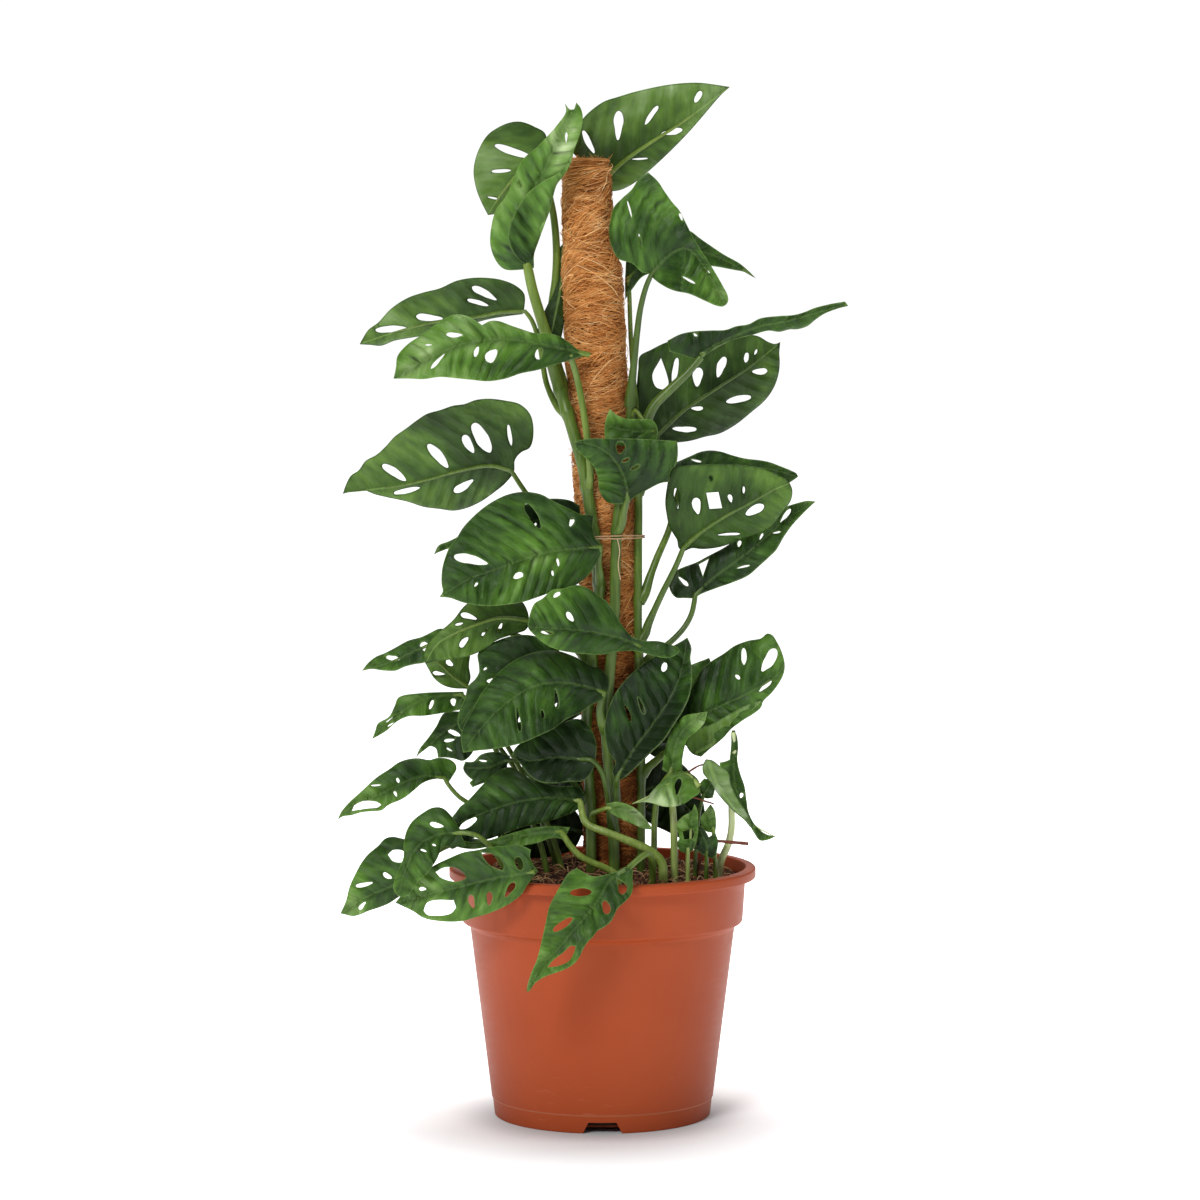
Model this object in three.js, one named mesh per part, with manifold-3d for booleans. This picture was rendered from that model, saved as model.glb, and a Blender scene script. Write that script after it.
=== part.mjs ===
// Potted swiss cheese plant: vines with holed leaves on a coir pole, in a plastic nursery pot.
// Millimetres, +Z up. The origin is the middle of the pot's underside, and +Y points away from the viewer.
import * as THREE from "three";
import { mergeVertices } from "three/addons/utils/BufferGeometryUtils.js";
import Module from "manifold-3d";

const wasm = await Module();
wasm.setup();

// Leaves and stems are laid out as seen from the front. A point is [x, z, front]: x and z are read on the
// upright plane through the pot's axis by an eye in front of it, and front slides the point along the line
// of sight, in millimetres towards the eye.
const EYE_DISTANCE = 2400;
const EYE_HEIGHT = 480;
const EYE_SIDE = -1.5;

// Nursery pot
const RIM_RADIUS = 95;
const RIM_TOP = 155;
const RIM_UNDERSIDE = 148.4;
const COLLAR_RADIUS = 88.7;
const COLLAR_FOOT_RADIUS = 86.9;
const COLLAR_FOOT = 121;
const BODY_TOP_RADIUS = 82;
const BODY_TOP = 118;
const STEP_RADIUS = 68.2;
const STEP_HEIGHT = 10.9;
const BASE_RADIUS = 67;
const WALL = 1.7;
const FLOOR_UNDERSIDE = 2.2;
const FLOOR_TOP = 4.2;
const FOOT_RING_WIDTH = 5;
const PAD_RADIUS = 14;
const NOTCH_COUNT = 3;
const NOTCH_HEIGHT = 7;
const NOTCH_FOOT_WIDTH = 25;
const NOTCH_TOP_WIDTH = 17;
const NOTCH_DEPTH = 12;
const NOTCH_INSIDE = 57;
const NOTCH_BELOW = 1;
const SOFTENING = 0.6;
const SHOULDER = 1.4;
const TURNS = 34;

// Soil and coir pole
const SOIL_CLEARANCE = 0.5;
const SOIL_EDGE = 148;
const SOIL_ROUNDING = 3;
const SOIL_HEAP = [[60, 151], [30, 153.5]];
const SOIL_CROWN = 154;
const GAP = 0.35;
const POLE_AXIS = [[7, 0, 96], [7, 0, 150], [6, 0, 240], [4.5, 0, 318], [-0.5, 0, 415], [-4.5, 0, 476],
  [-6.2, 0, 524], [-9, 0, 536], [-9.8, 0, 591]];
const POLE_SIDES = 11;
const POLE_STEP = 19;
const POLE_TOP_DRAWN_IN = 2;
const POLE_RADII = [17.6, 18.4, 18.6, 18.2, 18.4, 18.8, 18.6, 15.6, 14.6];
const STAKE_FOOT = [6, 0, 8];
const STAKE_HEAD = [-6.5, 0, 583];
const STAKE_RADIUS = 5;
const STAKE_SIDES = 10;

// Blades and stalks
const BLADE = 0.8;
const STALK_SIDES = 5;
const STEM_SIDES = 6;
const STALK_STEP = 21;
const STALK_REACH = 5;
const SEAT_LENGTH = 2.5;
const GRID = 23;
const CLEAR_OF_EDGE = 4;
const SMALL_HOLE = 2.7;
const WAVE = 1.1;
const WAVES_ALONG = 3.4;
const SEED_STEP = 0.37;
const MARGIN_BEND = 1.6;
const RIB_POINTS = 24;
const EVENING_ROUNDS = 60;
const SEARCH_STEP = 0.002;

const COLOURS = {
  pot: 0xa85236,
  soil: 0x3a241a,
  coir: 0xb06a35,
  stake: 0xc9a878,
  tie: 0xa58564,
  twig: 0x6b3d2c,
  stem: 0x6d9140,
  leaf: 0x3b6e25,
};

const STEMS = {
  stem_left: { radii: [3.2, 3.8], path: [[-7, 122, 21], [-7, 175, 21], [-8, 205, 21], [-10, 240, 21],
    [-7, 270, 21], [-6, 300, 21], [-2, 325, 21], [-4, 345, 21], [-6, 365, 21], [-9, 385, 21],
    [-12, 402, 20], [-17, 420, 18], [-23, 440, 14], [-28, 455, 11], [-31, 466, 11]] },
  stem_centre: { radii: [3.4, 3.2], path: [[8, 122, 24], [7, 170, 23], [6, 195, 23], [4, 215, 23],
    [2.5, 235, 23], [3, 255, 23], [5, 280, 23], [7.5, 310, 23], [8, 340, 23], [9, 365, 23], [11, 385, 23],
    [12, 397, 22.5]] },
  stem_right: { radii: [2.6, 2.5], path: [[24, 122, 14], [24, 180, 14], [24, 230, 14], [23, 270, 14],
    [22, 300, 13], [22, 330, 13], [22, 350, 11], [22, 385, 8], [20, 410, 10], [17.5, 430, 13],
    [17, 440, 14]] },
  stem_back: { radii: [3.2, 2.6], path: [[2, 122, -27], [2, 300, -25.5], [-2, 420, -25.5], [-5, 500, -24.5],
    [-6, 548, -21.5]] },
};

// Leaves. edge is the outline and rib the midrib from base to tip, both [x, z]. front holds the slide of the
// base, the tip, the margin left of the rib, the margin right of it, and the bow between base and tip.
// A hole is [x, z, x, z, width] from its narrow end to its wide end, or an outline of its own. stalk runs
// to the blade from a stem at a height, from a stem's tip, or from the soil. fold is a second panel.
const LEAVES = {
  crown_right: {
    edge: [[-19, 596], [-18, 604], [-12, 615], [0, 625], [10, 628.5], [22, 632], [42, 636], [58, 637],
      [68, 636], [78, 634.5], [72, 629], [60, 615], [52, 606], [38, 592], [28, 583], [17, 574.5], [7, 571],
      [-6, 574], [-10, 586]],
    rib: [[4, 581], [14, 590], [30, 601], [46, 611], [60, 621], [77, 634]],
    front: [-26, 2, 34, -8, 3],
    holes: [[-5, 594, -12, 608, 4], [9.5, 602, 10, 620, 6], [26, 611.5, 34, 623, 3.6],
      [56.5, 625, 60.5, 632, 4], [36, 606, 49, 608.5, 4], [18, 590.5, 28, 591, 1.4]],
    stalk: { on: "stem_back", at: 532, via: [[-1, 552, -27], [3, 572, -27.5]], size: [2.2, 1.6] },
  },
  crown_front: {
    edge: [[-42, 524], [-50, 523], [-60, 523.3], [-65, 528], [-68.7, 538], [-68, 550], [-65, 560],
      [-59, 568], [-55, 578], [-49, 590], [-40, 598], [-28, 611], [-22.3, 619.5], [-23, 624.5],
      [-20, 620.8], [-17.3, 621], [-16, 625], [-13.5, 622], [-12, 616], [-13.5, 607], [-17, 597],
      [-20, 587], [-24, 580], [-28, 575], [-32, 560], [-35, 552], [-39, 541], [-42, 532]],
    rib: [[-46, 525], [-50, 545], [-44, 567], [-32, 592], [-19, 619]],
    front: [17, 42, -8, 0, 0],
    holes: [[-22.3, 600.5, -22, 607, 1.6], [-49.5, 573, -51.5, 578, 1.2]],
    fold: {
      edge: [[-42, 525], [-47, 526], [-53, 531], [-57, 538], [-57.5, 547], [-53, 559], [-46, 569.5],
        [-37, 576.5], [-26, 583], [-20.5, 590], [-16.8, 599], [-19.5, 588], [-24, 580], [-28, 575],
        [-32, 560], [-35, 552], [-39, 541], [-42, 532]],
      rib: [[-42, 526], [-36, 550], [-28, 573], [-17, 598]],
      front: [17, 41, 10, 0, 0],
    },
    stalk: { tip: "stem_left", via: [[-33.5, 479, 13], [-38, 494, 15], [-43, 511, 15]], size: [3.8, 3.1] },
  },
  crown_back: {
    edge: [[-35, 606], [-41, 610], [-50, 613.3], [-57, 612.7], [-64, 609.7], [-70, 605.5], [-75, 598],
      [-78, 590], [-79, 582], [-77.5, 573], [-75, 566], [-70.2, 556.4], [-65, 557], [-55, 556], [-45, 562],
      [-38, 576], [-34, 592]],
    rib: [[-37, 598], [-48, 586], [-60, 572], [-69.5, 558]],
    front: [-3, -34, -6, 11, 3],
    holes: [[-43, 591.5, -66, 599, 4.6], [-56, 583.7, -68, 583, 2.6], [-63, 566, -70.5, 567.5, 1.4]],
    stalk: { on: "stem_left", at: 450, via: [[-28.5, 468, 0], [-30.5, 485, 0], [-31, 500, 0],
      [-28.8, 517, -1], [-28.2, 535, -1], [-30, 556, -2], [-35, 580, -3]], size: [2.9, 1.9] },
  },
  upper_right: {
    edge: [[29, 521], [25, 521], [18, 527], [10, 529.5], [6, 536], [4, 545], [5, 554], [7, 561],
      [12, 566.5], [18, 572], [22, 578], [28, 582.5], [34, 577], [38, 571], [43, 564], [47, 559.5],
      [51, 552], [55, 544], [60.5, 535], [66, 526.5], [70, 520], [74, 513], [77, 507], [77, 503],
      [74, 500.5], [70, 501], [63, 504], [54, 508], [43, 510.5], [36, 514], [31, 518]],
    rib: [[30, 520], [40, 531], [50, 536], [58, 531], [67, 517], [75, 503]],
    front: [24, 36, -13, 14, 4],
    holes: [[49, 553, 47.2, 557.5, 2], [24, 537, 22.3, 545, 1.2], [18, 555, 15.3, 565, 1.2],
      [49, 519, 57, 514.5, 1.8], [62, 524, 66, 521, 1.2]],
    stalk: { tip: "stem_right", via: [[19, 462, 16], [21, 482, 18], [23.5, 500, 20], [27, 513, 22]],
      size: [2.5, 1.6] },
  },
  upper_right_back: {
    edge: [[14, 505], [19, 512], [25, 519], [40, 523], [56, 526], [69, 525], [80, 523], [88, 521.3],
      [94.5, 517.5], [89.5, 522.5], [84, 527], [75, 532], [68, 536.5], [60, 542], [53, 547], [40, 550],
      [26, 546], [16, 534], [14, 520]],
    rib: [[16, 518], [40, 537], [70, 531], [93, 518.5]],
    front: [-5, -45, -10, 6, 0],
    stalk: { on: "stem_right", at: 422, via: [[21, 436, 5], [19.3, 455, -2], [17.5, 480, -5],
      [16.5, 508, -5]],
      size: [1.7, 1.4] },
  },
  upper_left_back: {
    edge: [[-48, 500], [-48, 508], [-53, 513], [-62, 516.7], [-72, 518], [-81, 517.8], [-90, 516],
      [-100, 511.5], [-110, 509], [-120, 505.5], [-130, 499], [-138, 490.5], [-144, 486], [-149.3, 477.3],
      [-143, 477], [-136, 476.5], [-128, 479.5], [-120, 481], [-108, 483], [-92, 487], [-80, 490],
      [-70, 492.7], [-58, 494.7], [-49, 495.8]],
    rib: [[-47.5, 497.5], [-62, 497], [-76, 494.3], [-100, 491.5], [-125, 485.5], [-148, 478]],
    front: [-2, -48, -6, 17, 0],
    holes: [[-65, 504.5, -80, 512.5, 5], [-70, 501, -83, 504.7, 3.2], [-98, 493, -114.5, 494.5, 4.6],
      [-120, 487, -139.5, 486, 4.8]],
    stalk: { on: "stem_left", at: 437, via: [[-34, 452, 4], [-38, 474, 0], [-41, 486, -1], [-44, 493, -2]],
      size: [2, 1.4] },
  },
  upper_left: {
    edge: [[-6, 471.5], [-14, 473.5], [-20, 478], [-26, 482], [-33, 484], [-41, 484], [-48, 486],
      [-56, 488.7], [-64, 491.5], [-69, 491.5], [-74, 489], [-79, 492.5], [-84, 494.8], [-91, 495.5],
      [-97, 493], [-103, 489], [-112, 482.5], [-120, 477], [-126, 470], [-127, 463], [-128.5, 456.2],
      [-120, 456.3], [-110, 456], [-100, 457.3], [-90, 456.5], [-80, 455.5], [-70, 454.7], [-60, 456.2],
      [-50, 459.5], [-40, 461.5], [-30, 464.5], [-20, 467.5]],
    rib: [[-8, 470.8], [-25, 474.5], [-42, 478], [-60, 480.5], [-76, 479.5], [-92, 475.5], [-110, 467],
      [-127.5, 457]],
    front: [28, 50, 13, -11, 8],
    holes: [[-38, 475, -40, 468, 5.2], [-65, 474, -71, 466.7, 7], [-76.3, 476, -78.5, 469.5, 3],
      [-97, 471.5, -105.5, 462.3, 2.4], [-86, 483, -96, 483.3, 3.4], [-104.5, 477, -109, 477, 1.2]],
    stalk: { on: "stem_left", at: 392, via: [[-8, 408, 28], [-9.5, 421, 27], [-12.5, 441, 26],
      [-16, 458, 26]],
      meets: [-20, 471.5], size: [2.4, 1.9] },
  },
  mid_left_back: {
    edge: [[-54.5, 399], [-54, 406], [-50, 411], [-45, 413.5], [-43, 418], [-42.7, 428], [-45, 435],
      [-51, 440.5], [-60, 442.7], [-70, 443.8], [-78, 443], [-85, 440.5], [-92, 439.5], [-100, 436.8],
      [-108, 434.5], [-115, 430], [-121, 425.5], [-128, 420.5], [-133, 415], [-139, 409.5], [-146, 405.5],
      [-150, 400], [-155, 396.5], [-158, 391], [-160, 385.3], [-154, 386.8], [-147, 387.5], [-140, 385],
      [-133, 383.3], [-120, 380.5], [-110, 377.3], [-100, 376], [-92, 375], [-84, 376.5], [-75, 380.5],
      [-67, 386], [-60, 391.7]],
    rib: [[-56, 399.3], [-66, 402.3], [-76, 402], [-92, 398.5], [-108, 394], [-124, 390.5], [-142, 388],
      [-158.5, 386.2]],
    front: [-4, -58, -14, 20, 0],
    holes: [[-69, 410.8, -79.5, 428.8, 9], [-79.3, 410.5, -85.5, 421.5, 5.8], [-56, 415, -58, 428, 2.8],
      [-95, 401.5, -107.5, 415.8, 6.6], [-121, 393.5, -135.5, 403.3, 5.6], [-79.5, 394, -91.5, 386.5, 5.2],
      [-112.5, 389.2, -128.5, 385.6, 3.6]],
    stalk: { on: "stem_back", at: 345, via: [[-12, 353, -27], [-28, 363, -22], [-42, 379, -12],
      [-50, 390, -6]],
      size: [2.2, 1.5] },
  },
  rolled: {
    edge: [[41, 473], [40, 479.5], [48, 483.5], [56, 485.2], [66, 485.8], [76, 486.2], [82, 488.3],
      [90, 489.7], [97, 493.2], [109, 494.7], [117, 495.2], [124, 497], [130, 499.5], [140, 502],
      [149, 503.5], [151, 500.8], [145, 499.3], [137, 496.3], [131, 492.5], [126, 488.5], [120, 486.6],
      [115, 486.5], [109, 485], [102, 485.7], [92, 483], [80, 479.8], [70, 475.5], [64, 471], [58, 468.3],
      [50, 470.5]],
    rib: [[60, 470.5], [70, 477], [85, 484], [97, 488.5], [115, 492], [150, 502]],
    front: [16, 58, -3, -5, 0],
    holes: [[56, 484, 58.3, 482, 1.8]],
    stalk: { on: "stem_right", at: 408, via: [[25, 422, 16], [31, 438.5, 16], [42, 450, 16], [53, 460.5, 16]],
      meets: [60.5, 469.5], size: [3.9, 2.2] },
  },
  right_big: {
    edge: [[33, 419], [27, 420.5], [21, 431], [20, 441], [21, 451], [22, 462], [23, 470], [30, 474],
      [38, 478], [48, 481], [62, 482.5], [80, 483], [95, 482.5], [102, 478.7], [106, 477.5], [109.3, 478.7],
      [108.7, 472], [109, 466], [108, 458], [105, 450], [100, 443], [92, 436], [82, 428], [72, 422.5],
      [63, 420.5], [54, 418], [43, 417]],
    rib: [[34, 421.5], [50, 436.5], [70, 450], [90, 463], [108.5, 477.8]],
    front: [-8, -38, 9, -16, 2],
    holes: [[[36, 469], [40, 457.5], [40.5, 452.5], [37, 449.5], [33, 451], [30.7, 458]],
      [43.2, 453, 46, 469, 4], [58, 451.3, 59.5, 463, 7], [70.7, 457, 75.3, 469.6, 5.6],
      [88, 466, 89, 472.3, 3.3], [93.5, 470.8, 95, 474.3, 1.6], [92, 460.5, 101.5, 461, 4.4],
      [76, 442, 91.5, 445, 4.8], [54.5, 438, 62, 438, 3], [43, 425.5, 58, 425, 4]],
    stalk: { on: "stem_right", at: 388, via: [[28, 402, 0], [32, 413, -4]], size: [2.2, 1.6] },
  },
  young: {
    edge: [[33, 416], [34, 425], [31, 430.5], [22, 431.3], [14, 431.8], [9, 433.8], [4.5, 437.5],
      [2.3, 432], [1.2, 424], [2, 417], [12, 415], [22, 415]],
    rib: [[32, 424], [18, 424], [4, 427]],
    front: [24, 28, 1, 3, 1],
    stalk: { on: "stem_right", at: 434, via: [[22, 435, 19]], size: [1.4, 1.1], meets: [28, 426] },
  },
  centre: {
    edge: [[16, 380.3], [8, 379], [2, 381], [-2, 388], [-3, 396], [-6, 403], [-11, 408], [-16, 413],
      [-17.7, 417.3], [-10, 419.2], [4, 419.5], [20, 419.3], [33, 418.7], [46, 417.8], [46.5, 412],
      [45.5, 404], [42, 399], [41, 392.7], [36, 392], [28, 388], [20, 383.5]],
    rib: [[15.5, 382], [14, 393], [9, 404], [1, 412], [-8, 416], [-16.5, 417]],
    front: [32, 44, -4, -2, 4],
    holes: [[10.5, 410, 11.3, 417.3, 6], [12, 405, 16.5, 407.2, 1.8], [17.3, 400.3, 23, 403, 2.6]],
    stalk: { on: "stem_centre", at: 365, via: [[13, 374, 29]], size: [2.2, 1.7] },
  },
  right_mid: {
    edge: [[50, 350], [47, 352], [46, 357], [43.5, 361], [41, 366], [39.5, 373], [38.7, 380], [39.5, 388],
      [41, 396], [43, 402], [52, 402.8], [62, 403.3], [75, 403.6], [88, 402.8], [100, 400.5], [108, 397],
      [114, 393.5], [117, 388], [116, 381], [111.5, 375], [104, 365], [97, 361], [89, 358.5], [80, 355],
      [72, 352.5], [62, 351.3], [55, 351.8]],
    rib: [[50, 352], [60, 361], [75, 371], [90, 379], [105, 387.5], [115.5, 392]],
    front: [14, 36, 7, -12, 4],
    holes: [[46.5, 376, 45, 389, 2.8], [59, 372.7, 57.5, 383, 5.6], [[66, 376], [73.8, 376.5],
      [71.5, 386.5], [64, 386]], [79.5, 380, 78, 385, 2.8], [87, 385.5, 87, 390, 1.8],
      [67.5, 393, 66, 396.5, 2.4], [88.3, 372.5, 99.5, 378.3, 6], [71, 360, 85, 360.7, 1.8]],
    stalk: { on: "stem_right", at: 297, via: [[28, 304, 13], [31, 311, 13], [37, 324, 13], [45, 340, 13]],
      size: [2.3, 1.7] },
  },
  right_mid_back: {
    edge: [[45, 404.5], [54, 408.4], [60, 411], [66, 412], [73, 411.2], [80, 409], [88, 407], [97, 406],
      [103, 404.8], [110, 402.2], [116, 399.8], [119.5, 398], [120.5, 396], [118.5, 394.3], [110, 390],
      [90, 390], [65, 390], [50, 392], [44, 397]],
    rib: [[50, 397], [75, 402], [100, 401], [119, 396.3]],
    front: [-6, -38, -8, 4, 0],
    holes: [[54.5, 406.5, 61, 405, 1.6]],
    stalk: { on: "stem_right", at: 322, via: [[29, 333, 10], [33.8, 346, 6], [41, 363, -1], [46, 383, -5]],
      size: [2.5, 1.7] },
  },
  right_low: {
    edge: [[57, 321], [50, 321], [46, 321], [43, 323.5], [41.2, 328], [41.5, 333], [44, 337], [50, 340],
      [58, 343], [66, 347.3], [74, 351.5], [81, 356], [88, 361], [96, 367], [103, 371.5], [109, 375.8],
      [118, 379], [126, 381], [131.5, 380.6], [128, 377.5], [122, 371.5], [117, 366], [112, 359],
      [107, 350.5], [103, 346.5], [97, 341], [90, 335], [80, 330.5], [70, 327], [60, 323]],
    rib: [[57.5, 323], [68, 333], [82, 343.5], [98, 356], [113, 369.5], [130.5, 380.2]],
    front: [3, 14, -12, 6, 2],
    holes: [[47, 334, 53, 328.5, 2.4], [[62, 334.5], [65.7, 345.2], [59.5, 341.8]], [97, 357, 99, 361, 1.5],
      [105, 361, 110, 362, 1.3], [109.7, 367.5, 116, 376, 2.8], [83, 339.3, 91, 341.2, 1.3],
      [84, 352.5, 85, 356.5, 2.6]],
    stalk: { on: "stem_right", at: 280, via: [[31, 286, 11], [40, 292, 8], [50, 302, 5], [55, 311, 4]],
      size: [2.1, 1.6] },
  },
  mid_left: {
    edge: [[0, 354], [-4, 357], [-6, 365], [-5, 373], [-13, 372.7], [-20, 376], [-30, 380.7], [-37, 384.7],
      [-43, 386.2], [-50, 386.5], [-58, 385], [-66, 381.5], [-73, 377], [-80, 371], [-86, 364.5],
      [-90, 358], [-94, 353], [-97, 346], [-99, 338], [-99.3, 330], [-98.6, 325], [-100.5, 321.7],
      [-94, 321], [-87, 318.5], [-80, 316.8], [-70, 316], [-60, 316.8], [-50, 318.3], [-40, 321.5],
      [-30, 325], [-20, 327.3], [-14, 330.5], [-8, 336], [-4, 342], [-1, 348]],
    rib: [[-1, 352.8], [-16, 351.3], [-33, 349.5], [-50, 344.5], [-66, 338.7], [-82, 333], [-99, 322.7]],
    front: [31, 52, 6, -6, 6],
    holes: [[-70.8, 342.2, -91.5, 346.8, 6], [-55, 333.3, -49, 336, 4.2], [-27, 340.5, -28, 345.5, 1.8],
      [-30.5, 334.5, -31, 338, 1.6], [-79, 328, -77, 330.5, 1.6], [-38.3, 364, -47.5, 379, 6],
      [-19.8, 365, -18.3, 370.5, 3.4]],
    stalk: { on: "stem_left", at: 333, via: [[-2.5, 343, 28]], size: [2.2, 1.7] },
  },
  mid_left_tucked: {
    edge: [[-14, 378], [-20, 381.3], [-33, 382.3], [-50, 378], [-70, 369], [-88, 359.5], [-95, 356],
      [-101, 353.5], [-104, 347.8], [-100, 350], [-93, 352], [-85, 353.5], [-66, 352.5], [-48, 349],
      [-28, 353], [-14, 362]],
    rib: [[-15, 371], [-45, 368], [-75, 360], [-102.5, 349]],
    front: [19, 24, 0, 0, 2],
    holes: [[-42, 364, -41, 367.5, 1.5], [-20.3, 365, -18, 371.3, 3.4]],
    stalk: { on: "stem_left", at: 363, via: [[-13, 367, 19.5]], size: [1.8, 1.4] },
  },
  left_low: {
    edge: [[-46, 312], [-50, 319], [-60, 322], [-72, 321.5], [-84, 317], [-92, 307.5], [-97, 303],
      [-103, 298.5], [-109, 290], [-110.5, 285], [-109.2, 280.3], [-103, 282], [-97, 282.5], [-88, 284],
      [-80, 286], [-72, 290], [-65, 295], [-55, 298.5], [-47, 301.5], [-45.5, 306]],
    rib: [[-46.5, 307], [-57, 308.5], [-67, 308], [-80, 303.7], [-91, 299], [-102, 292.5], [-109, 281.3]],
    front: [22, 30, 8, -9, 0],
    holes: [[-77.5, 308, -87.5, 311, 3.8], [-86, 305.5, -91, 304.3, 1.8], [-83, 296.7, -88, 290.5, 4],
      [-71, 302.5, -74.5, 297.5, 2], [-62, 305.5, -65, 299.3, 2]],
    stalk: { on: "stem_left", at: 283, via: [[-18, 291, 18], [-32, 300, 17], [-41, 305.3, 19]],
      size: [2.1, 1.6] },
  },
  left_low_back: {
    edge: [[-94, 300], [-100, 302], [-107, 299], [-112, 296.7], [-120, 294.5], [-127, 290.7], [-134, 287],
      [-140, 284.5], [-145, 280.5], [-148.7, 275.8], [-143, 277], [-135, 276], [-128, 276], [-122, 278.5],
      [-116, 280], [-109, 281.5], [-104, 288], [-96, 294.5]],
    rib: [[-95.5, 298], [-105, 293], [-118, 287], [-133, 280.5], [-147.8, 276.3]],
    front: [4, -28, 6, -8, 0],
    holes: [[-125, 283, -133.7, 284.5, 3.4], [-109.3, 288, -111, 293.8, 5.2]],
    stalk: { on: "stem_back", at: 262, via: [[-12, 272, -26], [-30, 286, -18], [-60, 300, -4],
      [-82, 300.5, 2]],
      size: [2, 1.4] },
  },
  left_small: {
    edge: [[-84, 264.7], [-93, 265.2], [-99, 267.3], [-104, 271.3], [-107.5, 277], [-110.3, 283],
      [-109.5, 286.5], [-100, 285.5], [-90, 286], [-81.5, 286.5], [-82.5, 279], [-81.5, 271.5]],
    rib: [[-84, 266.5], [-92, 272], [-100, 279.5], [-109, 285]],
    front: [11, 12, 4, -2, 0],
    holes: [[-92.5, 279, -96.5, 282.5, 3.4], [-97.5, 273.7, -105, 274.8, 2.6]],
    stalk: { via: [[-20, 130, 8], [-30, 170, 8], [-46, 205, 8], [-64, 238, 8], [-77, 258, 8]],
      size: [1.9, 1.4] },
  },
  left_folded: {
    edge: [[-86, 263], [-100, 262.7], [-112, 262], [-126, 259.3], [-128.5, 254], [-132, 247.5], [-139, 243],
      [-140.5, 239], [-142.5, 233.5], [-138, 236], [-133.5, 238.8], [-127, 244.5], [-120, 247.6],
      [-110, 248], [-100, 249.5], [-93, 250.7], [-87, 252.5], [-85, 258]],
    rib: [[-87, 261], [-105, 259.7], [-118, 254.5], [-130, 246], [-141.5, 235]],
    front: [16, 38, 2, -8, 0],
    holes: [[-107, 252, -104.7, 257.8, 2.4], [-92, 254, -92.3, 258.8, 3.8], [-124.5, 250, -134, 243.9, 1],
      [-129, 243.8, -133, 241.3, 1]],
    stalk: { via: [[-31, 130, 20], [-39, 170, 19], [-56, 207, 17], [-73, 240, 15], [-80, 254, 15]],
      size: [1.9, 1.4] },
  },
  left_dark: {
    edge: [[-84, 250], [-92, 250.7], [-98, 249.5], [-103, 241], [-108, 234], [-113, 227.7], [-115.8, 221.5],
      [-113.4, 224.3], [-110.3, 227.5], [-106.5, 229], [-103, 227.5], [-101.8, 222], [-97, 222],
      [-92, 221.3], [-86, 220], [-80, 226], [-79, 238]],
    rib: [[-84, 246], [-96, 239.5], [-105, 231.5], [-114.5, 223.8]],
    front: [8, 2, 4, -6, 0],
    holes: [[-88, 235.5, -95.5, 239, 3.2], [-91.5, 233.2, -98, 232.2, 2], [-93, 226, -96.5, 228, 1.2]],
    stalk: { via: [[-23, 130, -3], [-33, 170, -3], [-48, 205, -3], [-65, 230, 1], [-76, 243, 5]],
      size: [1.9, 1.4] },
  },
  left_drooping: {
    edge: [[-97, 208.5], [-95.5, 206.3], [-93, 210], [-90.3, 215], [-91, 218], [-95, 221], [-102, 221.8],
      [-107, 220.5], [-114, 221.5], [-120, 221], [-126, 219], [-132, 214.7], [-140, 209.5], [-150, 200.3],
      [-157, 194], [-162, 188], [-164, 183.3], [-161, 185.3], [-156, 186], [-149, 188], [-142, 188.6],
      [-136.5, 189.3], [-134, 191.5], [-131, 193.3], [-126, 195.3], [-122, 197.5], [-117, 201.5],
      [-111, 206.3], [-105, 208.4]],
    rib: [[-98, 209.3], [-110, 210.5], [-122, 207], [-138, 199], [-152, 193.8], [-163, 185.3]],
    front: [40, 68, 6, -8, 6],
    holes: [[[-155.3, 188.7], [-153, 193], [-147, 195], [-139.5, 194.3], [-137, 192.6], [-139, 191],
      [-146, 190.2]], [-127.5, 197.7, -129, 201, 1.8], [-126, 206.3, -127.3, 209.3, 2],
      [-137, 205, -143.5, 204.5, 1.2]],
    stalk: { via: [[-42, 130, 40], [-55, 165, 38], [-70, 183, 38], [-81, 192.3, 38], [-89, 197.7, 39],
      [-95, 204.5, 40]], size: [2, 1.3] },
  },
  left_cup: {
    edge: [[-57, 223], [-65, 225.5], [-75, 224], [-80, 219.5], [-85, 219.5], [-86.3, 215], [-84, 211],
      [-80.5, 208], [-82.5, 206.3], [-80.5, 203.5], [-74, 206], [-66, 209], [-60, 215]],
    rib: [[-59, 220.5], [-70, 216], [-84, 215.5]],
    front: [30, 24, 3, 3, 0],
    holes: [[-76.5, 220.3, -71.5, 219.7, 1.3]],
    stalk: { on: "stem_left", at: 200, via: [[-20, 208, 23], [-40, 216.5, 26], [-51, 219.5, 28]],
      size: [1.8, 1.3] },
  },
  centre_left: {
    edge: [[2, 260], [-8, 254], [-14, 249.8], [-20, 247], [-25, 244], [-30, 240], [-40, 235.3], [-50, 231],
      [-60, 228.6], [-70, 227], [-80, 226], [-86.3, 225], [-87.3, 231], [-87, 238], [-84, 245], [-80, 252],
      [-76, 260], [-71, 267], [-64, 275], [-55, 282], [-43, 287], [-30, 288.5], [-18, 285], [-8, 279.5],
      [0, 276], [4, 270]],
    rib: [[1, 262.5], [-10, 266], [-25, 268.5], [-40, 267], [-54, 260], [-70, 246], [-85, 227.5]],
    front: [34, 68, 10, -13, 6],
    holes: [[-29.3, 264.5, -28, 252.5, 2.8], [-53, 253.5, -51, 238, 2.4], [-37.5, 251.5, -36.5, 246, 2.2]],
    stalk: { on: "stem_centre", at: 243, via: [[-1.5, 253, 30]], size: [2.3, 1.9] },
  },
  centre_left_back: {
    edge: [[-24, 281], [-29, 292], [-45, 298], [-58, 297], [-70, 292], [-77, 286.5], [-76.5, 280],
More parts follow.
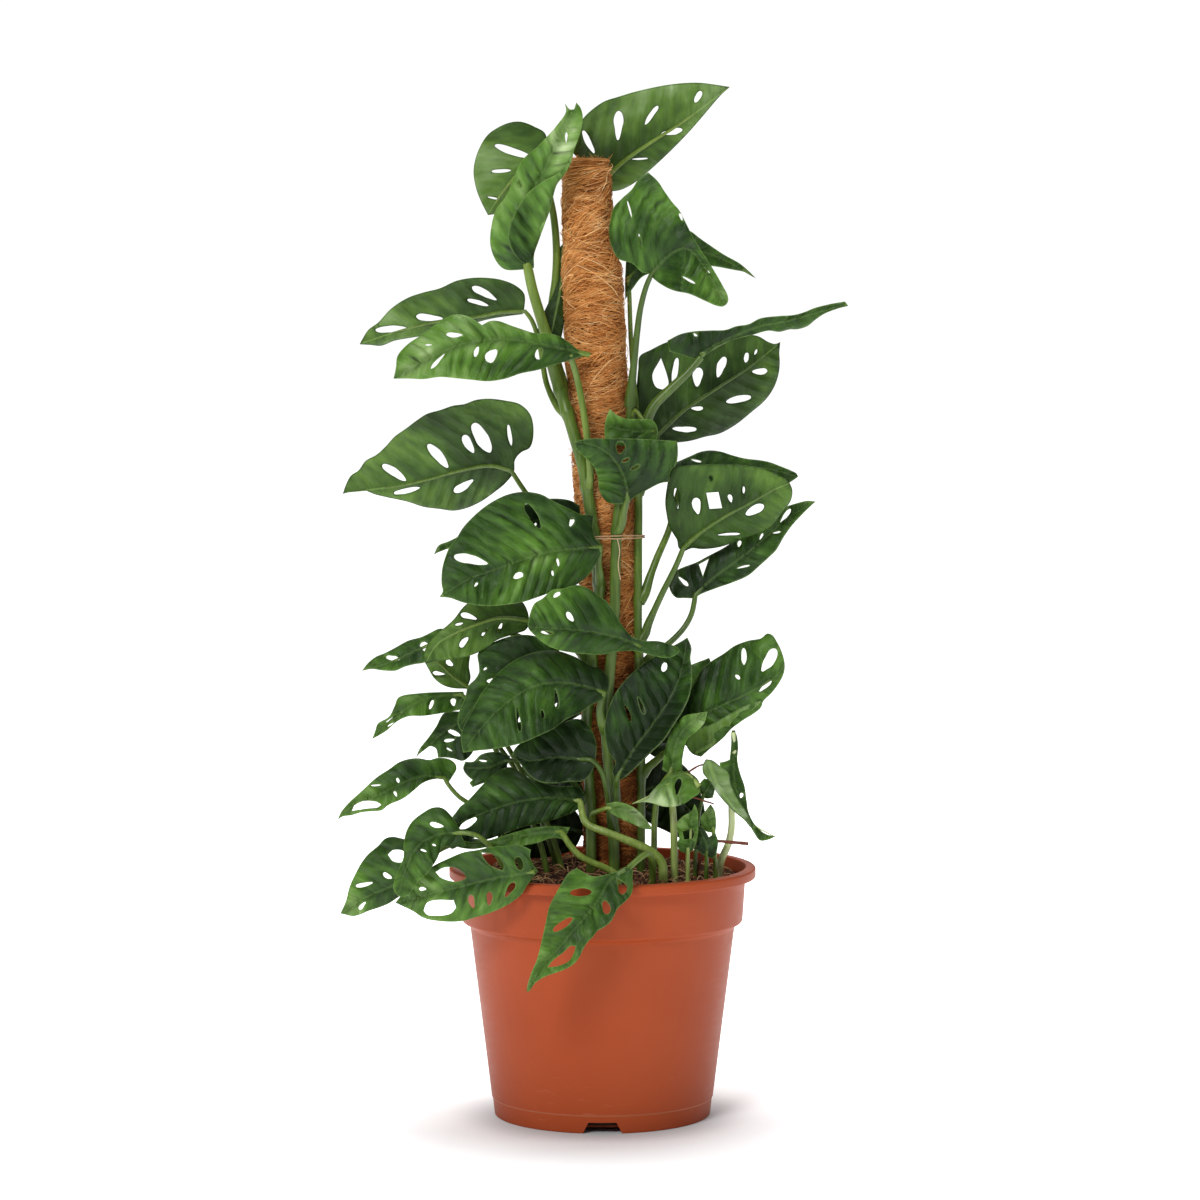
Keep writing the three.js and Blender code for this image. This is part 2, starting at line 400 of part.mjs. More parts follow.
      [-76.3, 275], [-78.5, 271], [-83, 266.3], [-85, 259], [-88.5, 251], [-89.5, 243], [-86, 236],
      [-75, 238], [-60, 245], [-42, 262]],
    rib: [[-27, 284], [-50, 281], [-72, 263], [-88, 242]],
    front: [26, 34, 0, -2, 2],
    holes: [[-71.5, 269.5, -66.7, 269.5, 3.6], [-73.5, 276.3, -71.5, 277.8, 1.3]],
    stalk: { on: "stem_left", at: 262, via: [[-17, 274, 23]], size: [2.1, 1.6] },
  },
  centre_front: {
    edge: [[-46, 303], [-45, 310], [-42, 317.5], [-37, 320.7], [-31, 326], [-24, 327], [-16, 329],
      [-9, 327], [-2, 322], [3, 318.5], [8, 311], [13, 303], [18, 297.5], [25, 294.7], [35, 294.2],
      [42, 292.2], [47, 290], [48, 288.3], [46, 286], [40, 283.8], [32, 285], [25, 287], [18, 288.3],
      [8, 287.6], [0, 286], [-10, 286.2], [-20, 287.3], [-28, 289], [-35, 292.3], [-41, 297]],
    rib: [[23, 291.5], [8, 297], [-10, 300.5], [-28, 302], [-45, 303]],
    front: [38, 64, 2, -4, 4],
    holes: [[-18, 306.5, -22, 312.3, 3.8], [-30, 299, -38, 300, 2], [-30.3, 321.5, -26, 324.3, 2.8]],
    stalk: { on: "stem_right", at: 288, via: [[23, 291.5, 28]], size: [2, 1.6] },
  },
  centre_right: {
    edge: [[8, 207], [6, 213], [8, 219], [4, 225], [2, 232], [1, 240], [3, 250], [8, 262], [14, 270],
      [20, 276], [28, 282], [34, 286], [42, 290.5], [49, 294.3], [52.5, 296.5], [55, 290], [54.3, 284],
      [55.3, 277], [55.3, 269], [54, 261], [50, 251.5], [45, 243.5], [38, 233], [30, 225], [21, 216],
      [13, 209]],
    rib: [[9, 209], [18, 225], [29, 240], [40, 256], [48, 273], [52.2, 295]],
    front: [34, 24, -2, 11, 0],
    holes: [[37.3, 275.2, 39, 281, 4.2], [14, 254.5, 17.5, 244.5, 2.6], [22, 259.5, 26, 249, 2.4]],
    stalk: { on: "stem_centre", at: 196, via: [[8.5, 203, 29]], size: [2.4, 1.9] },
  },
  right_folded: {
    edge: [[57, 225.5], [50, 231], [46, 239], [46, 248], [51, 258], [57, 268], [61, 276], [67, 281.5],
      [75, 286.5], [82, 291.5], [90, 294.5], [98, 296], [102, 299], [105, 298], [108, 293.5], [110.7, 288],
      [112.7, 280], [112, 274], [109, 268], [104.5, 262], [99.5, 257], [98, 253], [93, 249], [88, 246],
      [84, 243], [80, 240], [75.5, 235], [71, 231], [66, 227], [61, 222.5]],
    rib: [[49, 236], [60, 247.5], [73, 254], [87, 260.5], [98, 266.5], [107, 272.5], [112, 279]],
    front: [16, 34, -13, 2, 0],
    holes: [[87.5, 279.5, 87.3, 290, 3.6], [98.7, 275.5, 107, 289.5, 7], [82.2, 273.3, 85, 270.7, 2.4],
      [97, 263, 104.5, 270, 3]],
    fold: {
      edge: [[61, 222.5], [55.5, 224.5], [51.5, 231], [54, 237], [60, 240.5], [68, 243], [77, 248],
        [85, 252.5], [92, 256], [99, 258], [97.5, 253], [93, 249], [88, 246], [84, 243], [80, 240],
        [75.5, 235], [71, 231], [66, 227]],
      rib: [[58, 224.5], [72, 233.2], [87, 246.5], [98, 257]],
      front: [17, 29, 9, -4, 0],
    },
    stalk: { on: "stem_right", at: 214, via: [[32, 219, 14], [41, 227, 14]], size: [2.2, 1.7] },
  },
  right_upright: {
    edge: [[37, 214.5], [38, 223], [40.5, 233], [45, 242], [51, 248], [58, 249.5], [65, 250.5], [63, 243.5],
      [58, 238], [53, 234], [50.5, 227], [49.5, 220], [49.5, 213.5], [43, 211.5]],
    rib: [[42.5, 213], [44.5, 228], [51, 240], [63.5, 249.8]],
    front: [33, 35, 0, 0, 0],
    stalk: { via: [[31, 130, 27], [32, 165, 27], [32.5, 185, 28], [35, 201, 30]], size: [2.2, 1.7] },
  },
  right_heart: {
    edge: [[60, 206.5], [57, 210.5], [51, 213.3], [44, 212.3], [37, 207.3], [31, 201.3], [27, 196.5],
      [17.5, 192.8], [26, 194.3], [32, 193.3], [38, 191.5], [44, 191.5], [50, 193], [56, 197], [60, 200]],
    rib: [[60, 204], [52, 211], [44, 210], [37, 205], [30, 198.5], [18.5, 193.2]],
    front: [40, 56, 6, -4, 0],
    holes: [[46, 198.8, 47.8, 209, 4.4]],
    stalk: { via: [[45, 128, 37], [44.5, 165, 37], [43.5, 190, 38]], size: [2.5, 2], meets: [40, 206.5] },
  },
  right_hanging: {
    edge: [[80, 238.8], [82, 239], [83.3, 235], [84, 229], [83.6, 220], [85.3, 212], [88, 204], [89.2, 196],
      [90.3, 189], [93, 182.5], [97, 177.5], [102, 174], [107.7, 173], [102, 170.6], [97.5, 170.4],
      [94, 175], [92, 178.5], [89, 184], [85, 190], [80, 196], [76.5, 203], [74, 211], [72.5, 219],
      [75, 219.3], [78.8, 220.8], [79.6, 229]],
    rib: [[81, 237.5], [81.5, 222], [81.5, 208], [86, 193], [92.5, 181], [106.5, 173]],
    front: [26, 58, -4, 6, 3],
    holes: [[85.3, 196.7, 86.7, 200, 2.4], [77.6, 208, 78.4, 211, 1.4]],
    fold: {
      edge: [[62, 217], [64, 221], [68, 220.3], [72.5, 217], [78, 213], [79.5, 206], [82, 200], [85, 194.5],
        [89.5, 187.5], [92.3, 180.5], [91.5, 178.5], [88, 183], [82, 188], [76, 194], [71, 200],
        [67, 206.5], [62.5, 212]],
      rib: [[66, 219], [70, 208], [78, 195], [91.5, 180]],
      front: [42, 56, -1, 0, 0],
    },
    stalk: { via: [[71, 130, 20], [73.5, 157, 20], [78, 168, 20], [80, 178, 20], [80, 192, 20],
      [80.8, 212, 21]], size: [2.6, 1.7], meets: [81.3, 226] },
  },
  small_pale: {
    edge: [[2, 190], [3, 193.3], [9, 194.5], [16, 192.7], [22, 189], [26.5, 184], [31.5, 177], [26, 177.6],
      [20, 180], [13, 183], [6, 187]],
    rib: [[3, 190.7], [14, 189], [22, 184.5], [31, 177.5]],
    front: [46, 48, 0, 0, 0],
    stalk: { on: "stem_left", at: 186, via: [[-5, 187.5, 31], [-2, 189, 40]], size: [1.5, 1.2] },
  },
  low_left: {
    edge: [[-12, 192.5], [-10, 198], [-15, 203.5], [-30, 204.5], [-45, 209], [-57, 216], [-65, 213.5],
      [-73, 206.3], [-80, 198.7], [-84, 194.5], [-88, 191.5], [-91, 187.5], [-93.5, 184], [-92, 179],
      [-91, 173], [-86, 169], [-75, 170], [-62, 174], [-50, 178.5], [-35, 182], [-20, 187]],
    rib: [[-14, 195], [-30, 197], [-50, 195], [-70, 189], [-91, 180.5]],
    front: [33, 50, 2, -12, 3],
    holes: [[-88.5, 177.7, -78, 184.3, 4.6], [-80, 171.8, -75.5, 171.3, 1.2]],
    stalk: { via: [[36, 126, 47], [37, 156, 48], [30, 163.5, 48], [17, 169.7, 47.5], [2, 175.7, 46],
      [-10, 181, 42]], size: [3.2, 2.1] },
  },
  low_left_edge: {
    edge: [[-20, 178.5], [-30, 179.2], [-40, 178.7], [-50, 176.7], [-60, 173.7], [-70, 170.7], [-80, 169.3],
      [-88, 170], [-93, 167.5], [-88, 165.8], [-80, 165], [-70, 166.3], [-60, 166.3], [-50, 167],
      [-40, 169], [-31, 172], [-24, 171]],
    rib: [[-24, 175.5], [-40, 175], [-60, 170.3], [-80, 167.3], [-91, 167.5]],
    front: [60, 58, 3, -2, 0],
    stalk: { via: [[13, 124, 58], [8, 149, 60], [2, 153, 61], [-8, 157.3, 62], [-15, 161.5, 62],
      [-21, 168.5, 61]], size: [2.4, 1.9], meets: [-25, 175] },
  },
  low_centre: {
    edge: [[-6, 214], [-12, 207.6], [-20, 207], [-30, 206], [-38, 206.6], [-45, 210.5], [-50, 217],
      [-56, 224], [-53, 229], [-45, 234], [-35, 239.5], [-25, 243.5], [-15, 246], [-8, 241], [-4, 232],
      [-4, 223]],
    rib: [[-13, 221], [-30, 222], [-44, 220], [-55.5, 223.5]],
    front: [38, 50, 7, -8, 0],
    stalk: { on: "stem_centre", at: 181, via: [[4, 191, 31], [2.3, 203, 36], [-1, 214, 39], [-7, 220.5, 40]],
      size: [1.9, 1.5] },
  },
  front_hanging: {
    edge: [[19, 152], [18.6, 147], [19, 141], [17.5, 136], [14, 132], [9.5, 128], [7.5, 124], [5, 119.5],
      [0, 115.5], [-3, 114], [-6, 110], [-9, 107], [-12, 102.5], [-14, 98], [-18, 93], [-24, 89.5],
      [-30, 87.3], [-36, 85], [-42, 81], [-45.5, 76], [-47.2, 75.6], [-46.5, 80], [-44, 88], [-41, 95],
      [-39, 102], [-37, 111], [-35, 120], [-33, 129], [-29, 137], [-25, 144], [-21, 150], [-16, 153.2],
      [-12, 150.7], [-6, 148], [2, 149], [10, 151.5], [15, 154]],
    rib: [[14, 152], [5, 146], [0, 138], [-5, 130], [-12, 121], [-20, 112], [-28, 102], [-37, 93],
      [-43, 83], [-46.3, 77]],
    front: [98, 120, 6, 0, 4],
    holes: [[-6.5, 138.3, -20, 137.5, 5.4], [1, 132.8, 3.3, 124.3, 5.4], [[9, 146.6], [14, 143.3],
      [15.4, 141.3], [14.4, 138], [12, 136.5], [10.2, 138], [9.6, 142]], [-18.5, 122, -30.5, 113.8, 4.6],
      [[-34, 91], [-31, 95], [-24, 100.5], [-19.5, 104.5], [-16.5, 104], [-17.7, 100], [-20.7, 95],
      [-27, 92]]],
    stalk: { via: [[30, 124, 50], [31, 152, 60], [29, 161, 78], [25.5, 161, 89]], size: [2.3, 1.8],
      meets: [16, 153] },
  },
  bottom_left: {
    edge: [[-40, 151.3], [-43, 155.5], [-45, 160.5], [-44.3, 164.5], [-50, 167], [-60, 167], [-70, 166],
      [-77, 164.5], [-86, 163], [-95, 159.3], [-103, 155.5], [-110, 151], [-117, 145], [-123, 138.5],
      [-128.5, 131.5], [-124, 129.3], [-118, 126.5], [-111, 122], [-104, 120.3], [-95, 119.5], [-87, 120],
      [-78, 122.5], [-70, 125], [-62, 128.5], [-56, 132], [-50, 137], [-47, 142], [-44, 146.3]],
    rib: [[-41.5, 151], [-55, 148.7], [-70, 146], [-86, 142], [-102, 138], [-116, 134.5], [-127.3, 131.8]],
    front: [90, 52, 2, -2, 3],
    holes: [[[-61.5, 151.5], [-68, 153.7], [-73, 158.5], [-75, 162.7], [-68, 161.8], [-64.5, 160],
      [-61.3, 155.5]], [-50.3, 151.7, -53, 160, 5.4], [[-103.5, 150.5], [-98.5, 153.3], [-91, 153.3],
      [-86, 150], [-84.6, 147], [-88, 145.2], [-92.5, 144.7], [-100, 147]], [-109.3, 140, -113.8, 140, 2.6],
      [[-111, 126.5], [-109, 131.2], [-104, 133], [-92.3, 133], [-90.8, 128.5], [-94, 124.8], [-102, 123.3],
      [-109, 124]], [-80, 128, -82, 136.3, 4.2], [-70.5, 129.7, -70, 138.3, 4],
      [-60.3, 135, -54.5, 144, 4.2]],
    stalk: { via: [[-42, 124, 52], [-46, 150, 58], [-46.5, 158, 70], [-45.5, 157, 83]], size: [2.1, 1.6],
      meets: [-44, 151.5] },
  },
  bottom_left_far: {
    edge: [[-162.7, 124.7], [-159, 133], [-157, 141], [-153, 150], [-149, 157], [-145, 162], [-139, 167],
      [-135, 171.3], [-131, 172.6], [-126, 172], [-121, 170], [-117, 160], [-117, 150], [-120, 140],
      [-128, 134], [-133, 130.7], [-140, 128], [-146, 126], [-150, 124.2], [-155, 123], [-159.5, 124]],
    rib: [[-121, 146], [-135, 140], [-148, 134], [-161.8, 125.3]],
    front: [40, 22, 0, -8, 2],
    holes: [[[-133, 161.5], [-130, 164.2], [-124, 164], [-121.5, 161], [-122, 157.7], [-125.5, 156.6],
      [-130, 157.5]], [-130.7, 146.7, -136, 150, 3.4], [-142.5, 144, -153, 141.7, 2.8],
      [-147, 132, -151, 127.2, 2.6]],
    stalk: { via: [[-44, 126, 28], [-58, 158, 30], [-80, 170, 34], [-100, 165, 38], [-113, 154, 39]],
      size: [2, 1.5] },
  },
  bottom_left_curved: {
    edge: [[-86, 166.2], [-84.5, 168], [-87, 172.5], [-89, 178], [-91, 182], [-94, 186], [-97.5, 189.5],
      [-101, 191], [-106, 190.5], [-112, 187], [-118, 182], [-121.5, 176], [-123.2, 168], [-123.3, 160],
      [-126, 153], [-129, 146], [-129.6, 140], [-127, 136], [-123, 135.3], [-119, 138], [-115.5, 143.5],
      [-108.5, 150], [-105, 155], [-103, 158], [-101, 162.5], [-99.5, 165.8], [-96, 166.3], [-93, 164.8],
      [-90, 166.3]],
    rib: [[-90, 175], [-103, 173.5], [-115, 166], [-122, 152], [-126, 138]],
    front: [66, 76, 4, -8, 0],
    holes: [[-98.5, 179, -107, 181, 3.2], [-109, 163.3, -112.8, 164.7, 1.3], [-105.5, 168, -103.3, 167, 1.3]],
    stalk: { via: [[-52, 126, 48], [-62, 155, 58], [-70, 167, 65], [-77, 173, 66.5], [-84, 175, 66.5]],
      size: [1.8, 1.4] },
  },
  low_right_dark: {
    edge: [[57, 178], [59, 171], [57.5, 165], [62, 161.5], [68.5, 159], [70.5, 162], [71.7, 170], [70, 175],
      [66, 172.5], [62, 180]],
    rib: [[64.5, 161.5], [64.5, 168], [60, 177.5]],
    front: [44, 42, 0, 0, 0],
    stalk: { via: [[64, 128, 38], [64.5, 152, 41]], size: [1.6, 1.2], meets: [64.7, 164] },
  },
  low_right_crimped: {
    edge: [[60.5, 184], [64, 189], [67, 193], [69.5, 189], [70.5, 180], [70, 176], [66, 175.3], [62, 178.5]],
    rib: [[68.5, 177], [66, 184], [66.7, 191.5]],
    front: [34, 36, 0, 0, 0],
    stalk: { via: [[70, 128, 30], [70, 155, 31]], size: [1.6, 1.2], meets: [68.7, 179] },
  },
  low_right_loop: {
    edge: [[46, 181], [50, 185.5], [55, 188.5], [57, 193], [58.7, 190], [59.3, 183], [59.3, 175],
      [57.7, 168], [56, 164], [52, 162.5], [48, 164], [46.3, 168], [47.7, 172.5], [46.3, 177]],
    rib: [[53, 164], [54.5, 168], [55, 183], [57, 191]],
    front: [46, 46, 0, 0, 0],
    holes: [[[49.7, 176], [56, 177.7], [56.8, 174], [55.8, 171.3], [50.7, 171]]],
    stalk: { via: [[53, 128, 42], [53, 152, 43.5]], size: [1.6, 1.2], meets: [53, 166] },
  },
  low_right_frilled: {
    edge: [[60, 205], [63, 209], [67, 208], [69.5, 203], [68.5, 197], [64, 196.5], [61, 199.5]],
    rib: [[62.5, 198], [65, 203], [67.5, 207]],
    front: [34, 34, 0, 0, 0],
    stalk: { via: [[57, 128, 28], [58, 165, 28], [60, 188, 29]], size: [1.5, 1.1], meets: [63, 200] },
  },
  rear_left: {
    edge: [[-6, 262], [-4, 270], [-10, 279], [-22, 284], [-38, 282], [-52, 275], [-64, 262], [-72, 246],
      [-76.5, 237.5], [-66, 238], [-50, 238], [-34, 240], [-18, 246], [-8, 254]],
    rib: [[-7, 262], [-35, 262], [-60, 251], [-75.5, 238.5]],
    front: [-32, -62, -6, 6, 0],
    holes: [[-30, 268, -36, 278, 3], [-46, 264, -54, 268, 3], [-28, 256, -34, 247, 3],
      [-46, 252, -52, 244, 3]],
    stalk: { on: "stem_back", at: 246, via: [[-1.5, 254, -31]], size: [2.1, 1.6] },
  },
  rear_right: {
    edge: [[14, 226], [8, 232], [7, 242], [11, 254], [20, 264], [32, 270], [44, 273], [52.5, 272],
      [50, 262], [44, 250], [36, 238], [26, 229], [18, 224]],
    rib: [[13.5, 228], [26, 242], [40, 258], [51.5, 271]],
    front: [-32, -64, 6, -6, 0],
    holes: [[17, 240, 13, 248, 3], [28, 252, 24, 262, 3], [30, 242, 37, 246, 3]],
    stalk: { on: "stem_back", at: 212, via: [[7, 220, -31.5]], size: [2.1, 1.6] },
  },
  rear_low: {
    edge: [[-12, 200], [-9, 208], [-14, 216], [-26, 221], [-42, 220], [-56, 212], [-68, 200], [-76.5, 187],
      [-64, 187], [-48, 186], [-30, 188], [-18, 192]],
    rib: [[-13, 201], [-36, 204], [-58, 197], [-75.5, 188]],
    front: [-34, -70, 6, -6, 0],
    holes: [[-28, 208, -34, 216, 3], [-44, 207, -50, 211, 2.6], [-32, 199, -38, 191, 3]],
    stalk: { on: "stem_back", at: 184, via: [[-4, 192, -32]], size: [2.1, 1.6] },
  },
  rear_inner: {
    edge: [[28, 226], [26, 238], [30, 252], [38, 266], [50, 277], [66, 284], [70, 272], [68, 258],
      [62, 244], [52, 232], [42, 225], [34, 222]],
    rib: [[29, 227], [42, 246], [55, 264], [66, 282]],
    front: [-24, -44, -4, 4, 0],
    stalk: { on: "stem_back", at: 228, via: [[12, 232, -29.5], [20, 230, -27.5]], size: [2, 1.6] },
  },
  rear_foot_left: {
    edge: [[-14, 171], [-12, 180], [-18, 190], [-30, 196], [-44, 194], [-58, 184], [-66, 170],
      [-68, 160], [-56, 160], [-42, 159], [-28, 161], [-18, 165]],
    rib: [[-14, 176], [-36, 180], [-56, 172], [-67, 161]],
    front: [-28, -42, -5, 5, 0],
    stalk: { on: "stem_back", at: 166, via: [[-6, 172, -31.5]], size: [2, 1.6] },
  },
  rear_foot_right: {
    edge: [[20, 190], [17, 200], [22, 212], [32, 220], [44, 221], [55, 212], [62, 196], [64, 180],
      [62, 166], [52, 170], [40, 176], [28, 182]],
    rib: [[19, 197], [36, 204], [52, 192], [62, 168]],
    front: [-24, -36, 5, -5, 0],
    stalk: { on: "stem_back", at: 192, via: [[9, 196, -31]], size: [2, 1.6] },
  },
};

const TWIG = [[56, 139, 25], [62, 161, 27], [69, 169.3, 29], [80, 169.2, 30], [90.5, 168.3, 30]];
const TWIG_RADIUS = 0.9;

// The tie round the pole and the stems in front of it, as [x, front]. Its two ends meet at the back.
const TIE_HEIGHT = 359;
const TIE_RADIUS = 0.6;
const TIE_STEP = 9;
const TIE = [[2, -19.5], [-8, -16.5], [-15, -9], [-17.6, 0], [-15.5, 12], [-10.8, 23], [-5.5, 26], [2, 26.8],
  [9, 27.4], [16, 23.5], [22.5, 16], [25.9, 10], [22.5, -2], [17.5, -12.5], [10.5, -18], [3.6, -19.6]];

function place([x, z, front]) {
  const k = (EYE_DISTANCE - front) / EYE_DISTANCE;
  return new THREE.Vector3(EYE_SIDE + (x - EYE_SIDE) * k, -front, EYE_HEIGHT + (z - EYE_HEIGHT) * k);
}

function solidOf(positions, triangles) {
  return new wasm.Manifold(new wasm.Mesh({
    numProp: 3,
    vertProperties: new Float32Array(positions.flatMap((p) => [p.x, p.y, p.z])),
    triVerts: new Uint32Array(triangles.flat()),
  }));
}

function solidOfGeometry(geometry) {
  geometry.deleteAttribute("normal");
  geometry.deleteAttribute("uv");
  const merged = mergeVertices(geometry, 1e-4);
  return new wasm.Manifold(new wasm.Mesh({
    numProp: 3,
    vertProperties: merged.attributes.position.array,
    triVerts: new Uint32Array(merged.index.array),
  }));
}

// A round rod along points, straight or curved, with a radius for every share of its length.
function rod(points, radiusAt, sides = STALK_SIDES, step = STALK_STEP) {
  const path = new THREE.CatmullRomCurve3(points, false, "centripetal");
  const steps = Math.max(2, Math.round(path.getLength() / step));
  const section = new THREE.Shape(new THREE.EllipseCurve(0, 0, 1, 1).getPoints(sides).slice(0, sides));
  const geometry = new THREE.ExtrudeGeometry(section, { steps, bevelEnabled: false, extrudePath: path });
  const centres = path.getSpacedPoints(steps);
  const position = geometry.attributes.position;
  const vertex = new THREE.Vector3();
  for (let i = 0; i < position.count; i += 1) {
    vertex.fromBufferAttribute(position, i);
    let ring = 0;
    centres.forEach((centre, k) => {
      if (vertex.distanceToSquared(centre) < vertex.distanceToSquared(centres[ring])) ring = k;
    });
    vertex.sub(centres[ring]).multiplyScalar(radiusAt(ring / steps)).add(centres[ring]);
    position.setXYZ(i, vertex.x, vertex.y, vertex.z);
  }
  return solidOfGeometry(geometry);
}

function taper([start, end], extra = 0) {
  return (share) => start + (end - start) * share + extra;
}

// Flat geometry of a leaf as seen from the front

function cross(a, b, c) {
  return (b.x - a.x) * (c.y - a.y) - (b.y - a.y) * (c.x - a.x);
}

function inCircle(a, b, c, d) {
  const rows = [a, b, c].map((p) => [p.x - d.x, p.y - d.y, (p.x - d.x) ** 2 + (p.y - d.y) ** 2]);
  const [r, s, t] = rows;
  return r[0] * (s[1] * t[2] - s[2] * t[1]) - r[1] * (s[0] * t[2] - s[2] * t[0])
    + r[2] * (s[0] * t[1] - s[1] * t[0]);
}

function isInside(point, ring) {
  let inside = false;
  ring.forEach((a, i) => {
    const b = ring[(i + 1) % ring.length];
    if ((a.y > point.y) !== (b.y > point.y)
      && point.x < a.x + ((point.y - a.y) / (b.y - a.y)) * (b.x - a.x)) inside = !inside;
  });
  return inside;
}

function distanceToRing(point, ring) {
  let nearest = Infinity;
  ring.forEach((a, i) => {
    const b = ring[(i + 1) % ring.length];
    const along = b.clone().sub(a);
    const share = THREE.MathUtils.clamp(point.clone().sub(a).dot(along) / along.lengthSq(), 0, 1);
    nearest = Math.min(nearest, point.distanceTo(a.clone().addScaledVector(along, share)));
  });
  return nearest;
}

function holeRing(hole) {
  if (Array.isArray(hole[0])) return hole.map(([x, z]) => new THREE.Vector2(x, z));
  const [x0, z0, x1, z1, width] = hole;
  const start = new THREE.Vector2(x0, z0);
  const along = new THREE.Vector2(x1 - x0, z1 - z0);
  const across = new THREE.Vector2(-along.y, along.x).normalize().multiplyScalar(width / 2);
  const at = (share, side) => start.clone().addScaledVector(along, share).addScaledVector(across, side);
  if (width < SMALL_HOLE) return [at(0, 0), at(0.6, -1), at(1, 0), at(0.6, 1)];
  return [at(0, 0), at(0.28, -0.8), at(0.75, -1), at(1, 0), at(0.75, 1), at(0.28, 0.8)];
}

// Splits the triangle that holds a new point in three.
function addPoint(points, triangles, point) {
  const index = points.push(point) - 1;
  const home = triangles.findIndex(([a, b, c]) => cross(points[a], points[b], point) > 0
    && cross(points[b], points[c], point) > 0 && cross(points[c], points[a], point) > 0);
  if (home < 0) {
    points.pop();
    return;
  }
  const [a, b, c] = triangles[home];
  triangles.splice(home, 1, [a, b, index], [b, c, index], [c, a, index]);
}

// Swaps shared edges until every triangle is as even as it can be.
function evenOut(points, triangles) {
  let changed = true;
  for (let round = 0; changed && round < EVENING_ROUNDS; round += 1) {
    changed = false;
    const owner = new Map();
    triangles.forEach((t, i) => t.forEach((v, k) => owner.set(`${v}_${t[(k + 1) % 3]}`, i)));
    const touched = new Set();
    for (let i = 0; i < triangles.length; i += 1) {
      for (let k = 0; k < 3 && !touched.has(i); k += 1) {
        const [a, b, c] = [0, 1, 2].map((n) => triangles[i][(k + n) % 3]);
        const j = owner.get(`${b}_${a}`);
        if (j === undefined || touched.has(j)) continue;
        const d = triangles[j].find((v) => v !== a && v !== b);
        if (inCircle(points[a], points[b], points[c], points[d]) > 1e-6) {
          triangles[i] = [c, a, d];
          triangles[j] = [c, d, b];
          touched.add(i).add(j);
          changed = true;
        }
      }
    }
  }
}

// Where a point lies on its leaf: the share along the rib, and the offset to its left in millimetres.
function leafCoordinates(point, ribPoints, lengths) {
  let best = { distance: Infinity };
  for (let i = 0; i + 1 < ribPoints.length; i += 1) {
    const a = ribPoints[i];
    const along = ribPoints[i + 1].clone().sub(a);
    const share = THREE.MathUtils.clamp(point.clone().sub(a).dot(along) / along.lengthSq(), 0, 1);
    const foot = a.clone().addScaledVector(along, share);
    const distance = point.distanceTo(foot);
    if (distance < best.distance) {
      const side = along.normalize().cross(point.clone().sub(foot));
      best = { distance, side, share: lengths[i] + (lengths[i + 1] - lengths[i]) * share };
    }
  }
  return [best.share, best.side];
}

// The slide towards the eye of every point of a blade.
function slideOf({ edge, rib, front }, seed) {
  const ribPoints = new THREE.SplineCurve(rib.map(([x, z]) => new THREE.Vector2(x, z))).getPoints(RIB_POINTS);
  const total = ribPoints.reduce((sum, p, i) => (i ? sum + p.distanceTo(ribPoints[i - 1]) : 0), 0);
  const lengths = [0];
  ribPoints.slice(1).forEach((p, i) => lengths.push(lengths[i] + p.distanceTo(ribPoints[i]) / total));
  const sides = edge.map(([x, z]) => leafCoordinates(new THREE.Vector2(x, z), ribPoints, lengths)[1]);
  const left = Math.max(...sides, 1);
  const right = Math.max(...sides.map((s) => -s), 1);
  const [base, tip, leftFront, rightFront, bow] = front;
  const slide = (point) => {
    const [share, side] = leafCoordinates(point, ribPoints, lengths);
    const across = Math.min(1, side > 0 ? side / left : -side / right);
    const wave = WAVE * Math.sin(2 * Math.PI * (WAVES_ALONG * share + seed)) * across ** 2;
    return base + (tip - base) * share + bow * 4 * share * (1 - share)
      + (side > 0 ? leftFront : rightFront) * across ** MARGIN_BEND + wave;
  };
  return { slide, ribPoints };
}

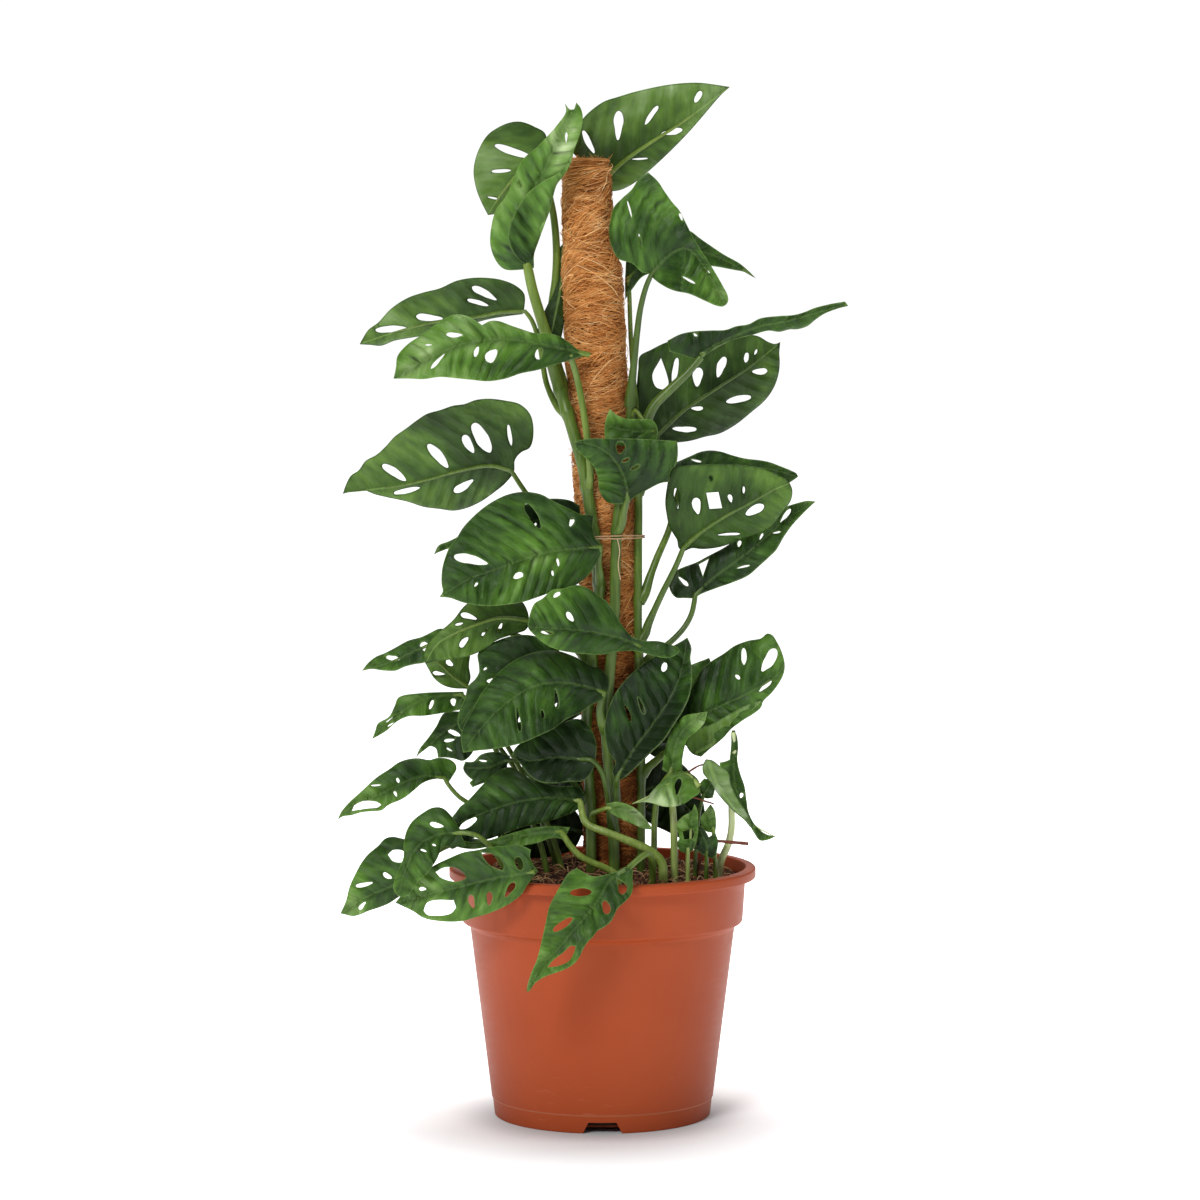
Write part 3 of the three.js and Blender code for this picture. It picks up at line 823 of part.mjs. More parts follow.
function blade(leaf, seed) {
  const { slide, ribPoints } = slideOf(leaf, seed);
  const edge = leaf.edge.map(([x, z]) => new THREE.Vector2(x, z));
  const holes = (leaf.holes ?? []).map(holeRing);
  const rings = [edge, ...holes];
  const points = rings.flat();
  const triangles = THREE.ShapeUtils.triangulateShape(edge, holes)
    .map(([a, b, c]) => (cross(points[a], points[b], points[c]) > 0 ? [a, b, c] : [a, c, b]));
  const fits = (point) => isInside(point, edge) && !holes.some((ring) => isInside(point, ring))
    && rings.every((ring) => distanceToRing(point, ring) > CLEAR_OF_EDGE);
  const inner = [];
  ribPoints.forEach((p) => {
    if (inner.every((other) => other.distanceTo(p) > GRID * 0.7)) inner.push(p);
  });
  const box = new THREE.Box2().setFromPoints(edge);
  for (let row = 0, y = box.min.y + GRID / 2; y < box.max.y; row += 1, y += GRID * 0.87) {
    for (let x = box.min.x + (row % 2 ? GRID / 2 : 0); x < box.max.x; x += GRID) {
      const point = new THREE.Vector2(x, y);
      if (inner.every((p) => p.distanceTo(point) > GRID * 0.55)) inner.push(point);
    }
  }
  inner.filter(fits).forEach((point) => addPoint(points, triangles, point));
  evenOut(points, triangles);

  const middle = points.map((p) => place([p.x, p.y, slide(p)]));
  const normals = points.map(() => new THREE.Vector3());
  triangles.forEach((t) => {
    const [a, b, c] = t.map((v) => middle[v]);
    const normal = b.clone().sub(a).cross(c.clone().sub(a)).normalize();
    t.forEach((v) => normals[v].add(normal));
  });
  const raised = (share) => middle.map((p, i) => p.clone()
    .addScaledVector(normals[i].clone().normalize(), share * BLADE / 2));
  const count = points.length;
  const directed = new Set(triangles.flatMap((t) => t.map((v, k) => `${v}_${t[(k + 1) % 3]}`)));
  const walls = triangles.flatMap((t) => t.flatMap((a, k) => {
    const b = t[(k + 1) % 3];
    return directed.has(`${b}_${a}`) ? [] : [[a, a + count, b + count], [a, b + count, b]];
  }));
  return solidOf(
    [...raised(1), ...raised(-1)],
    [...triangles, ...triangles.map(([a, b, c]) => [a + count, c + count, b + count]), ...walls],
  );
}

// Stems

function stemCurve({ path }) {
  return new THREE.CatmullRomCurve3(path.map(place), false, "centripetal");
}

function stemSolid({ path, radii }, extra = 0) {
  return rod(path.map(place), taper(radii, extra), STEM_SIDES);
}

// The first two points of a stalk: just off a stem's skin at a height, and a little way straight out from it.
function seatOnStem(name, height, toward) {
  const curve = stemCurve(STEMS[name]);
  let share = 0;
  while (share < 1 && curve.getPointAt(share).z < height) share += SEARCH_STEP;
  const centre = curve.getPointAt(share);
  const along = curve.getTangentAt(share);
  const outward = toward.clone().sub(centre);
  outward.addScaledVector(along, -outward.dot(along)).normalize();
  const seat = centre.clone().addScaledVector(outward, taper(STEMS[name].radii)(share) + GAP);
  return [seat, seat.clone().addScaledVector(outward, SEAT_LENGTH)];
}

function seatOnTip(name) {
  const curve = stemCurve(STEMS[name]);
  const along = curve.getTangentAt(1);
  const seat = curve.getPointAt(1).addScaledVector(along, GAP);
  return [seat, seat.clone().addScaledVector(along, SEAT_LENGTH)];
}

// A stalk's path, which ends a little way up the rib, within the blade.
function stalkPoints(leaf, seed) {
  const { stalk, rib } = leaf;
  const { slide, ribPoints } = slideOf(leaf, seed);
  const via = stalk.via.map(place);
  const joint = new THREE.Vector2(...(stalk.meets ?? rib[0]));
  const reach = ribPoints.find((p, i) => i > 0 && p.distanceTo(joint) > STALK_REACH
    && p.distanceTo(joint) < ribPoints[i - 1].distanceTo(joint) + STALK_REACH);
  const end = [joint, reach].map((p) => place([p.x, p.y, slide(p)]));
  if (stalk.on) return [...seatOnStem(stalk.on, stalk.at, via[0]), ...via, ...end];
  if (stalk.tip) return [...seatOnTip(stalk.tip), ...via, ...end];
  return [...via, ...end];
}

function leafSolid(leaf, seed) {
  const stalk = rod(stalkPoints(leaf, seed), taper(leaf.stalk.size));
  const whole = blade(leaf, seed).add(stalk);
  if (!leaf.fold) return whole;
  return whole.add(blade(leaf.fold, seed));
}

// Pot, soil and pole

function turned(profile) {
  return solidOfGeometry(new THREE.LatheGeometry(profile.map(([r, z]) => new THREE.Vector2(r, z)), TURNS)
    .rotateX(Math.PI / 2));
}

function prism(outline, length) {
  const shape = new THREE.Shape(outline.map(([x, y]) => new THREE.Vector2(x, y)));
  return new THREE.ExtrudeGeometry(shape, { depth: length, bevelEnabled: false });
}

const INNER_PROFILE = [
  [BASE_RADIUS - WALL, FLOOR_TOP],
  [BODY_TOP_RADIUS - WALL, BODY_TOP],
  [COLLAR_FOOT_RADIUS - WALL, COLLAR_FOOT + WALL],
  [COLLAR_RADIUS - WALL, RIM_UNDERSIDE],
];

function potSolid() {
  const ringInside = BASE_RADIUS - FOOT_RING_WIDTH;
  const outside = [
    [0, 0], [PAD_RADIUS, 0], [PAD_RADIUS + SOFTENING, FLOOR_UNDERSIDE],
    [ringInside - SOFTENING, FLOOR_UNDERSIDE], [ringInside, 0],
    [BASE_RADIUS, 0], [STEP_RADIUS, STEP_HEIGHT], [STEP_RADIUS + SOFTENING, STEP_HEIGHT + SOFTENING],
    [BODY_TOP_RADIUS, BODY_TOP], [BODY_TOP_RADIUS + SHOULDER, BODY_TOP + SHOULDER],
    [COLLAR_FOOT_RADIUS, COLLAR_FOOT], [COLLAR_RADIUS, RIM_UNDERSIDE], [RIM_RADIUS, RIM_UNDERSIDE],
    [RIM_RADIUS, RIM_TOP - SHOULDER], [RIM_RADIUS - SHOULDER, RIM_TOP], [COLLAR_RADIUS, RIM_TOP],
  ];
  let pot = turned([...outside, ...INNER_PROFILE.toReversed(), [0, FLOOR_TOP]]);
  for (let i = 0; i < NOTCH_COUNT; i += 1) {
    const outline = [
      [-NOTCH_FOOT_WIDTH / 2, -NOTCH_BELOW],
      [NOTCH_FOOT_WIDTH / 2, -NOTCH_BELOW],
      [NOTCH_TOP_WIDTH / 2, NOTCH_HEIGHT],
      [-NOTCH_TOP_WIDTH / 2, NOTCH_HEIGHT],
    ];
    const notch = prism(outline, NOTCH_DEPTH).rotateX(Math.PI / 2)
      .translate(0, -NOTCH_INSIDE, 0).rotateZ((2 * Math.PI * i) / NOTCH_COUNT);
    pot = pot.subtract(solidOfGeometry(notch));
  }
  return pot;
}

function poleCurve() {
  return new THREE.CatmullRomCurve3(POLE_AXIS.map((p) => new THREE.Vector3(...p)), false, "centripetal");
}

function poleRadius(z, extra = 0) {
  const heights = POLE_AXIS.map((p) => p[2]);
  const i = Math.min(Math.max(heights.findIndex((h) => h > z), 1), heights.length - 1);
  const upper = z > heights.at(-1) ? heights.length - 1 : i;
  const share = THREE.MathUtils.clamp((z - heights[upper - 1]) / (heights[upper] - heights[upper - 1]), 0, 1);
  return POLE_RADII[upper - 1] + (POLE_RADII[upper] - POLE_RADII[upper - 1]) * share + extra;
}

function poleSolid(extra = 0) {
  const curve = poleCurve();
  return rod(POLE_AXIS.map((p) => new THREE.Vector3(...p)), (share) => {
    const z = curve.getPointAt(share).z;
    return poleRadius(z, extra) - (share === 1 ? POLE_TOP_DRAWN_IN : 0);
  }, POLE_SIDES, POLE_STEP);
}

function stakeSolid(extra = 0) {
  const ends = [STAKE_FOOT, STAKE_HEAD].map((p) => new THREE.Vector3(...p));
  return rod(ends, () => STAKE_RADIUS + extra, STAKE_SIDES, ends[0].distanceTo(ends[1]) / 2);
}

// Soil that fills the pot, just clear of its wall, and is heaped a little in the middle.
function soilSolid(stuckIn) {
  const wall = INNER_PROFILE.map(([r, z]) => [r - SOIL_CLEARANCE, z]);
  const brim = wall.at(-1)[0];
  const soil = turned([
    [0, FLOOR_TOP + SOIL_CLEARANCE], [wall[0][0], FLOOR_TOP + SOIL_CLEARANCE], wall[1], wall[2],
    [brim, SOIL_EDGE - SOIL_ROUNDING], [brim - SOIL_ROUNDING, SOIL_EDGE],
    ...SOIL_HEAP, [0, SOIL_CROWN],
  ]);
  return stuckIn.reduce((rest, solid) => rest.subtract(solid), soil);
}

function tieSolid() {
  const loop = TIE.map(([x, front]) => new THREE.Vector3(x, -front, TIE_HEIGHT));
  return rod(loop, () => TIE_RADIUS, STALK_SIDES, TIE_STEP);
}

function meshOf(name, solid, color, roughness) {
  const { vertProperties, triVerts } = solid.getMesh();
  const geometry = new THREE.BufferGeometry();
  geometry.setAttribute("position", new THREE.BufferAttribute(new Float32Array(vertProperties), 3));
  geometry.setIndex(new THREE.BufferAttribute(new Uint32Array(triVerts), 1));
  geometry.computeVertexNormals();
  const mesh = new THREE.Mesh(geometry, new THREE.MeshStandardMaterial({ color, roughness, metalness: 0 }));
  mesh.name = name;
  return mesh;
}

const plant = new THREE.Group();
const names = Object.keys(LEAVES);
const seedOf = (name) => (names.indexOf(name) * SEED_STEP) % 1;

const rooted = names.filter((name) => !LEAVES[name].stalk.on && !LEAVES[name].stalk.tip);
const soilHoles = [
  poleSolid(GAP),
  stakeSolid(GAP),
  ...Object.values(STEMS).map((stem) => stemSolid(stem, GAP)),
  ...rooted.map((name) => {
    const leaf = LEAVES[name];
    return rod(stalkPoints(leaf, seedOf(name)), taper(leaf.stalk.size, GAP));
  }),
  rod(TWIG.map(place), () => TWIG_RADIUS + GAP),
];

plant.add(meshOf("pot", potSolid(), COLOURS.pot, 0.5));
plant.add(meshOf("soil", soilSolid(soilHoles), COLOURS.soil, 1));
plant.add(meshOf("pole_coir", poleSolid().subtract(stakeSolid(GAP)), COLOURS.coir, 1));
plant.add(meshOf("pole_stake", stakeSolid(), COLOURS.stake, 0.8));
plant.add(meshOf("tie", tieSolid(), COLOURS.tie, 0.6));
plant.add(meshOf("twig", rod(TWIG.map(place), () => TWIG_RADIUS), COLOURS.twig, 0.9));
for (const [name, stem] of Object.entries(STEMS)) {
  plant.add(meshOf(name, stemSolid(stem), COLOURS.stem, 0.6));
}
for (const name of names) {
  plant.add(meshOf(`leaf_${name}`, leafSolid(LEAVES[name], seedOf(name)), COLOURS.leaf, 0.5));
}

export default plant;
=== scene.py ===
import math
import random

import bpy
import numpy as np
from mathutils import Euler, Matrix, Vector, noise
from mathutils.geometry import delaunay_2d_cdt


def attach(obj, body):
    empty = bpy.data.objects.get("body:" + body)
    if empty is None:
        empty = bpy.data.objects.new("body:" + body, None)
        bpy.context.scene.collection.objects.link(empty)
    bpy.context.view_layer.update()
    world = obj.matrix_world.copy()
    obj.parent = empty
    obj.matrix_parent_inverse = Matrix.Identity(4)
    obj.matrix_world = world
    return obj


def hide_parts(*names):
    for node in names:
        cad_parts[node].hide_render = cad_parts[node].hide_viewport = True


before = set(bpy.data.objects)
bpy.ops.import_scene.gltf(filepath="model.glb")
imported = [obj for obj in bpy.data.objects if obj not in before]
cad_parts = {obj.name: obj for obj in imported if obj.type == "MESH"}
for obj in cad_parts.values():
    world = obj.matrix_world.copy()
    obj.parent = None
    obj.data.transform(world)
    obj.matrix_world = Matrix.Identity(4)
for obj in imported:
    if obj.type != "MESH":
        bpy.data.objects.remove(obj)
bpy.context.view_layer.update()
random.seed(11)

# All sizes in the tables are millimetres; a mesh is turned to metres when it is made.
MM = 0.001
# A full turn, as random directions take it
ALL_ROUND = 6.28

# The eye, for which the leaves are laid out
EYE_DISTANCE = 2400
EYE_HEIGHT = 480
EYE_SIDE = -1.5
EYE_PITCH = math.radians(86.18)
SENSOR_WIDTH = 36
LENS = 116.87

# Pot: half profiles as radius, height and how far a corner is rounded, and the drain notches at the foot
POT_TURNS = 180
POT_OUTSIDE = [
    (0, 0, 0), (14, 0, 0.3), (14.6, 2.2, 0.3), (61.4, 2.2, 0.3), (62, 0, 0.5), (67, 0, 0.9), (68.2, 10.9, 0.5),
    (68.8, 11.5, 0.5), (82, 117.4, 1.2), (83.4, 119.4, 1.2), (86.9, 121, 1.2), (88.7, 148.4, 1.2),
    (95, 148.4, 0.9), (95, 154.2, 1.3), (93, 155, 1), (88.7, 155, 1),
]
POT_INSIDE = [(87, 148.4, 1), (85.2, 122.7, 1), (80.3, 118, 1), (65.3, 4.2, 1.5), (0, 4.2, 0)]
STEP_HEIGHT = 11.2
NOTCH_COUNT = 3
NOTCH_OUTLINE = [(-12.5, -1), (12.5, -1), (8.5, 7), (-8.5, 7)]
NOTCH_DEPTHS = (57, 69)
SHARP_EDGE = math.radians(40)

# Soil: half profile up the wall, the top's heap, and the crumbs and straws on it
SOIL_TURNS = 120
SOIL_WALL = [(0, 4.7), (64.8, 4.7), (79.8, 118), (84.7, 122.7), (86.4, 146)]
SOIL_HEAP = [(85.5, 147.6), (60, 150.6), (30, 153), (0, 153.6)]
SOIL_TOP_ROWS = 44
SOIL_TOP_RADIUS = 86.2
SOIL_TOP_FROM = 147
CRUMBS_PER_SQUARE_METRE = 190000.0
CRUMB_SIZES = (0.6, 1.8)
STRAW_COUNT = 420
STRAW_SPREAD = 84
STRAW_REACH = 85.5
STRAW_LENGTHS = (4, 17)
STRAW_LIFTS = (0.2, 3.5)
STRAW_RADII = (0.18, 0.42)

# Pole: x of the centre line, height and radius
POLE = [(7, 96, 17.6), (7, 150, 18.4), (6, 240, 18.6), (4.5, 318, 18.2), (-0.5, 415, 18.4), (-4.5, 476, 18.8),
        (-6.2, 524, 18.6), (-9, 536, 15.6), (-9.8, 591, 14.6)]
POLE_TOP = 591
POLE_RADIUS = 18
CORE_SIDES = 72
CORE_ROWS = 180
CORE_FOOT = 100
CORE_TOP = POLE_TOP - 1.2
# The coir is painted darker low down: painted shade, where the leaves above shade the pole
LOW_SHADE_SHARE = 0.45
LOW_SHADE_UP_TO = 350
LOW_SHADE_FADE = 130

# Winding: the heights of its three parts and their strands, then hairs that stand off, loose fibres, strands
# across the top and frayed ends
WINDING_PARTS = [(140, 290), (290, 440), (440, POLE_TOP)]
STRAND_COUNT = 3600
STRAND_LENGTHS = (16, 46)
STRAND_LIFTS = (0.2, 2.0)
STRAND_RADII = (0.13, 0.26)
HAIR_COUNT, HAIR_LENGTHS, HAIR_RADIUS = 900, (1.5, 6.5), 0.15
LOOSE_COUNT, LOOSE_LENGTHS, LOOSE_RADIUS = 34, (14, 34), 0.24
TOP_COUNT, TOP_HALF_LENGTHS, TOP_RADIUS = 700, (3, 8), 0.2
FRAYED_COUNT, FRAYED_LENGTHS, FRAYED_RADIUS = 50, (3, 7), 0.16
TAPER = 0.014

# Tie: x and front of the thread round the stems and the pole, and x, y and z of its loose end
TIE_HEIGHT = 359
TIE_STEP = 2.0
TIE_RADIUS, TIE_END_RADIUS = 0.42, 0.3
TIE = [(2, -19.5), (-8, -16.5), (-15, -9), (-17.6, 0), (-15.5, 12), (-10.8, 23), (-5.5, 26), (2, 26.8),
       (9, 27.4), (16, 23.5), (22.5, 16), (25.9, 10), (22.5, -2), (17.5, -12.5), (10.5, -18), (3.6, -19.6)]
TIE_END = [(9, -27.6, 359.2), (10.5, -28.6, 352), (9.6, -28.4, 343), (11, -29, 334)]

# Aerial roots and the twig, as x, z and front, the slide towards the eye
ROOTLETS = [
    [(45, 197, 39), (51, 197.6, 39), (57, 197, 40), (63, 195, 39), (69, 193.2, 38)],
    [(50, 211, 37), (54, 213.5, 38), (60, 217, 38), (66, 218.2, 38)],
]
TWIG = [(56, 139, 25), (62, 161, 27), (69, 169.3, 29), (80, 169.2, 30), (90.5, 168.3, 30)]

# Stems: radius at the foot and at the tip, and x, z and front along each
STEMS = {
    "stem_left": {"radii": (3.2, 3.8), "path": [
        (-7, 122, 21), (-7, 175, 21), (-8, 205, 21), (-10, 240, 21), (-7, 270, 21), (-6, 300, 21),
        (-2, 325, 21), (-4, 345, 21), (-6, 365, 21), (-9, 385, 21), (-12, 402, 20), (-17, 420, 18),
        (-23, 440, 14), (-28, 455, 11), (-31, 466, 11)]},
    "stem_centre": {"radii": (3.4, 3.2), "path": [
        (8, 122, 24), (7, 170, 23), (6, 195, 23), (4, 215, 23), (2.5, 235, 23), (3, 255, 23), (5, 280, 23),
        (7.5, 310, 23), (8, 340, 23), (9, 365, 23), (11, 385, 23), (12, 397, 22.5)]},
    "stem_right": {"radii": (2.6, 2.5), "path": [
        (24, 122, 14), (24, 180, 14), (24, 230, 14), (23, 270, 14), (22, 300, 13), (22, 330, 13),
        (22, 350, 11), (22, 385, 8), (20, 410, 10), (17.5, 430, 13), (17, 440, 14)]},
    "stem_back": {"radii": (3.2, 2.6), "path": [
        (2, 122, -27), (2, 300, -25.5), (-2, 420, -25.5), (-5, 500, -24.5), (-6, 548, -21.5)]},
}

# Leaf blades: thickness in the middle and at the margin, and the waves of the margin
BLADE = 0.7
MARGIN_BLADE = 0.3
WAVE = 1.1
WAVES_ALONG = 3.4
# How finely a blade is cut into triangles, and from which turn a corner of its outline stays sharp
MESH_STEP = 1.9
EDGE_STEP = 1.4
ROW_SHARE = 0.87
CORNER = math.radians(58)
# Side veins, and the relief of a blade: the pillows between the veins, the groove along the rib, soft swells
# and the ripple near the margin, each in height, the last three also in width
VEIN_SPACING = 8.5
VEIN_SLANT = 0.55
VEIN_CURVE = 0.006
RIGHT_VEINS_SHIFT = 0.37
QUILTING = 1.1
GROOVE, GROOVE_WIDTH = 0.9, 1.6
SWELLS, SWELL_WIDTH = 2.0, 17
RIPPLE, RIPPLE_WIDTH = 0.7, 7
# How light a green is, from 0 deep to 1 pale, where a leaf says nothing of its own
ORDINARY_TONE = 0.3
STEM_TONE = 0.38

# Sides of the rods that stand for stalks, stems and threads, and the steps along them
STALK_SIDES, STEM_SIDES, TWIG_SIDES, ROOT_SIDES, TIE_SIDES, STRAW_SIDES, STRAND_SIDES = 10, 14, 8, 7, 6, 4, 3
PATH_STEP = 1.5
STALK_STEP = 3.0
# A stalk is thicker where it leaves its stem, over its first points
FLARE = [1.45 - 0.065 * i for i in range(7)]

LEAVES = {}


def leaf(name, **traits):
    """Enters a leaf in the table. edge is the outline and rib the midrib from base to tip, as x,z pairs.
    front holds the slide towards the eye of the base, the tip, the margin left of the rib, the margin right
    of it, and the bow between base and tip. A hole is x, z, x, z, width from its narrow to its wide end, or
    an outline of its own. underside says that this side shows from the front, and tone how light the green
    is. fold and wings are further panels. A stalk runs via points of x, z and front, from a stem at a
    height, from a stem's tip or from the soil, and meets the rib at its base or at a point of its own."""
    LEAVES[name] = traits


# A leaf's tone is partly its own green and partly painted light and shade: leaves that others shade are set
# darker, leaves in the light paler
leaf("crown_right", tone=0.54, underside=True, front=(-26, 2, 34, -8, 3),
    edge=(-19,596, -18,604, -12,615, 0,625, 10,628.5, 22,632, 42,636, 58,637, 68,636, 78,634.5, 72,629, 60,615,
        52,606, 38,592, 28,583, 17,574.5, 7,571, -6,574, -10,586),
    rib=(4,581, 14,590, 30,601, 46,611, 60,621, 77,634),
    holes=[(-5, 594, -12, 608, 4), (9.5, 602, 10, 620, 6), (26, 611.5, 34, 623, 3.6),
        (56.5, 625, 60.5, 632, 4), (36, 606, 49, 608.5, 4), (18, 590.5, 28, 591, 1.4)],
    stalk=dict(on="stem_back", at=532, via=[(-1, 552, -27), (3, 572, -27.5)], size=(2.2, 1.6)))
leaf("crown_front", tone=0.54, front=(17, 42, -8, 0, 0),
    edge=(-42,524, -50,523, -60,523.3, -65,528, -68.7,538, -68,550, -65,560, -59,568, -55,578, -49,590,
        -40,598, -28,611, -22.3,619.5, -23,624.5, -20,620.8, -17.3,621, -16,625, -13.5,622, -12,616, -13.5,607,
        -17,597, -20,587, -24,580, -28,575, -32,560, -35,552, -39,541, -42,532),
    rib=(-46,525, -50,545, -44,567, -32,592, -19,619),
    holes=[(-22.3, 600.5, -22, 607, 1.6), (-49.5, 573, -51.5, 578, 1.2)],
    fold=dict(tone=0.5, front=(17, 41, 10, 0, 0),
        edge=(-42,525, -47,526, -53,531, -57,538, -57.5,547, -53,559, -46,569.5, -37,576.5, -26,583, -20.5,590,
            -16.8,599, -19.5,588, -24,580, -28,575, -32,560, -35,552, -39,541, -42,532),
        rib=(-42,526, -36,550, -28,573, -17,598)),
    stalk=dict(tip="stem_left", via=[(-33.5, 479, 13), (-38, 494, 15), (-43, 511, 15)], size=(3.8, 3.1)))
leaf("crown_back", tone=0.6, underside=True, front=(-3, -34, -6, 11, 3),
    edge=(-35,606, -41,610, -50,613.3, -57,612.7, -64,609.7, -70,605.5, -75,598, -78,590, -79,582, -77.5,573,
        -75,566, -70.2,556.4, -65,557, -55,556, -45,562, -38,576, -34,592),
    rib=(-37,598, -48,586, -60,572, -69.5,558),
    holes=[(-43, 591.5, -66, 599, 4.6), (-56, 583.7, -68, 583, 2.6), (-63, 566, -70.5, 567.5, 1.4)],
    wings=dict(tone=0.08, underside=True, front=(-2, 6, -1, 2, 0),
        edge=(-22.5,541, -25,538, -27.4,534, -26.4,526, -26.8,517.5, -30,509, -35,499, -39.5,488, -40.5,478,
            -33,473, -27.5,476, -23.8,489, -22.2,505, -21.6,525),
        rib=(-24,539, -24.6,520, -28,500, -33,476)),
    stalk=dict(on="stem_left", at=450, via=[(-28.5, 468, 0), (-30.5, 485, 0), (-31, 500, 0), (-28.8, 517, -1),
        (-28.2, 535, -1), (-30, 556, -2), (-35, 580, -3)], size=(2.9, 1.9)))
leaf("upper_right", tone=0.46, front=(24, 36, -13, 14, 4),
    edge=(29,521, 25,521, 18,527, 10,529.5, 6,536, 4,545, 5,554, 7,561, 12,566.5, 18,572, 22,578, 28,582.5,
        34,577, 38,571, 43,564, 47,559.5, 51,552, 55,544, 60.5,535, 66,526.5, 70,520, 74,513, 77,507, 77,503,
        74,500.5, 70,501, 63,504, 54,508, 43,510.5, 36,514, 31,518),
    rib=(30,520, 40,531, 50,536, 58,531, 67,517, 75,503),
    holes=[(49, 553, 47.2, 557.5, 2), (24, 537, 22.3, 545, 1.2), (18, 555, 15.3, 565, 1.2),
        (49, 519, 57, 514.5, 1.8), (62, 524, 66, 521, 1.2)],
    stalk=dict(tip="stem_right", via=[(19, 462, 16), (21, 482, 18), (23.5, 500, 20), (27, 513, 22)],
        size=(2.5, 1.6), tone=0.25))
leaf("upper_right_back", tone=0.35, front=(-5, -45, -10, 6, 0),
    edge=(14,505, 19,512, 25,519, 40,523, 56,526, 69,525, 80,523, 88,521.3, 94.5,517.5, 89.5,522.5, 84,527,
        75,532, 68,536.5, 60,542, 53,547, 40,550, 26,546, 16,534, 14,520),
    rib=(16,518, 40,537, 70,531, 93,518.5),
    stalk=dict(on="stem_right", at=422, via=[(21, 436, 5), (19.3, 455, -2), (17.5, 480, -5), (16.5, 508, -5)],
        size=(1.7, 1.4)))
leaf("upper_left_back", tone=0.37, underside=True, front=(-2, -48, -6, 17, 0),
    edge=(-48,500, -48,508, -53,513, -62,516.7, -72,518, -81,517.8, -90,516, -100,511.5, -110,509, -120,505.5,
        -130,499, -138,490.5, -144,486, -149.3,477.3, -143,477, -136,476.5, -128,479.5, -120,481, -108,483,
        -92,487, -80,490, -70,492.7, -58,494.7, -49,495.8),
    rib=(-47.5,497.5, -62,497, -76,494.3, -100,491.5, -125,485.5, -148,478),
    holes=[(-65, 504.5, -80, 512.5, 5), (-70, 501, -83, 504.7, 3.2), (-98, 493, -114.5, 494.5, 4.6),
        (-120, 487, -139.5, 486, 4.8)],
    stalk=dict(on="stem_left", at=437, via=[(-34, 452, 4), (-38, 474, 0), (-41, 486, -1), (-44, 493, -2)],
        size=(2, 1.4)))
leaf("upper_left", tone=0.46, front=(28, 50, 13, -11, 8),
    edge=(-6,471.5, -14,473.5, -20,478, -26,482, -33,484, -41,484, -48,486, -56,488.7, -64,491.5, -69,491.5,
        -74,489, -79,492.5, -84,494.8, -91,495.5, -97,493, -103,489, -112,482.5, -120,477, -126,470, -127,463,
        -128.5,456.2, -120,456.3, -110,456, -100,457.3, -90,456.5, -80,455.5, -70,454.7, -60,456.2, -50,459.5,
        -40,461.5, -30,464.5, -20,467.5),
    rib=(-8,470.8, -25,474.5, -42,478, -60,480.5, -76,479.5, -92,475.5, -110,467, -127.5,457),
    holes=[(-38, 475, -40, 468, 5.2), (-65, 474, -71, 466.7, 7), (-76.3, 476, -78.5, 469.5, 3),
        (-97, 471.5, -105.5, 462.3, 2.4), (-86, 483, -96, 483.3, 3.4), (-104.5, 477, -109, 477, 1.2)],
    stalk=dict(on="stem_left", at=392, via=[(-8, 408, 28), (-9.5, 421, 27), (-12.5, 441, 26), (-16, 458, 26)],
        size=(2.4, 1.9), meets=(-20, 471.5)))
leaf("mid_left_back", tone=0.39, underside=True, front=(-4, -58, -14, 20, 0),
    edge=(-54.5,399, -54,406, -50,411, -45,413.5, -43,418, -42.7,428, -45,435, -51,440.5, -60,442.7, -70,443.8,
        -78,443, -85,440.5, -92,439.5, -100,436.8, -108,434.5, -115,430, -121,425.5, -128,420.5, -133,415,
        -139,409.5, -146,405.5, -150,400, -155,396.5, -158,391, -160,385.3, -154,386.8, -147,387.5, -140,385,
        -133,383.3, -120,380.5, -110,377.3, -100,376, -92,375, -84,376.5, -75,380.5, -67,386, -60,391.7),
    rib=(-56,399.3, -66,402.3, -76,402, -92,398.5, -108,394, -124,390.5, -142,388, -158.5,386.2),
    holes=[(-69, 410.8, -79.5, 428.8, 9), (-79.3, 410.5, -85.5, 421.5, 5.8), (-56, 415, -58, 428, 2.8),
        (-95, 401.5, -107.5, 415.8, 6.6), (-121, 393.5, -135.5, 403.3, 5.6), (-79.5, 394, -91.5, 386.5, 5.2),
        (-112.5, 389.2, -128.5, 385.6, 3.6)],
    stalk=dict(on="stem_back", at=345, via=[(-12, 353, -27), (-28, 363, -22), (-42, 379, -12), (-50, 390, -6)],
        size=(2.2, 1.5)))
leaf("rolled", tone=0.17, front=(16, 58, -3, -5, 0),
    edge=(41,473, 40,479.5, 48,483.5, 56,485.2, 66,485.8, 76,486.2, 82,488.3, 90,489.7, 97,493.2, 109,494.7,
        117,495.2, 124,497, 130,499.5, 140,502, 149,503.5, 151,500.8, 145,499.3, 137,496.3, 131,492.5,
        126,488.5, 120,486.6, 115,486.5, 109,485, 102,485.7, 92,483, 80,479.8, 70,475.5, 64,471, 58,468.3,
        50,470.5),
    rib=(60,470.5, 70,477, 85,484, 97,488.5, 115,492, 150,502),
    holes=[(56, 484, 58.3, 482, 1.8)],
    stalk=dict(on="stem_right", at=408, via=[(25, 422, 16), (31, 438.5, 16), (42, 450, 16), (53, 460.5, 16)],
        size=(3.9, 2.2), meets=(60.5, 469.5)))
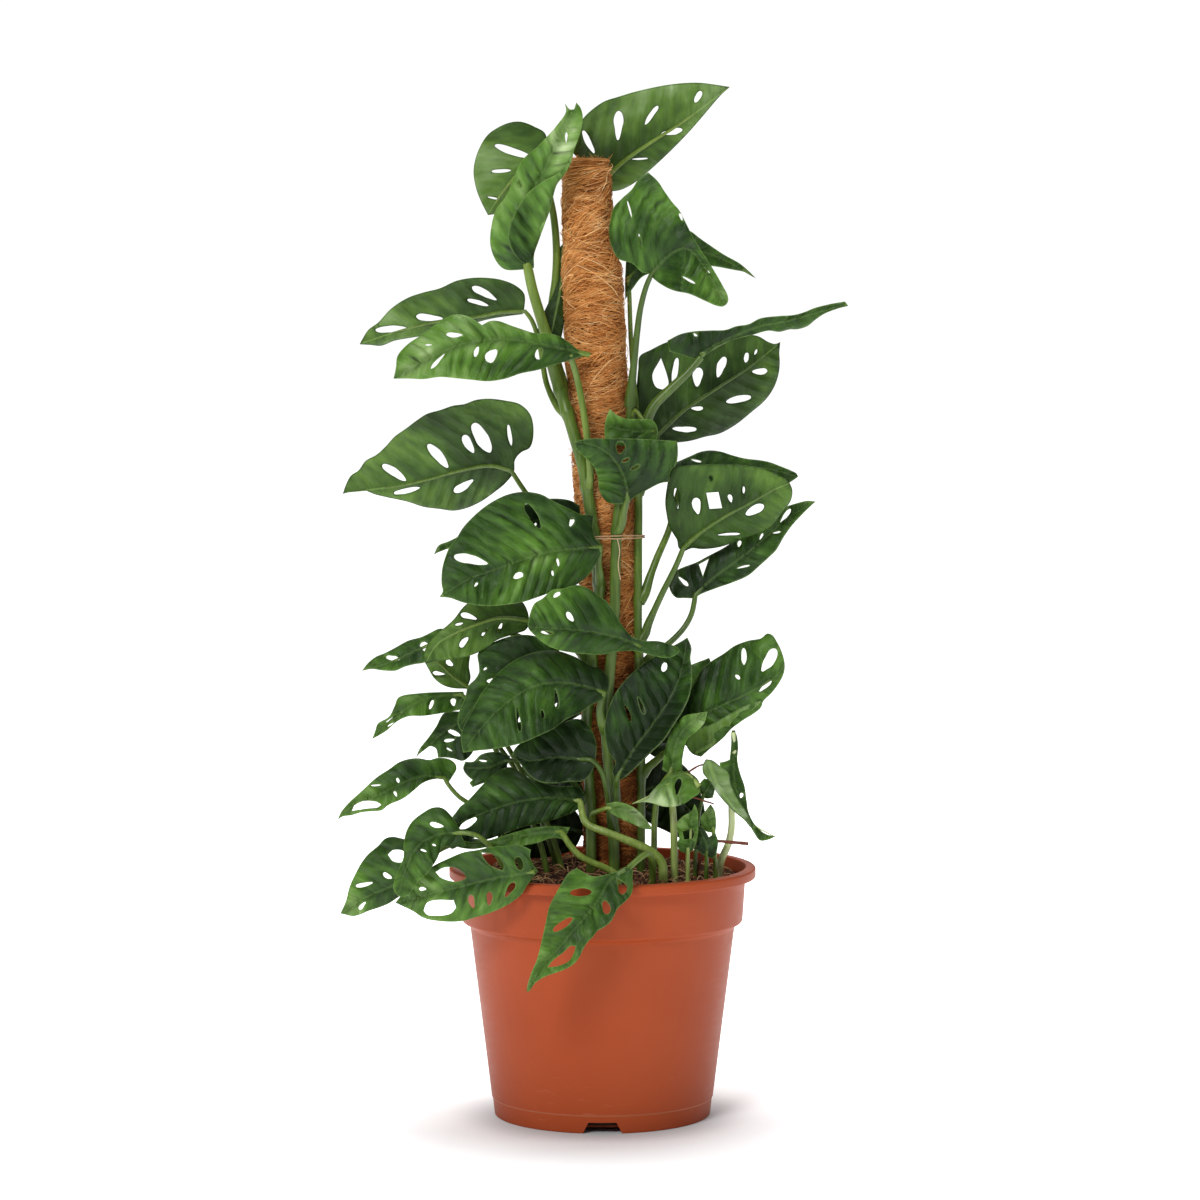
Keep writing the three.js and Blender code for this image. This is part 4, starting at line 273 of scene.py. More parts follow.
leaf("right_big", tone=0.16, underside=True, front=(-8, -38, 9, -16, 2),
    edge=(33,419, 27,420.5, 21,431, 20,441, 21,451, 22,462, 23,470, 30,474, 38,478, 48,481, 62,482.5, 80,483,
        95,482.5, 102,478.7, 106,477.5, 109.3,478.7, 108.7,472, 109,466, 108,458, 105,450, 100,443, 92,436,
        82,428, 72,422.5, 63,420.5, 54,418, 43,417),
    rib=(34,421.5, 50,436.5, 70,450, 90,463, 108.5,477.8),
    holes=[(36,469, 40,457.5, 40.5,452.5, 37,449.5, 33,451, 30.7,458), (43.2, 453, 46, 469, 4),
        (58, 451.3, 59.5, 463, 7), (70.7, 457, 75.3, 469.6, 5.6), (88, 466, 89, 472.3, 3.3),
        (93.5, 470.8, 95, 474.3, 1.6), (92, 460.5, 101.5, 461, 4.4), (76, 442, 91.5, 445, 4.8),
        (54.5, 438, 62, 438, 3), (43, 425.5, 58, 425, 4)],
    stalk=dict(on="stem_right", at=388, via=[(28, 402, 0), (32, 413, -4)], size=(2.2, 1.6)))
leaf("young", tone=0.54, front=(24, 28, 1, 3, 1),
    edge=(33,416, 34,425, 31,430.5, 22,431.3, 14,431.8, 9,433.8, 4.5,437.5, 2.3,432, 1.2,424, 2,417, 12,415,
        22,415),
    rib=(32,424, 18,424, 4,427),
    stalk=dict(on="stem_right", at=434, via=[(22, 435, 19)], size=(1.4, 1.1), meets=(28, 426)))
leaf("centre", tone=0.32, front=(32, 44, -4, -2, 4),
    edge=(16,380.3, 8,379, 2,381, -2,388, -3,396, -6,403, -11,408, -16,413, -17.7,417.3, -10,419.2, 4,419.5,
        20,419.3, 33,418.7, 46,417.8, 46.5,412, 45.5,404, 42,399, 41,392.7, 36,392, 28,388, 20,383.5),
    rib=(15.5,382, 14,393, 9,404, 1,412, -8,416, -16.5,417),
    holes=[(10.5, 410, 11.3, 417.3, 6), (12, 405, 16.5, 407.2, 1.8), (17.3, 400.3, 23, 403, 2.6)],
    stalk=dict(on="stem_centre", at=365, via=[(13, 374, 29)], size=(2.2, 1.7)))
leaf("right_mid", tone=0.3, underside=True, front=(14, 36, 7, -12, 4),
    edge=(50,350, 47,352, 46,357, 43.5,361, 41,366, 39.5,373, 38.7,380, 39.5,388, 41,396, 43,402, 52,402.8,
        62,403.3, 75,403.6, 88,402.8, 100,400.5, 108,397, 114,393.5, 117,388, 116,381, 111.5,375, 104,365,
        97,361, 89,358.5, 80,355, 72,352.5, 62,351.3, 55,351.8),
    rib=(50,352, 60,361, 75,371, 90,379, 105,387.5, 115.5,392),
    holes=[(46.5, 376, 45, 389, 2.8), (59, 372.7, 57.5, 383, 5.6), (66,376, 73.8,376.5, 71.5,386.5, 64,386),
        (79.5, 380, 78, 385, 2.8), (87, 385.5, 87, 390, 1.8), (67.5, 393, 66, 396.5, 2.4),
        (88.3, 372.5, 99.5, 378.3, 6), (71, 360, 85, 360.7, 1.8)],
    stalk=dict(on="stem_right", at=297, via=[(28, 304, 13), (31, 311, 13), (37, 324, 13), (45, 340, 13)],
        size=(2.3, 1.7)))
leaf("right_mid_back", tone=0.22, front=(-6, -38, -8, 4, 0),
    edge=(45,404.5, 54,408.4, 60,411, 66,412, 73,411.2, 80,409, 88,407, 97,406, 103,404.8, 110,402.2,
        116,399.8, 119.5,398, 120.5,396, 118.5,394.3, 110,390, 90,390, 65,390, 50,392, 44,397),
    rib=(50,397, 75,402, 100,401, 119,396.3),
    holes=[(54.5, 406.5, 61, 405, 1.6)],
    stalk=dict(on="stem_right", at=322, via=[(29, 333, 10), (33.8, 346, 6), (41, 363, -1), (46, 383, -5)],
        size=(2.5, 1.7)))
leaf("right_low", tone=0.16, front=(3, 14, -12, 6, 2),
    edge=(57,321, 50,321, 46,321, 43,323.5, 41.2,328, 41.5,333, 44,337, 50,340, 58,343, 66,347.3, 74,351.5,
        81,356, 88,361, 96,367, 103,371.5, 109,375.8, 118,379, 126,381, 131.5,380.6, 128,377.5, 122,371.5,
        117,366, 112,359, 107,350.5, 103,346.5, 97,341, 90,335, 80,330.5, 70,327, 60,323),
    rib=(57.5,323, 68,333, 82,343.5, 98,356, 113,369.5, 130.5,380.2),
    holes=[(47, 334, 53, 328.5, 2.4), (62,334.5, 65.7,345.2, 59.5,341.8), (97, 357, 99, 361, 1.5),
        (105, 361, 110, 362, 1.3), (109.7, 367.5, 116, 376, 2.8), (83, 339.3, 91, 341.2, 1.3),
        (84, 352.5, 85, 356.5, 2.6)],
    stalk=dict(on="stem_right", at=280, via=[(31, 286, 11), (40, 292, 8), (50, 302, 5), (55, 311, 4)],
        size=(2.1, 1.6)))
leaf("mid_left", tone=0.31, front=(31, 52, 6, -6, 6),
    edge=(0,354, -4,357, -6,365, -5,373, -13,372.7, -20,376, -30,380.7, -37,384.7, -43,386.2, -50,386.5,
        -58,385, -66,381.5, -73,377, -80,371, -86,364.5, -90,358, -94,353, -97,346, -99,338, -99.3,330,
        -98.6,325, -100.5,321.7, -94,321, -87,318.5, -80,316.8, -70,316, -60,316.8, -50,318.3, -40,321.5,
        -30,325, -20,327.3, -14,330.5, -8,336, -4,342, -1,348),
    rib=(-1,352.8, -16,351.3, -33,349.5, -50,344.5, -66,338.7, -82,333, -99,322.7),
    holes=[(-70.8, 342.2, -91.5, 346.8, 6), (-55, 333.3, -49, 336, 4.2), (-27, 340.5, -28, 345.5, 1.8),
        (-30.5, 334.5, -31, 338, 1.6), (-79, 328, -77, 330.5, 1.6), (-38.3, 364, -47.5, 379, 6),
        (-19.8, 365, -18.3, 370.5, 3.4)],
    stalk=dict(on="stem_left", at=333, via=[(-2.5, 343, 28)], size=(2.2, 1.7)))
leaf("mid_left_tucked", tone=0.24, front=(19, 24, 0, 0, 2),
    edge=(-14,378, -20,381.3, -33,382.3, -50,378, -70,369, -88,359.5, -95,356, -101,353.5, -104,347.8,
        -100,350, -93,352, -85,353.5, -66,352.5, -48,349, -28,353, -14,362),
    rib=(-15,371, -45,368, -75,360, -102.5,349),
    holes=[(-42, 364, -41, 367.5, 1.5), (-20.3, 365, -18, 371.3, 3.4)],
    stalk=dict(on="stem_left", at=363, via=[(-13, 367, 19.5)], size=(1.8, 1.4)))
leaf("left_low", tone=0.46, underside=True, front=(22, 30, 8, -9, 0),
    edge=(-46,312, -50,319, -60,322, -72,321.5, -84,317, -92,307.5, -97,303, -103,298.5, -109,290, -110.5,285,
        -109.2,280.3, -103,282, -97,282.5, -88,284, -80,286, -72,290, -65,295, -55,298.5, -47,301.5,
        -45.5,306),
    rib=(-46.5,307, -57,308.5, -67,308, -80,303.7, -91,299, -102,292.5, -109,281.3),
    holes=[(-77.5, 308, -87.5, 311, 3.8), (-86, 305.5, -91, 304.3, 1.8), (-83, 296.7, -88, 290.5, 4),
        (-71, 302.5, -74.5, 297.5, 2), (-62, 305.5, -65, 299.3, 2)],
    stalk=dict(on="stem_left", at=283, via=[(-18, 291, 18), (-32, 300, 17), (-41, 305.3, 19)],
        size=(2.1, 1.6)))
leaf("left_low_back", tone=0.36, front=(4, -28, 6, -8, 0),
    edge=(-94,300, -100,302, -107,299, -112,296.7, -120,294.5, -127,290.7, -134,287, -140,284.5, -145,280.5,
        -148.7,275.8, -143,277, -135,276, -128,276, -122,278.5, -116,280, -109,281.5, -104,288, -96,294.5),
    rib=(-95.5,298, -105,293, -118,287, -133,280.5, -147.8,276.3),
    holes=[(-125, 283, -133.7, 284.5, 3.4), (-109.3, 288, -111, 293.8, 5.2)],
    stalk=dict(on="stem_back", at=262, via=[(-12, 272, -26), (-30, 286, -18), (-60, 300, -4), (-82, 300.5, 2)],
        size=(2, 1.4)))
leaf("left_small", tone=0.46, underside=True, front=(11, 12, 4, -2, 0),
    edge=(-84,264.7, -93,265.2, -99,267.3, -104,271.3, -107.5,277, -110.3,283, -109.5,286.5, -100,285.5,
        -90,286, -81.5,286.5, -82.5,279, -81.5,271.5),
    rib=(-84,266.5, -92,272, -100,279.5, -109,285),
    holes=[(-92.5, 279, -96.5, 282.5, 3.4), (-97.5, 273.7, -105, 274.8, 2.6)],
    stalk=dict(via=[(-20, 130, 8), (-30, 170, 8), (-46, 205, 8), (-64, 238, 8), (-77, 258, 8)],
        size=(1.9, 1.4)))
leaf("left_folded", tone=0.43, front=(16, 38, 2, -8, 0),
    edge=(-86,263, -100,262.7, -112,262, -126,259.3, -128.5,254, -132,247.5, -139,243, -140.5,239,
        -142.5,233.5, -138,236, -133.5,238.8, -127,244.5, -120,247.6, -110,248, -100,249.5, -93,250.7,
        -87,252.5, -85,258),
    rib=(-87,261, -105,259.7, -118,254.5, -130,246, -141.5,235),
    holes=[(-107, 252, -104.7, 257.8, 2.4), (-92, 254, -92.3, 258.8, 3.8), (-124.5, 250, -134, 243.9, 1),
        (-129, 243.8, -133, 241.3, 1)],
    stalk=dict(via=[(-31, 130, 20), (-39, 170, 19), (-56, 207, 17), (-73, 240, 15), (-80, 254, 15)],
        size=(1.9, 1.4)))
leaf("left_dark", tone=0.34, front=(8, 2, 4, -6, 0),
    edge=(-84,250, -92,250.7, -98,249.5, -103,241, -108,234, -113,227.7, -115.8,221.5, -113.4,224.3,
        -110.3,227.5, -106.5,229, -103,227.5, -101.8,222, -97,222, -92,221.3, -86,220, -80,226, -79,238),
    rib=(-84,246, -96,239.5, -105,231.5, -114.5,223.8),
    holes=[(-88, 235.5, -95.5, 239, 3.2), (-91.5, 233.2, -98, 232.2, 2), (-93, 226, -96.5, 228, 1.2)],
    stalk=dict(via=[(-23, 130, -3), (-33, 170, -3), (-48, 205, -3), (-65, 230, 1), (-76, 243, 5)],
        size=(1.9, 1.4)))
leaf("left_drooping", tone=0.47, front=(40, 68, 6, -8, 6),
    edge=(-97,208.5, -95.5,206.3, -93,210, -90.3,215, -91,218, -95,221, -102,221.8, -107,220.5, -114,221.5,
        -120,221, -126,219, -132,214.7, -140,209.5, -150,200.3, -157,194, -162,188, -164,183.3, -161,185.3,
        -156,186, -149,188, -142,188.6, -136.5,189.3, -134,191.5, -131,193.3, -126,195.3, -122,197.5,
        -117,201.5, -111,206.3, -105,208.4),
    rib=(-98,209.3, -110,210.5, -122,207, -138,199, -152,193.8, -163,185.3),
    holes=[(-155.3,188.7, -153,193, -147,195, -139.5,194.3, -137,192.6, -139,191, -146,190.2),
        (-127.5, 197.7, -129, 201, 1.8), (-126, 206.3, -127.3, 209.3, 2), (-137, 205, -143.5, 204.5, 1.2)],
    stalk=dict(via=[(-42, 130, 40), (-55, 165, 38), (-70, 183, 38), (-81, 192.3, 38), (-89, 197.7, 39),
        (-95, 204.5, 40)], size=(2, 1.3)))
leaf("left_cup", tone=0.0, front=(30, 24, 3, 3, 0),
    edge=(-57,223, -65,225.5, -75,224, -80,219.5, -85,219.5, -86.3,215, -84,211, -80.5,208, -82.5,206.3,
        -80.5,203.5, -74,206, -66,209, -60,215),
    rib=(-59,220.5, -70,216, -84,215.5),
    holes=[(-76.5, 220.3, -71.5, 219.7, 1.3)],
    stalk=dict(on="stem_left", at=200, via=[(-20, 208, 23), (-40, 216.5, 26), (-51, 219.5, 28)],
        size=(1.8, 1.3)))
leaf("centre_left", tone=0.26, front=(34, 68, 10, -13, 6),
    edge=(2,260, -8,254, -14,249.8, -20,247, -25,244, -30,240, -40,235.3, -50,231, -60,228.6, -70,227, -80,226,
        -86.3,225, -87.3,231, -87,238, -84,245, -80,252, -76,260, -71,267, -64,275, -55,282, -43,287,
        -30,288.5, -18,285, -8,279.5, 0,276, 4,270),
    rib=(1,262.5, -10,266, -25,268.5, -40,267, -54,260, -70,246, -85,227.5),
    holes=[(-29.3, 264.5, -28, 252.5, 2.8), (-53, 253.5, -51, 238, 2.4), (-37.5, 251.5, -36.5, 246, 2.2)],
    stalk=dict(on="stem_centre", at=243, via=[(-1.5, 253, 30)], size=(2.3, 1.9), tone=0.4))
leaf("centre_left_back", tone=0.21, front=(26, 34, 0, -2, 2),
    edge=(-24,281, -29,292, -45,298, -58,297, -70,292, -77,286.5, -76.5,280, -76.3,275, -78.5,271, -83,266.3,
        -85,259, -88.5,251, -89.5,243, -86,236, -75,238, -60,245, -42,262),
    rib=(-27,284, -50,281, -72,263, -88,242),
    holes=[(-71.5, 269.5, -66.7, 269.5, 3.6), (-73.5, 276.3, -71.5, 277.8, 1.3)],
    stalk=dict(on="stem_left", at=262, via=[(-17, 274, 23)], size=(2.1, 1.6)))
leaf("centre_front", tone=0.34, front=(38, 64, 2, -4, 4),
    edge=(-46,303, -45,310, -42,317.5, -37,320.7, -31,326, -24,327, -16,329, -9,327, -2,322, 3,318.5, 8,311,
        13,303, 18,297.5, 25,294.7, 35,294.2, 42,292.2, 47,290, 48,288.3, 46,286, 40,283.8, 32,285, 25,287,
        18,288.3, 8,287.6, 0,286, -10,286.2, -20,287.3, -28,289, -35,292.3, -41,297),
    rib=(23,291.5, 8,297, -10,300.5, -28,302, -45,303),
    holes=[(-18, 306.5, -22, 312.3, 3.8), (-30, 299, -38, 300, 2), (-30.3, 321.5, -26, 324.3, 2.8)],
    stalk=dict(on="stem_right", at=288, via=[(23, 291.5, 28)], size=(2, 1.6)))
leaf("centre_right", tone=0.04, front=(34, 24, -2, 11, 0),
    edge=(8,207, 6,213, 8,219, 4,225, 2,232, 1,240, 3,250, 8,262, 14,270, 20,276, 28,282, 34,286, 42,290.5,
        49,294.3, 52.5,296.5, 55,290, 54.3,284, 55.3,277, 55.3,269, 54,261, 50,251.5, 45,243.5, 38,233, 30,225,
        21,216, 13,209),
    rib=(9,209, 18,225, 29,240, 40,256, 48,273, 52.2,295),
    holes=[(37.3, 275.2, 39, 281, 4.2), (14, 254.5, 17.5, 244.5, 2.6), (22, 259.5, 26, 249, 2.4)],
    stalk=dict(on="stem_centre", at=196, via=[(8.5, 203, 29)], size=(2.4, 1.9)))
leaf("right_folded", front=(16, 34, -13, 2, 0),
    edge=(57,225.5, 50,231, 46,239, 46,248, 51,258, 57,268, 61,276, 67,281.5, 75,286.5, 82,291.5, 90,294.5,
        98,296, 102,299, 105,298, 108,293.5, 110.7,288, 112.7,280, 112,274, 109,268, 104.5,262, 99.5,257,
        98,253, 93,249, 88,246, 84,243, 80,240, 75.5,235, 71,231, 66,227, 61,222.5),
    rib=(49,236, 60,247.5, 73,254, 87,260.5, 98,266.5, 107,272.5, 112,279),
    holes=[(87.5, 279.5, 87.3, 290, 3.6), (98.7, 275.5, 107, 289.5, 7), (82.2, 273.3, 85, 270.7, 2.4),
        (97, 263, 104.5, 270, 3)],
    fold=dict(tone=0.52, underside=True, front=(17, 29, 9, -4, 0),
        edge=(61,222.5, 55.5,224.5, 51.5,231, 54,237, 60,240.5, 68,243, 77,248, 85,252.5, 92,256, 99,258,
            97.5,253, 93,249, 88,246, 84,243, 80,240, 75.5,235, 71,231, 66,227),
        rib=(58,224.5, 72,233.2, 87,246.5, 98,257)),
    stalk=dict(on="stem_right", at=214, via=[(32, 219, 14), (41, 227, 14)], size=(2.2, 1.7)))
leaf("right_upright", tone=0.58, front=(33, 35, 0, 0, 0),
    edge=(37,214.5, 38,223, 40.5,233, 45,242, 51,248, 58,249.5, 65,250.5, 63,243.5, 58,238, 53,234, 50.5,227,
        49.5,220, 49.5,213.5, 43,211.5),
    rib=(42.5,213, 44.5,228, 51,240, 63.5,249.8),
    stalk=dict(via=[(31, 130, 27), (32, 165, 27), (32.5, 185, 28), (35, 201, 30)], size=(2.2, 1.7)))
leaf("right_heart", tone=0.7, front=(40, 56, 6, -4, 0),
    edge=(60,206.5, 57,210.5, 51,213.3, 44,212.3, 37,207.3, 31,201.3, 27,196.5, 17.5,192.8, 26,194.3, 32,193.3,
        38,191.5, 44,191.5, 50,193, 56,197, 60,200),
    rib=(60,204, 52,211, 44,210, 37,205, 30,198.5, 18.5,193.2),
    holes=[(46, 198.8, 47.8, 209, 4.4)],
    stalk=dict(via=[(45, 128, 37), (44.5, 165, 37), (43.5, 190, 38)], size=(2.5, 2), meets=(40, 206.5),
        tone=0.8))
leaf("right_hanging", tone=0.46, front=(26, 58, -4, 6, 3),
    edge=(80,238.8, 82,239, 83.3,235, 84,229, 83.6,220, 85.3,212, 88,204, 89.2,196, 90.3,189, 93,182.5,
        97,177.5, 102,174, 107.7,173, 102,170.6, 97.5,170.4, 94,175, 92,178.5, 89,184, 85,190, 80,196,
        76.5,203, 74,211, 72.5,219, 75,219.3, 78.8,220.8, 79.6,229),
    rib=(81,237.5, 81.5,222, 81.5,208, 86,193, 92.5,181, 106.5,173),
    holes=[(85.3, 196.7, 86.7, 200, 2.4), (77.6, 208, 78.4, 211, 1.4)],
    fold=dict(tone=0.78, underside=True, front=(42, 56, -1, 0, 0),
        edge=(62,217, 64,221, 68,220.3, 72.5,217, 78,213, 79.5,206, 82,200, 85,194.5, 89.5,187.5, 92.3,180.5,
            91.5,178.5, 88,183, 82,188, 76,194, 71,200, 67,206.5, 62.5,212),
        rib=(66,219, 70,208, 78,195, 91.5,180)),
    stalk=dict(via=[(71, 130, 20), (73.5, 157, 20), (78, 168, 20), (80, 178, 20), (80, 192, 20),
        (80.8, 212, 21)], size=(2.6, 1.7), meets=(81.3, 226), tone=0.95))
leaf("small_pale", tone=0.72, front=(46, 48, 0, 0, 0),
    edge=(2,190, 3,193.3, 9,194.5, 16,192.7, 22,189, 26.5,184, 31.5,177, 26,177.6, 20,180, 13,183, 6,187),
    rib=(3,190.7, 14,189, 22,184.5, 31,177.5),
    stalk=dict(on="stem_left", at=186, via=[(-5, 187.5, 31), (-2, 189, 40)], size=(1.5, 1.2)))
leaf("low_left", tone=0.17, front=(33, 50, 2, -12, 3),
    edge=(-12,192.5, -10,198, -15,203.5, -30,204.5, -45,209, -57,216, -65,213.5, -73,206.3, -80,198.7,
        -84,194.5, -88,191.5, -91,187.5, -93.5,184, -92,179, -91,173, -86,169, -75,170, -62,174, -50,178.5,
        -35,182, -20,187),
    rib=(-14,195, -30,197, -50,195, -70,189, -91,180.5),
    holes=[(-88.5, 177.7, -78, 184.3, 4.6), (-80, 171.8, -75.5, 171.3, 1.2)],
    stalk=dict(via=[(36, 126, 47), (37, 156, 48), (30, 163.5, 48), (17, 169.7, 47.5), (2, 175.7, 46),
        (-10, 181, 42)], size=(3.2, 2.1), tone=0.72))
leaf("low_left_edge", tone=0.71, front=(60, 58, 3, -2, 0),
    edge=(-20,178.5, -30,179.2, -40,178.7, -50,176.7, -60,173.7, -70,170.7, -80,169.3, -88,170, -93,167.5,
        -88,165.8, -80,165, -70,166.3, -60,166.3, -50,167, -40,169, -31,172, -24,171),
    rib=(-24,175.5, -40,175, -60,170.3, -80,167.3, -91,167.5),
    stalk=dict(via=[(13, 124, 58), (8, 149, 60), (2, 153, 61), (-8, 157.3, 62), (-15, 161.5, 62),
        (-21, 168.5, 61)], size=(2.4, 1.9), meets=(-25, 175)))
leaf("low_centre", tone=0.05, front=(38, 50, 7, -8, 0),
    edge=(-6,214, -12,207.6, -20,207, -30,206, -38,206.6, -45,210.5, -50,217, -56,224, -53,229, -45,234,
        -35,239.5, -25,243.5, -15,246, -8,241, -4,232, -4,223),
    rib=(-13,221, -30,222, -44,220, -55.5,223.5),
    stalk=dict(on="stem_centre", at=181, via=[(4, 191, 31), (2.3, 203, 36), (-1, 214, 39), (-7, 220.5, 40)],
        size=(1.9, 1.5)))
leaf("front_hanging", tone=0.38, front=(98, 120, 6, 0, 4),
    edge=(19,152, 18.6,147, 19,141, 17.5,136, 14,132, 9.5,128, 7.5,124, 5,119.5, 0,115.5, -3,114, -6,110,
        -9,107, -12,102.5, -14,98, -18,93, -24,89.5, -30,87.3, -36,85, -42,81, -45.5,76, -47.2,75.6, -46.5,80,
        -44,88, -41,95, -39,102, -37,111, -35,120, -33,129, -29,137, -25,144, -21,150, -16,153.2, -12,150.7,
        -6,148, 2,149, 10,151.5, 15,154),
    rib=(14,152, 5,146, 0,138, -5,130, -12,121, -20,112, -28,102, -37,93, -43,83, -46.3,77),
    holes=[(-6.5, 138.3, -20, 137.5, 5.4), (1, 132.8, 3.3, 124.3, 5.4),
        (9,146.6, 14,143.3, 15.4,141.3, 14.4,138, 12,136.5, 10.2,138, 9.6,142),
        (-18.5, 122, -30.5, 113.8, 4.6),
        (-34,91, -31,95, -24,100.5, -19.5,104.5, -16.5,104, -17.7,100, -20.7,95, -27,92)],
    stalk=dict(via=[(30, 124, 50), (31, 152, 60), (29, 161, 78), (25.5, 161, 89)], size=(2.3, 1.8),
        meets=(16, 153)))
leaf("bottom_left", tone=0.38, front=(90, 52, 2, -2, 3),
    edge=(-40,151.3, -43,155.5, -45,160.5, -44.3,164.5, -50,167, -60,167, -70,166, -77,164.5, -86,163,
        -95,159.3, -103,155.5, -110,151, -117,145, -123,138.5, -128.5,131.5, -124,129.3, -118,126.5, -111,122,
        -104,120.3, -95,119.5, -87,120, -78,122.5, -70,125, -62,128.5, -56,132, -50,137, -47,142, -44,146.3),
    rib=(-41.5,151, -55,148.7, -70,146, -86,142, -102,138, -116,134.5, -127.3,131.8),
    holes=[(-61.5,151.5, -68,153.7, -73,158.5, -75,162.7, -68,161.8, -64.5,160, -61.3,155.5),
        (-50.3, 151.7, -53, 160, 5.4),
        (-103.5,150.5, -98.5,153.3, -91,153.3, -86,150, -84.6,147, -88,145.2, -92.5,144.7, -100,147),
        (-109.3, 140, -113.8, 140, 2.6),
        (-111,126.5, -109,131.2, -104,133, -92.3,133, -90.8,128.5, -94,124.8, -102,123.3, -109,124),
        (-80, 128, -82, 136.3, 4.2), (-70.5, 129.7, -70, 138.3, 4), (-60.3, 135, -54.5, 144, 4.2)],
    stalk=dict(via=[(-42, 124, 52), (-46, 150, 58), (-46.5, 158, 70), (-45.5, 157, 83)], size=(2.1, 1.6),
        meets=(-44, 151.5)))
leaf("bottom_left_far", tone=0.38, front=(40, 22, 0, -8, 2),
    edge=(-162.7,124.7, -159,133, -157,141, -153,150, -149,157, -145,162, -139,167, -135,171.3, -131,172.6,
        -126,172, -121,170, -117,160, -117,150, -120,140, -128,134, -133,130.7, -140,128, -146,126, -150,124.2,
        -155,123, -159.5,124),
    rib=(-121,146, -135,140, -148,134, -161.8,125.3),
    holes=[(-133,161.5, -130,164.2, -124,164, -121.5,161, -122,157.7, -125.5,156.6, -130,157.5),
        (-130.7, 146.7, -136, 150, 3.4), (-142.5, 144, -153, 141.7, 2.8), (-147, 132, -151, 127.2, 2.6)],
    stalk=dict(via=[(-44, 126, 28), (-58, 158, 30), (-80, 170, 34), (-100, 165, 38), (-113, 154, 39)],
        size=(2, 1.5)))
leaf("bottom_left_curved", tone=0.53, front=(66, 76, 4, -8, 0),
    edge=(-86,166.2, -84.5,168, -87,172.5, -89,178, -91,182, -94,186, -97.5,189.5, -101,191, -106,190.5,
        -112,187, -118,182, -121.5,176, -123.2,168, -123.3,160, -126,153, -129,146, -129.6,140, -127,136,
        -123,135.3, -119,138, -115.5,143.5, -108.5,150, -105,155, -103,158, -101,162.5, -99.5,165.8, -96,166.3,
        -93,164.8, -90,166.3),
    rib=(-90,175, -103,173.5, -115,166, -122,152, -126,138),
    holes=[(-98.5, 179, -107, 181, 3.2), (-109, 163.3, -112.8, 164.7, 1.3), (-105.5, 168, -103.3, 167, 1.3)],
    stalk=dict(via=[(-52, 126, 48), (-62, 155, 58), (-70, 167, 65), (-77, 173, 66.5), (-84, 175, 66.5)],
        size=(1.8, 1.4)))
leaf("low_right_dark", tone=0.1, front=(44, 42, 0, 0, 0),
    edge=(57,178, 59,171, 57.5,165, 62,161.5, 68.5,159, 70.5,162, 71.7,170, 70,175, 66,172.5, 62,180),
    rib=(64.5,161.5, 64.5,168, 60,177.5),
    stalk=dict(via=[(64, 128, 38), (64.5, 152, 41)], size=(1.6, 1.2), meets=(64.7, 164)))
leaf("low_right_crimped", tone=0.6, front=(34, 36, 0, 0, 0),
    edge=(60.5,184, 64,189, 67,193, 69.5,189, 70.5,180, 70,176, 66,175.3, 62,178.5),
    rib=(68.5,177, 66,184, 66.7,191.5),
    stalk=dict(via=[(70, 128, 30), (70, 155, 31)], size=(1.6, 1.2), meets=(68.7, 179)))
leaf("low_right_loop", tone=0.54, front=(46, 46, 0, 0, 0),
    edge=(46,181, 50,185.5, 55,188.5, 57,193, 58.7,190, 59.3,183, 59.3,175, 57.7,168, 56,164, 52,162.5, 48,164,
        46.3,168, 47.7,172.5, 46.3,177),
    rib=(53,164, 54.5,168, 55,183, 57,191),
    holes=[(49.7,176, 56,177.7, 56.8,174, 55.8,171.3, 50.7,171)],
    stalk=dict(via=[(53, 128, 42), (53, 152, 43.5)], size=(1.6, 1.2), meets=(53, 166), tone=0.75))
leaf("low_right_frilled", front=(34, 34, 0, 0, 0),
    edge=(60,205, 63,209, 67,208, 69.5,203, 68.5,197, 64,196.5, 61,199.5),
    rib=(62.5,198, 65,203, 67.5,207),
    stalk=dict(via=[(57, 128, 28), (58, 165, 28), (60, 188, 29)], size=(1.5, 1.1), meets=(63, 200)))
leaf("rear_left", tone=0.09, front=(-32, -62, -6, 6, 0),
    edge=(-6,262, -4,270, -10,279, -22,284, -38,282, -52,275, -64,262, -72,246, -76.5,237.5, -66,238, -50,238,
        -34,240, -18,246, -8,254),
    rib=(-7,262, -35,262, -60,251, -75.5,238.5),
    holes=[(-30, 268, -36, 278, 3), (-46, 264, -54, 268, 3), (-28, 256, -34, 247, 3), (-46, 252, -52, 244, 3)],
    stalk=dict(on="stem_back", at=246, via=[(-1.5, 254, -31)], size=(2.1, 1.6)))
leaf("rear_right", tone=0.03, front=(-32, -64, 6, -6, 0),
    edge=(14,226, 8,232, 7,242, 11,254, 20,264, 32,270, 44,273, 52.5,272, 50,262, 44,250, 36,238, 26,229,
        18,224),
    rib=(13.5,228, 26,242, 40,258, 51.5,271),
    holes=[(17, 240, 13, 248, 3), (28, 252, 24, 262, 3), (30, 242, 37, 246, 3)],
    stalk=dict(on="stem_back", at=212, via=[(7, 220, -31.5)], size=(2.1, 1.6)))
leaf("rear_low", tone=0.0, front=(-34, -70, 6, -6, 0),
    edge=(-12,200, -9,208, -14,216, -26,221, -42,220, -56,212, -68,200, -76.5,187, -64,187, -48,186, -30,188,
        -18,192),
    rib=(-13,201, -36,204, -58,197, -75.5,188),
    holes=[(-28, 208, -34, 216, 3), (-44, 207, -50, 211, 2.6), (-32, 199, -38, 191, 3)],
    stalk=dict(on="stem_back", at=184, via=[(-4, 192, -32)], size=(2.1, 1.6)))
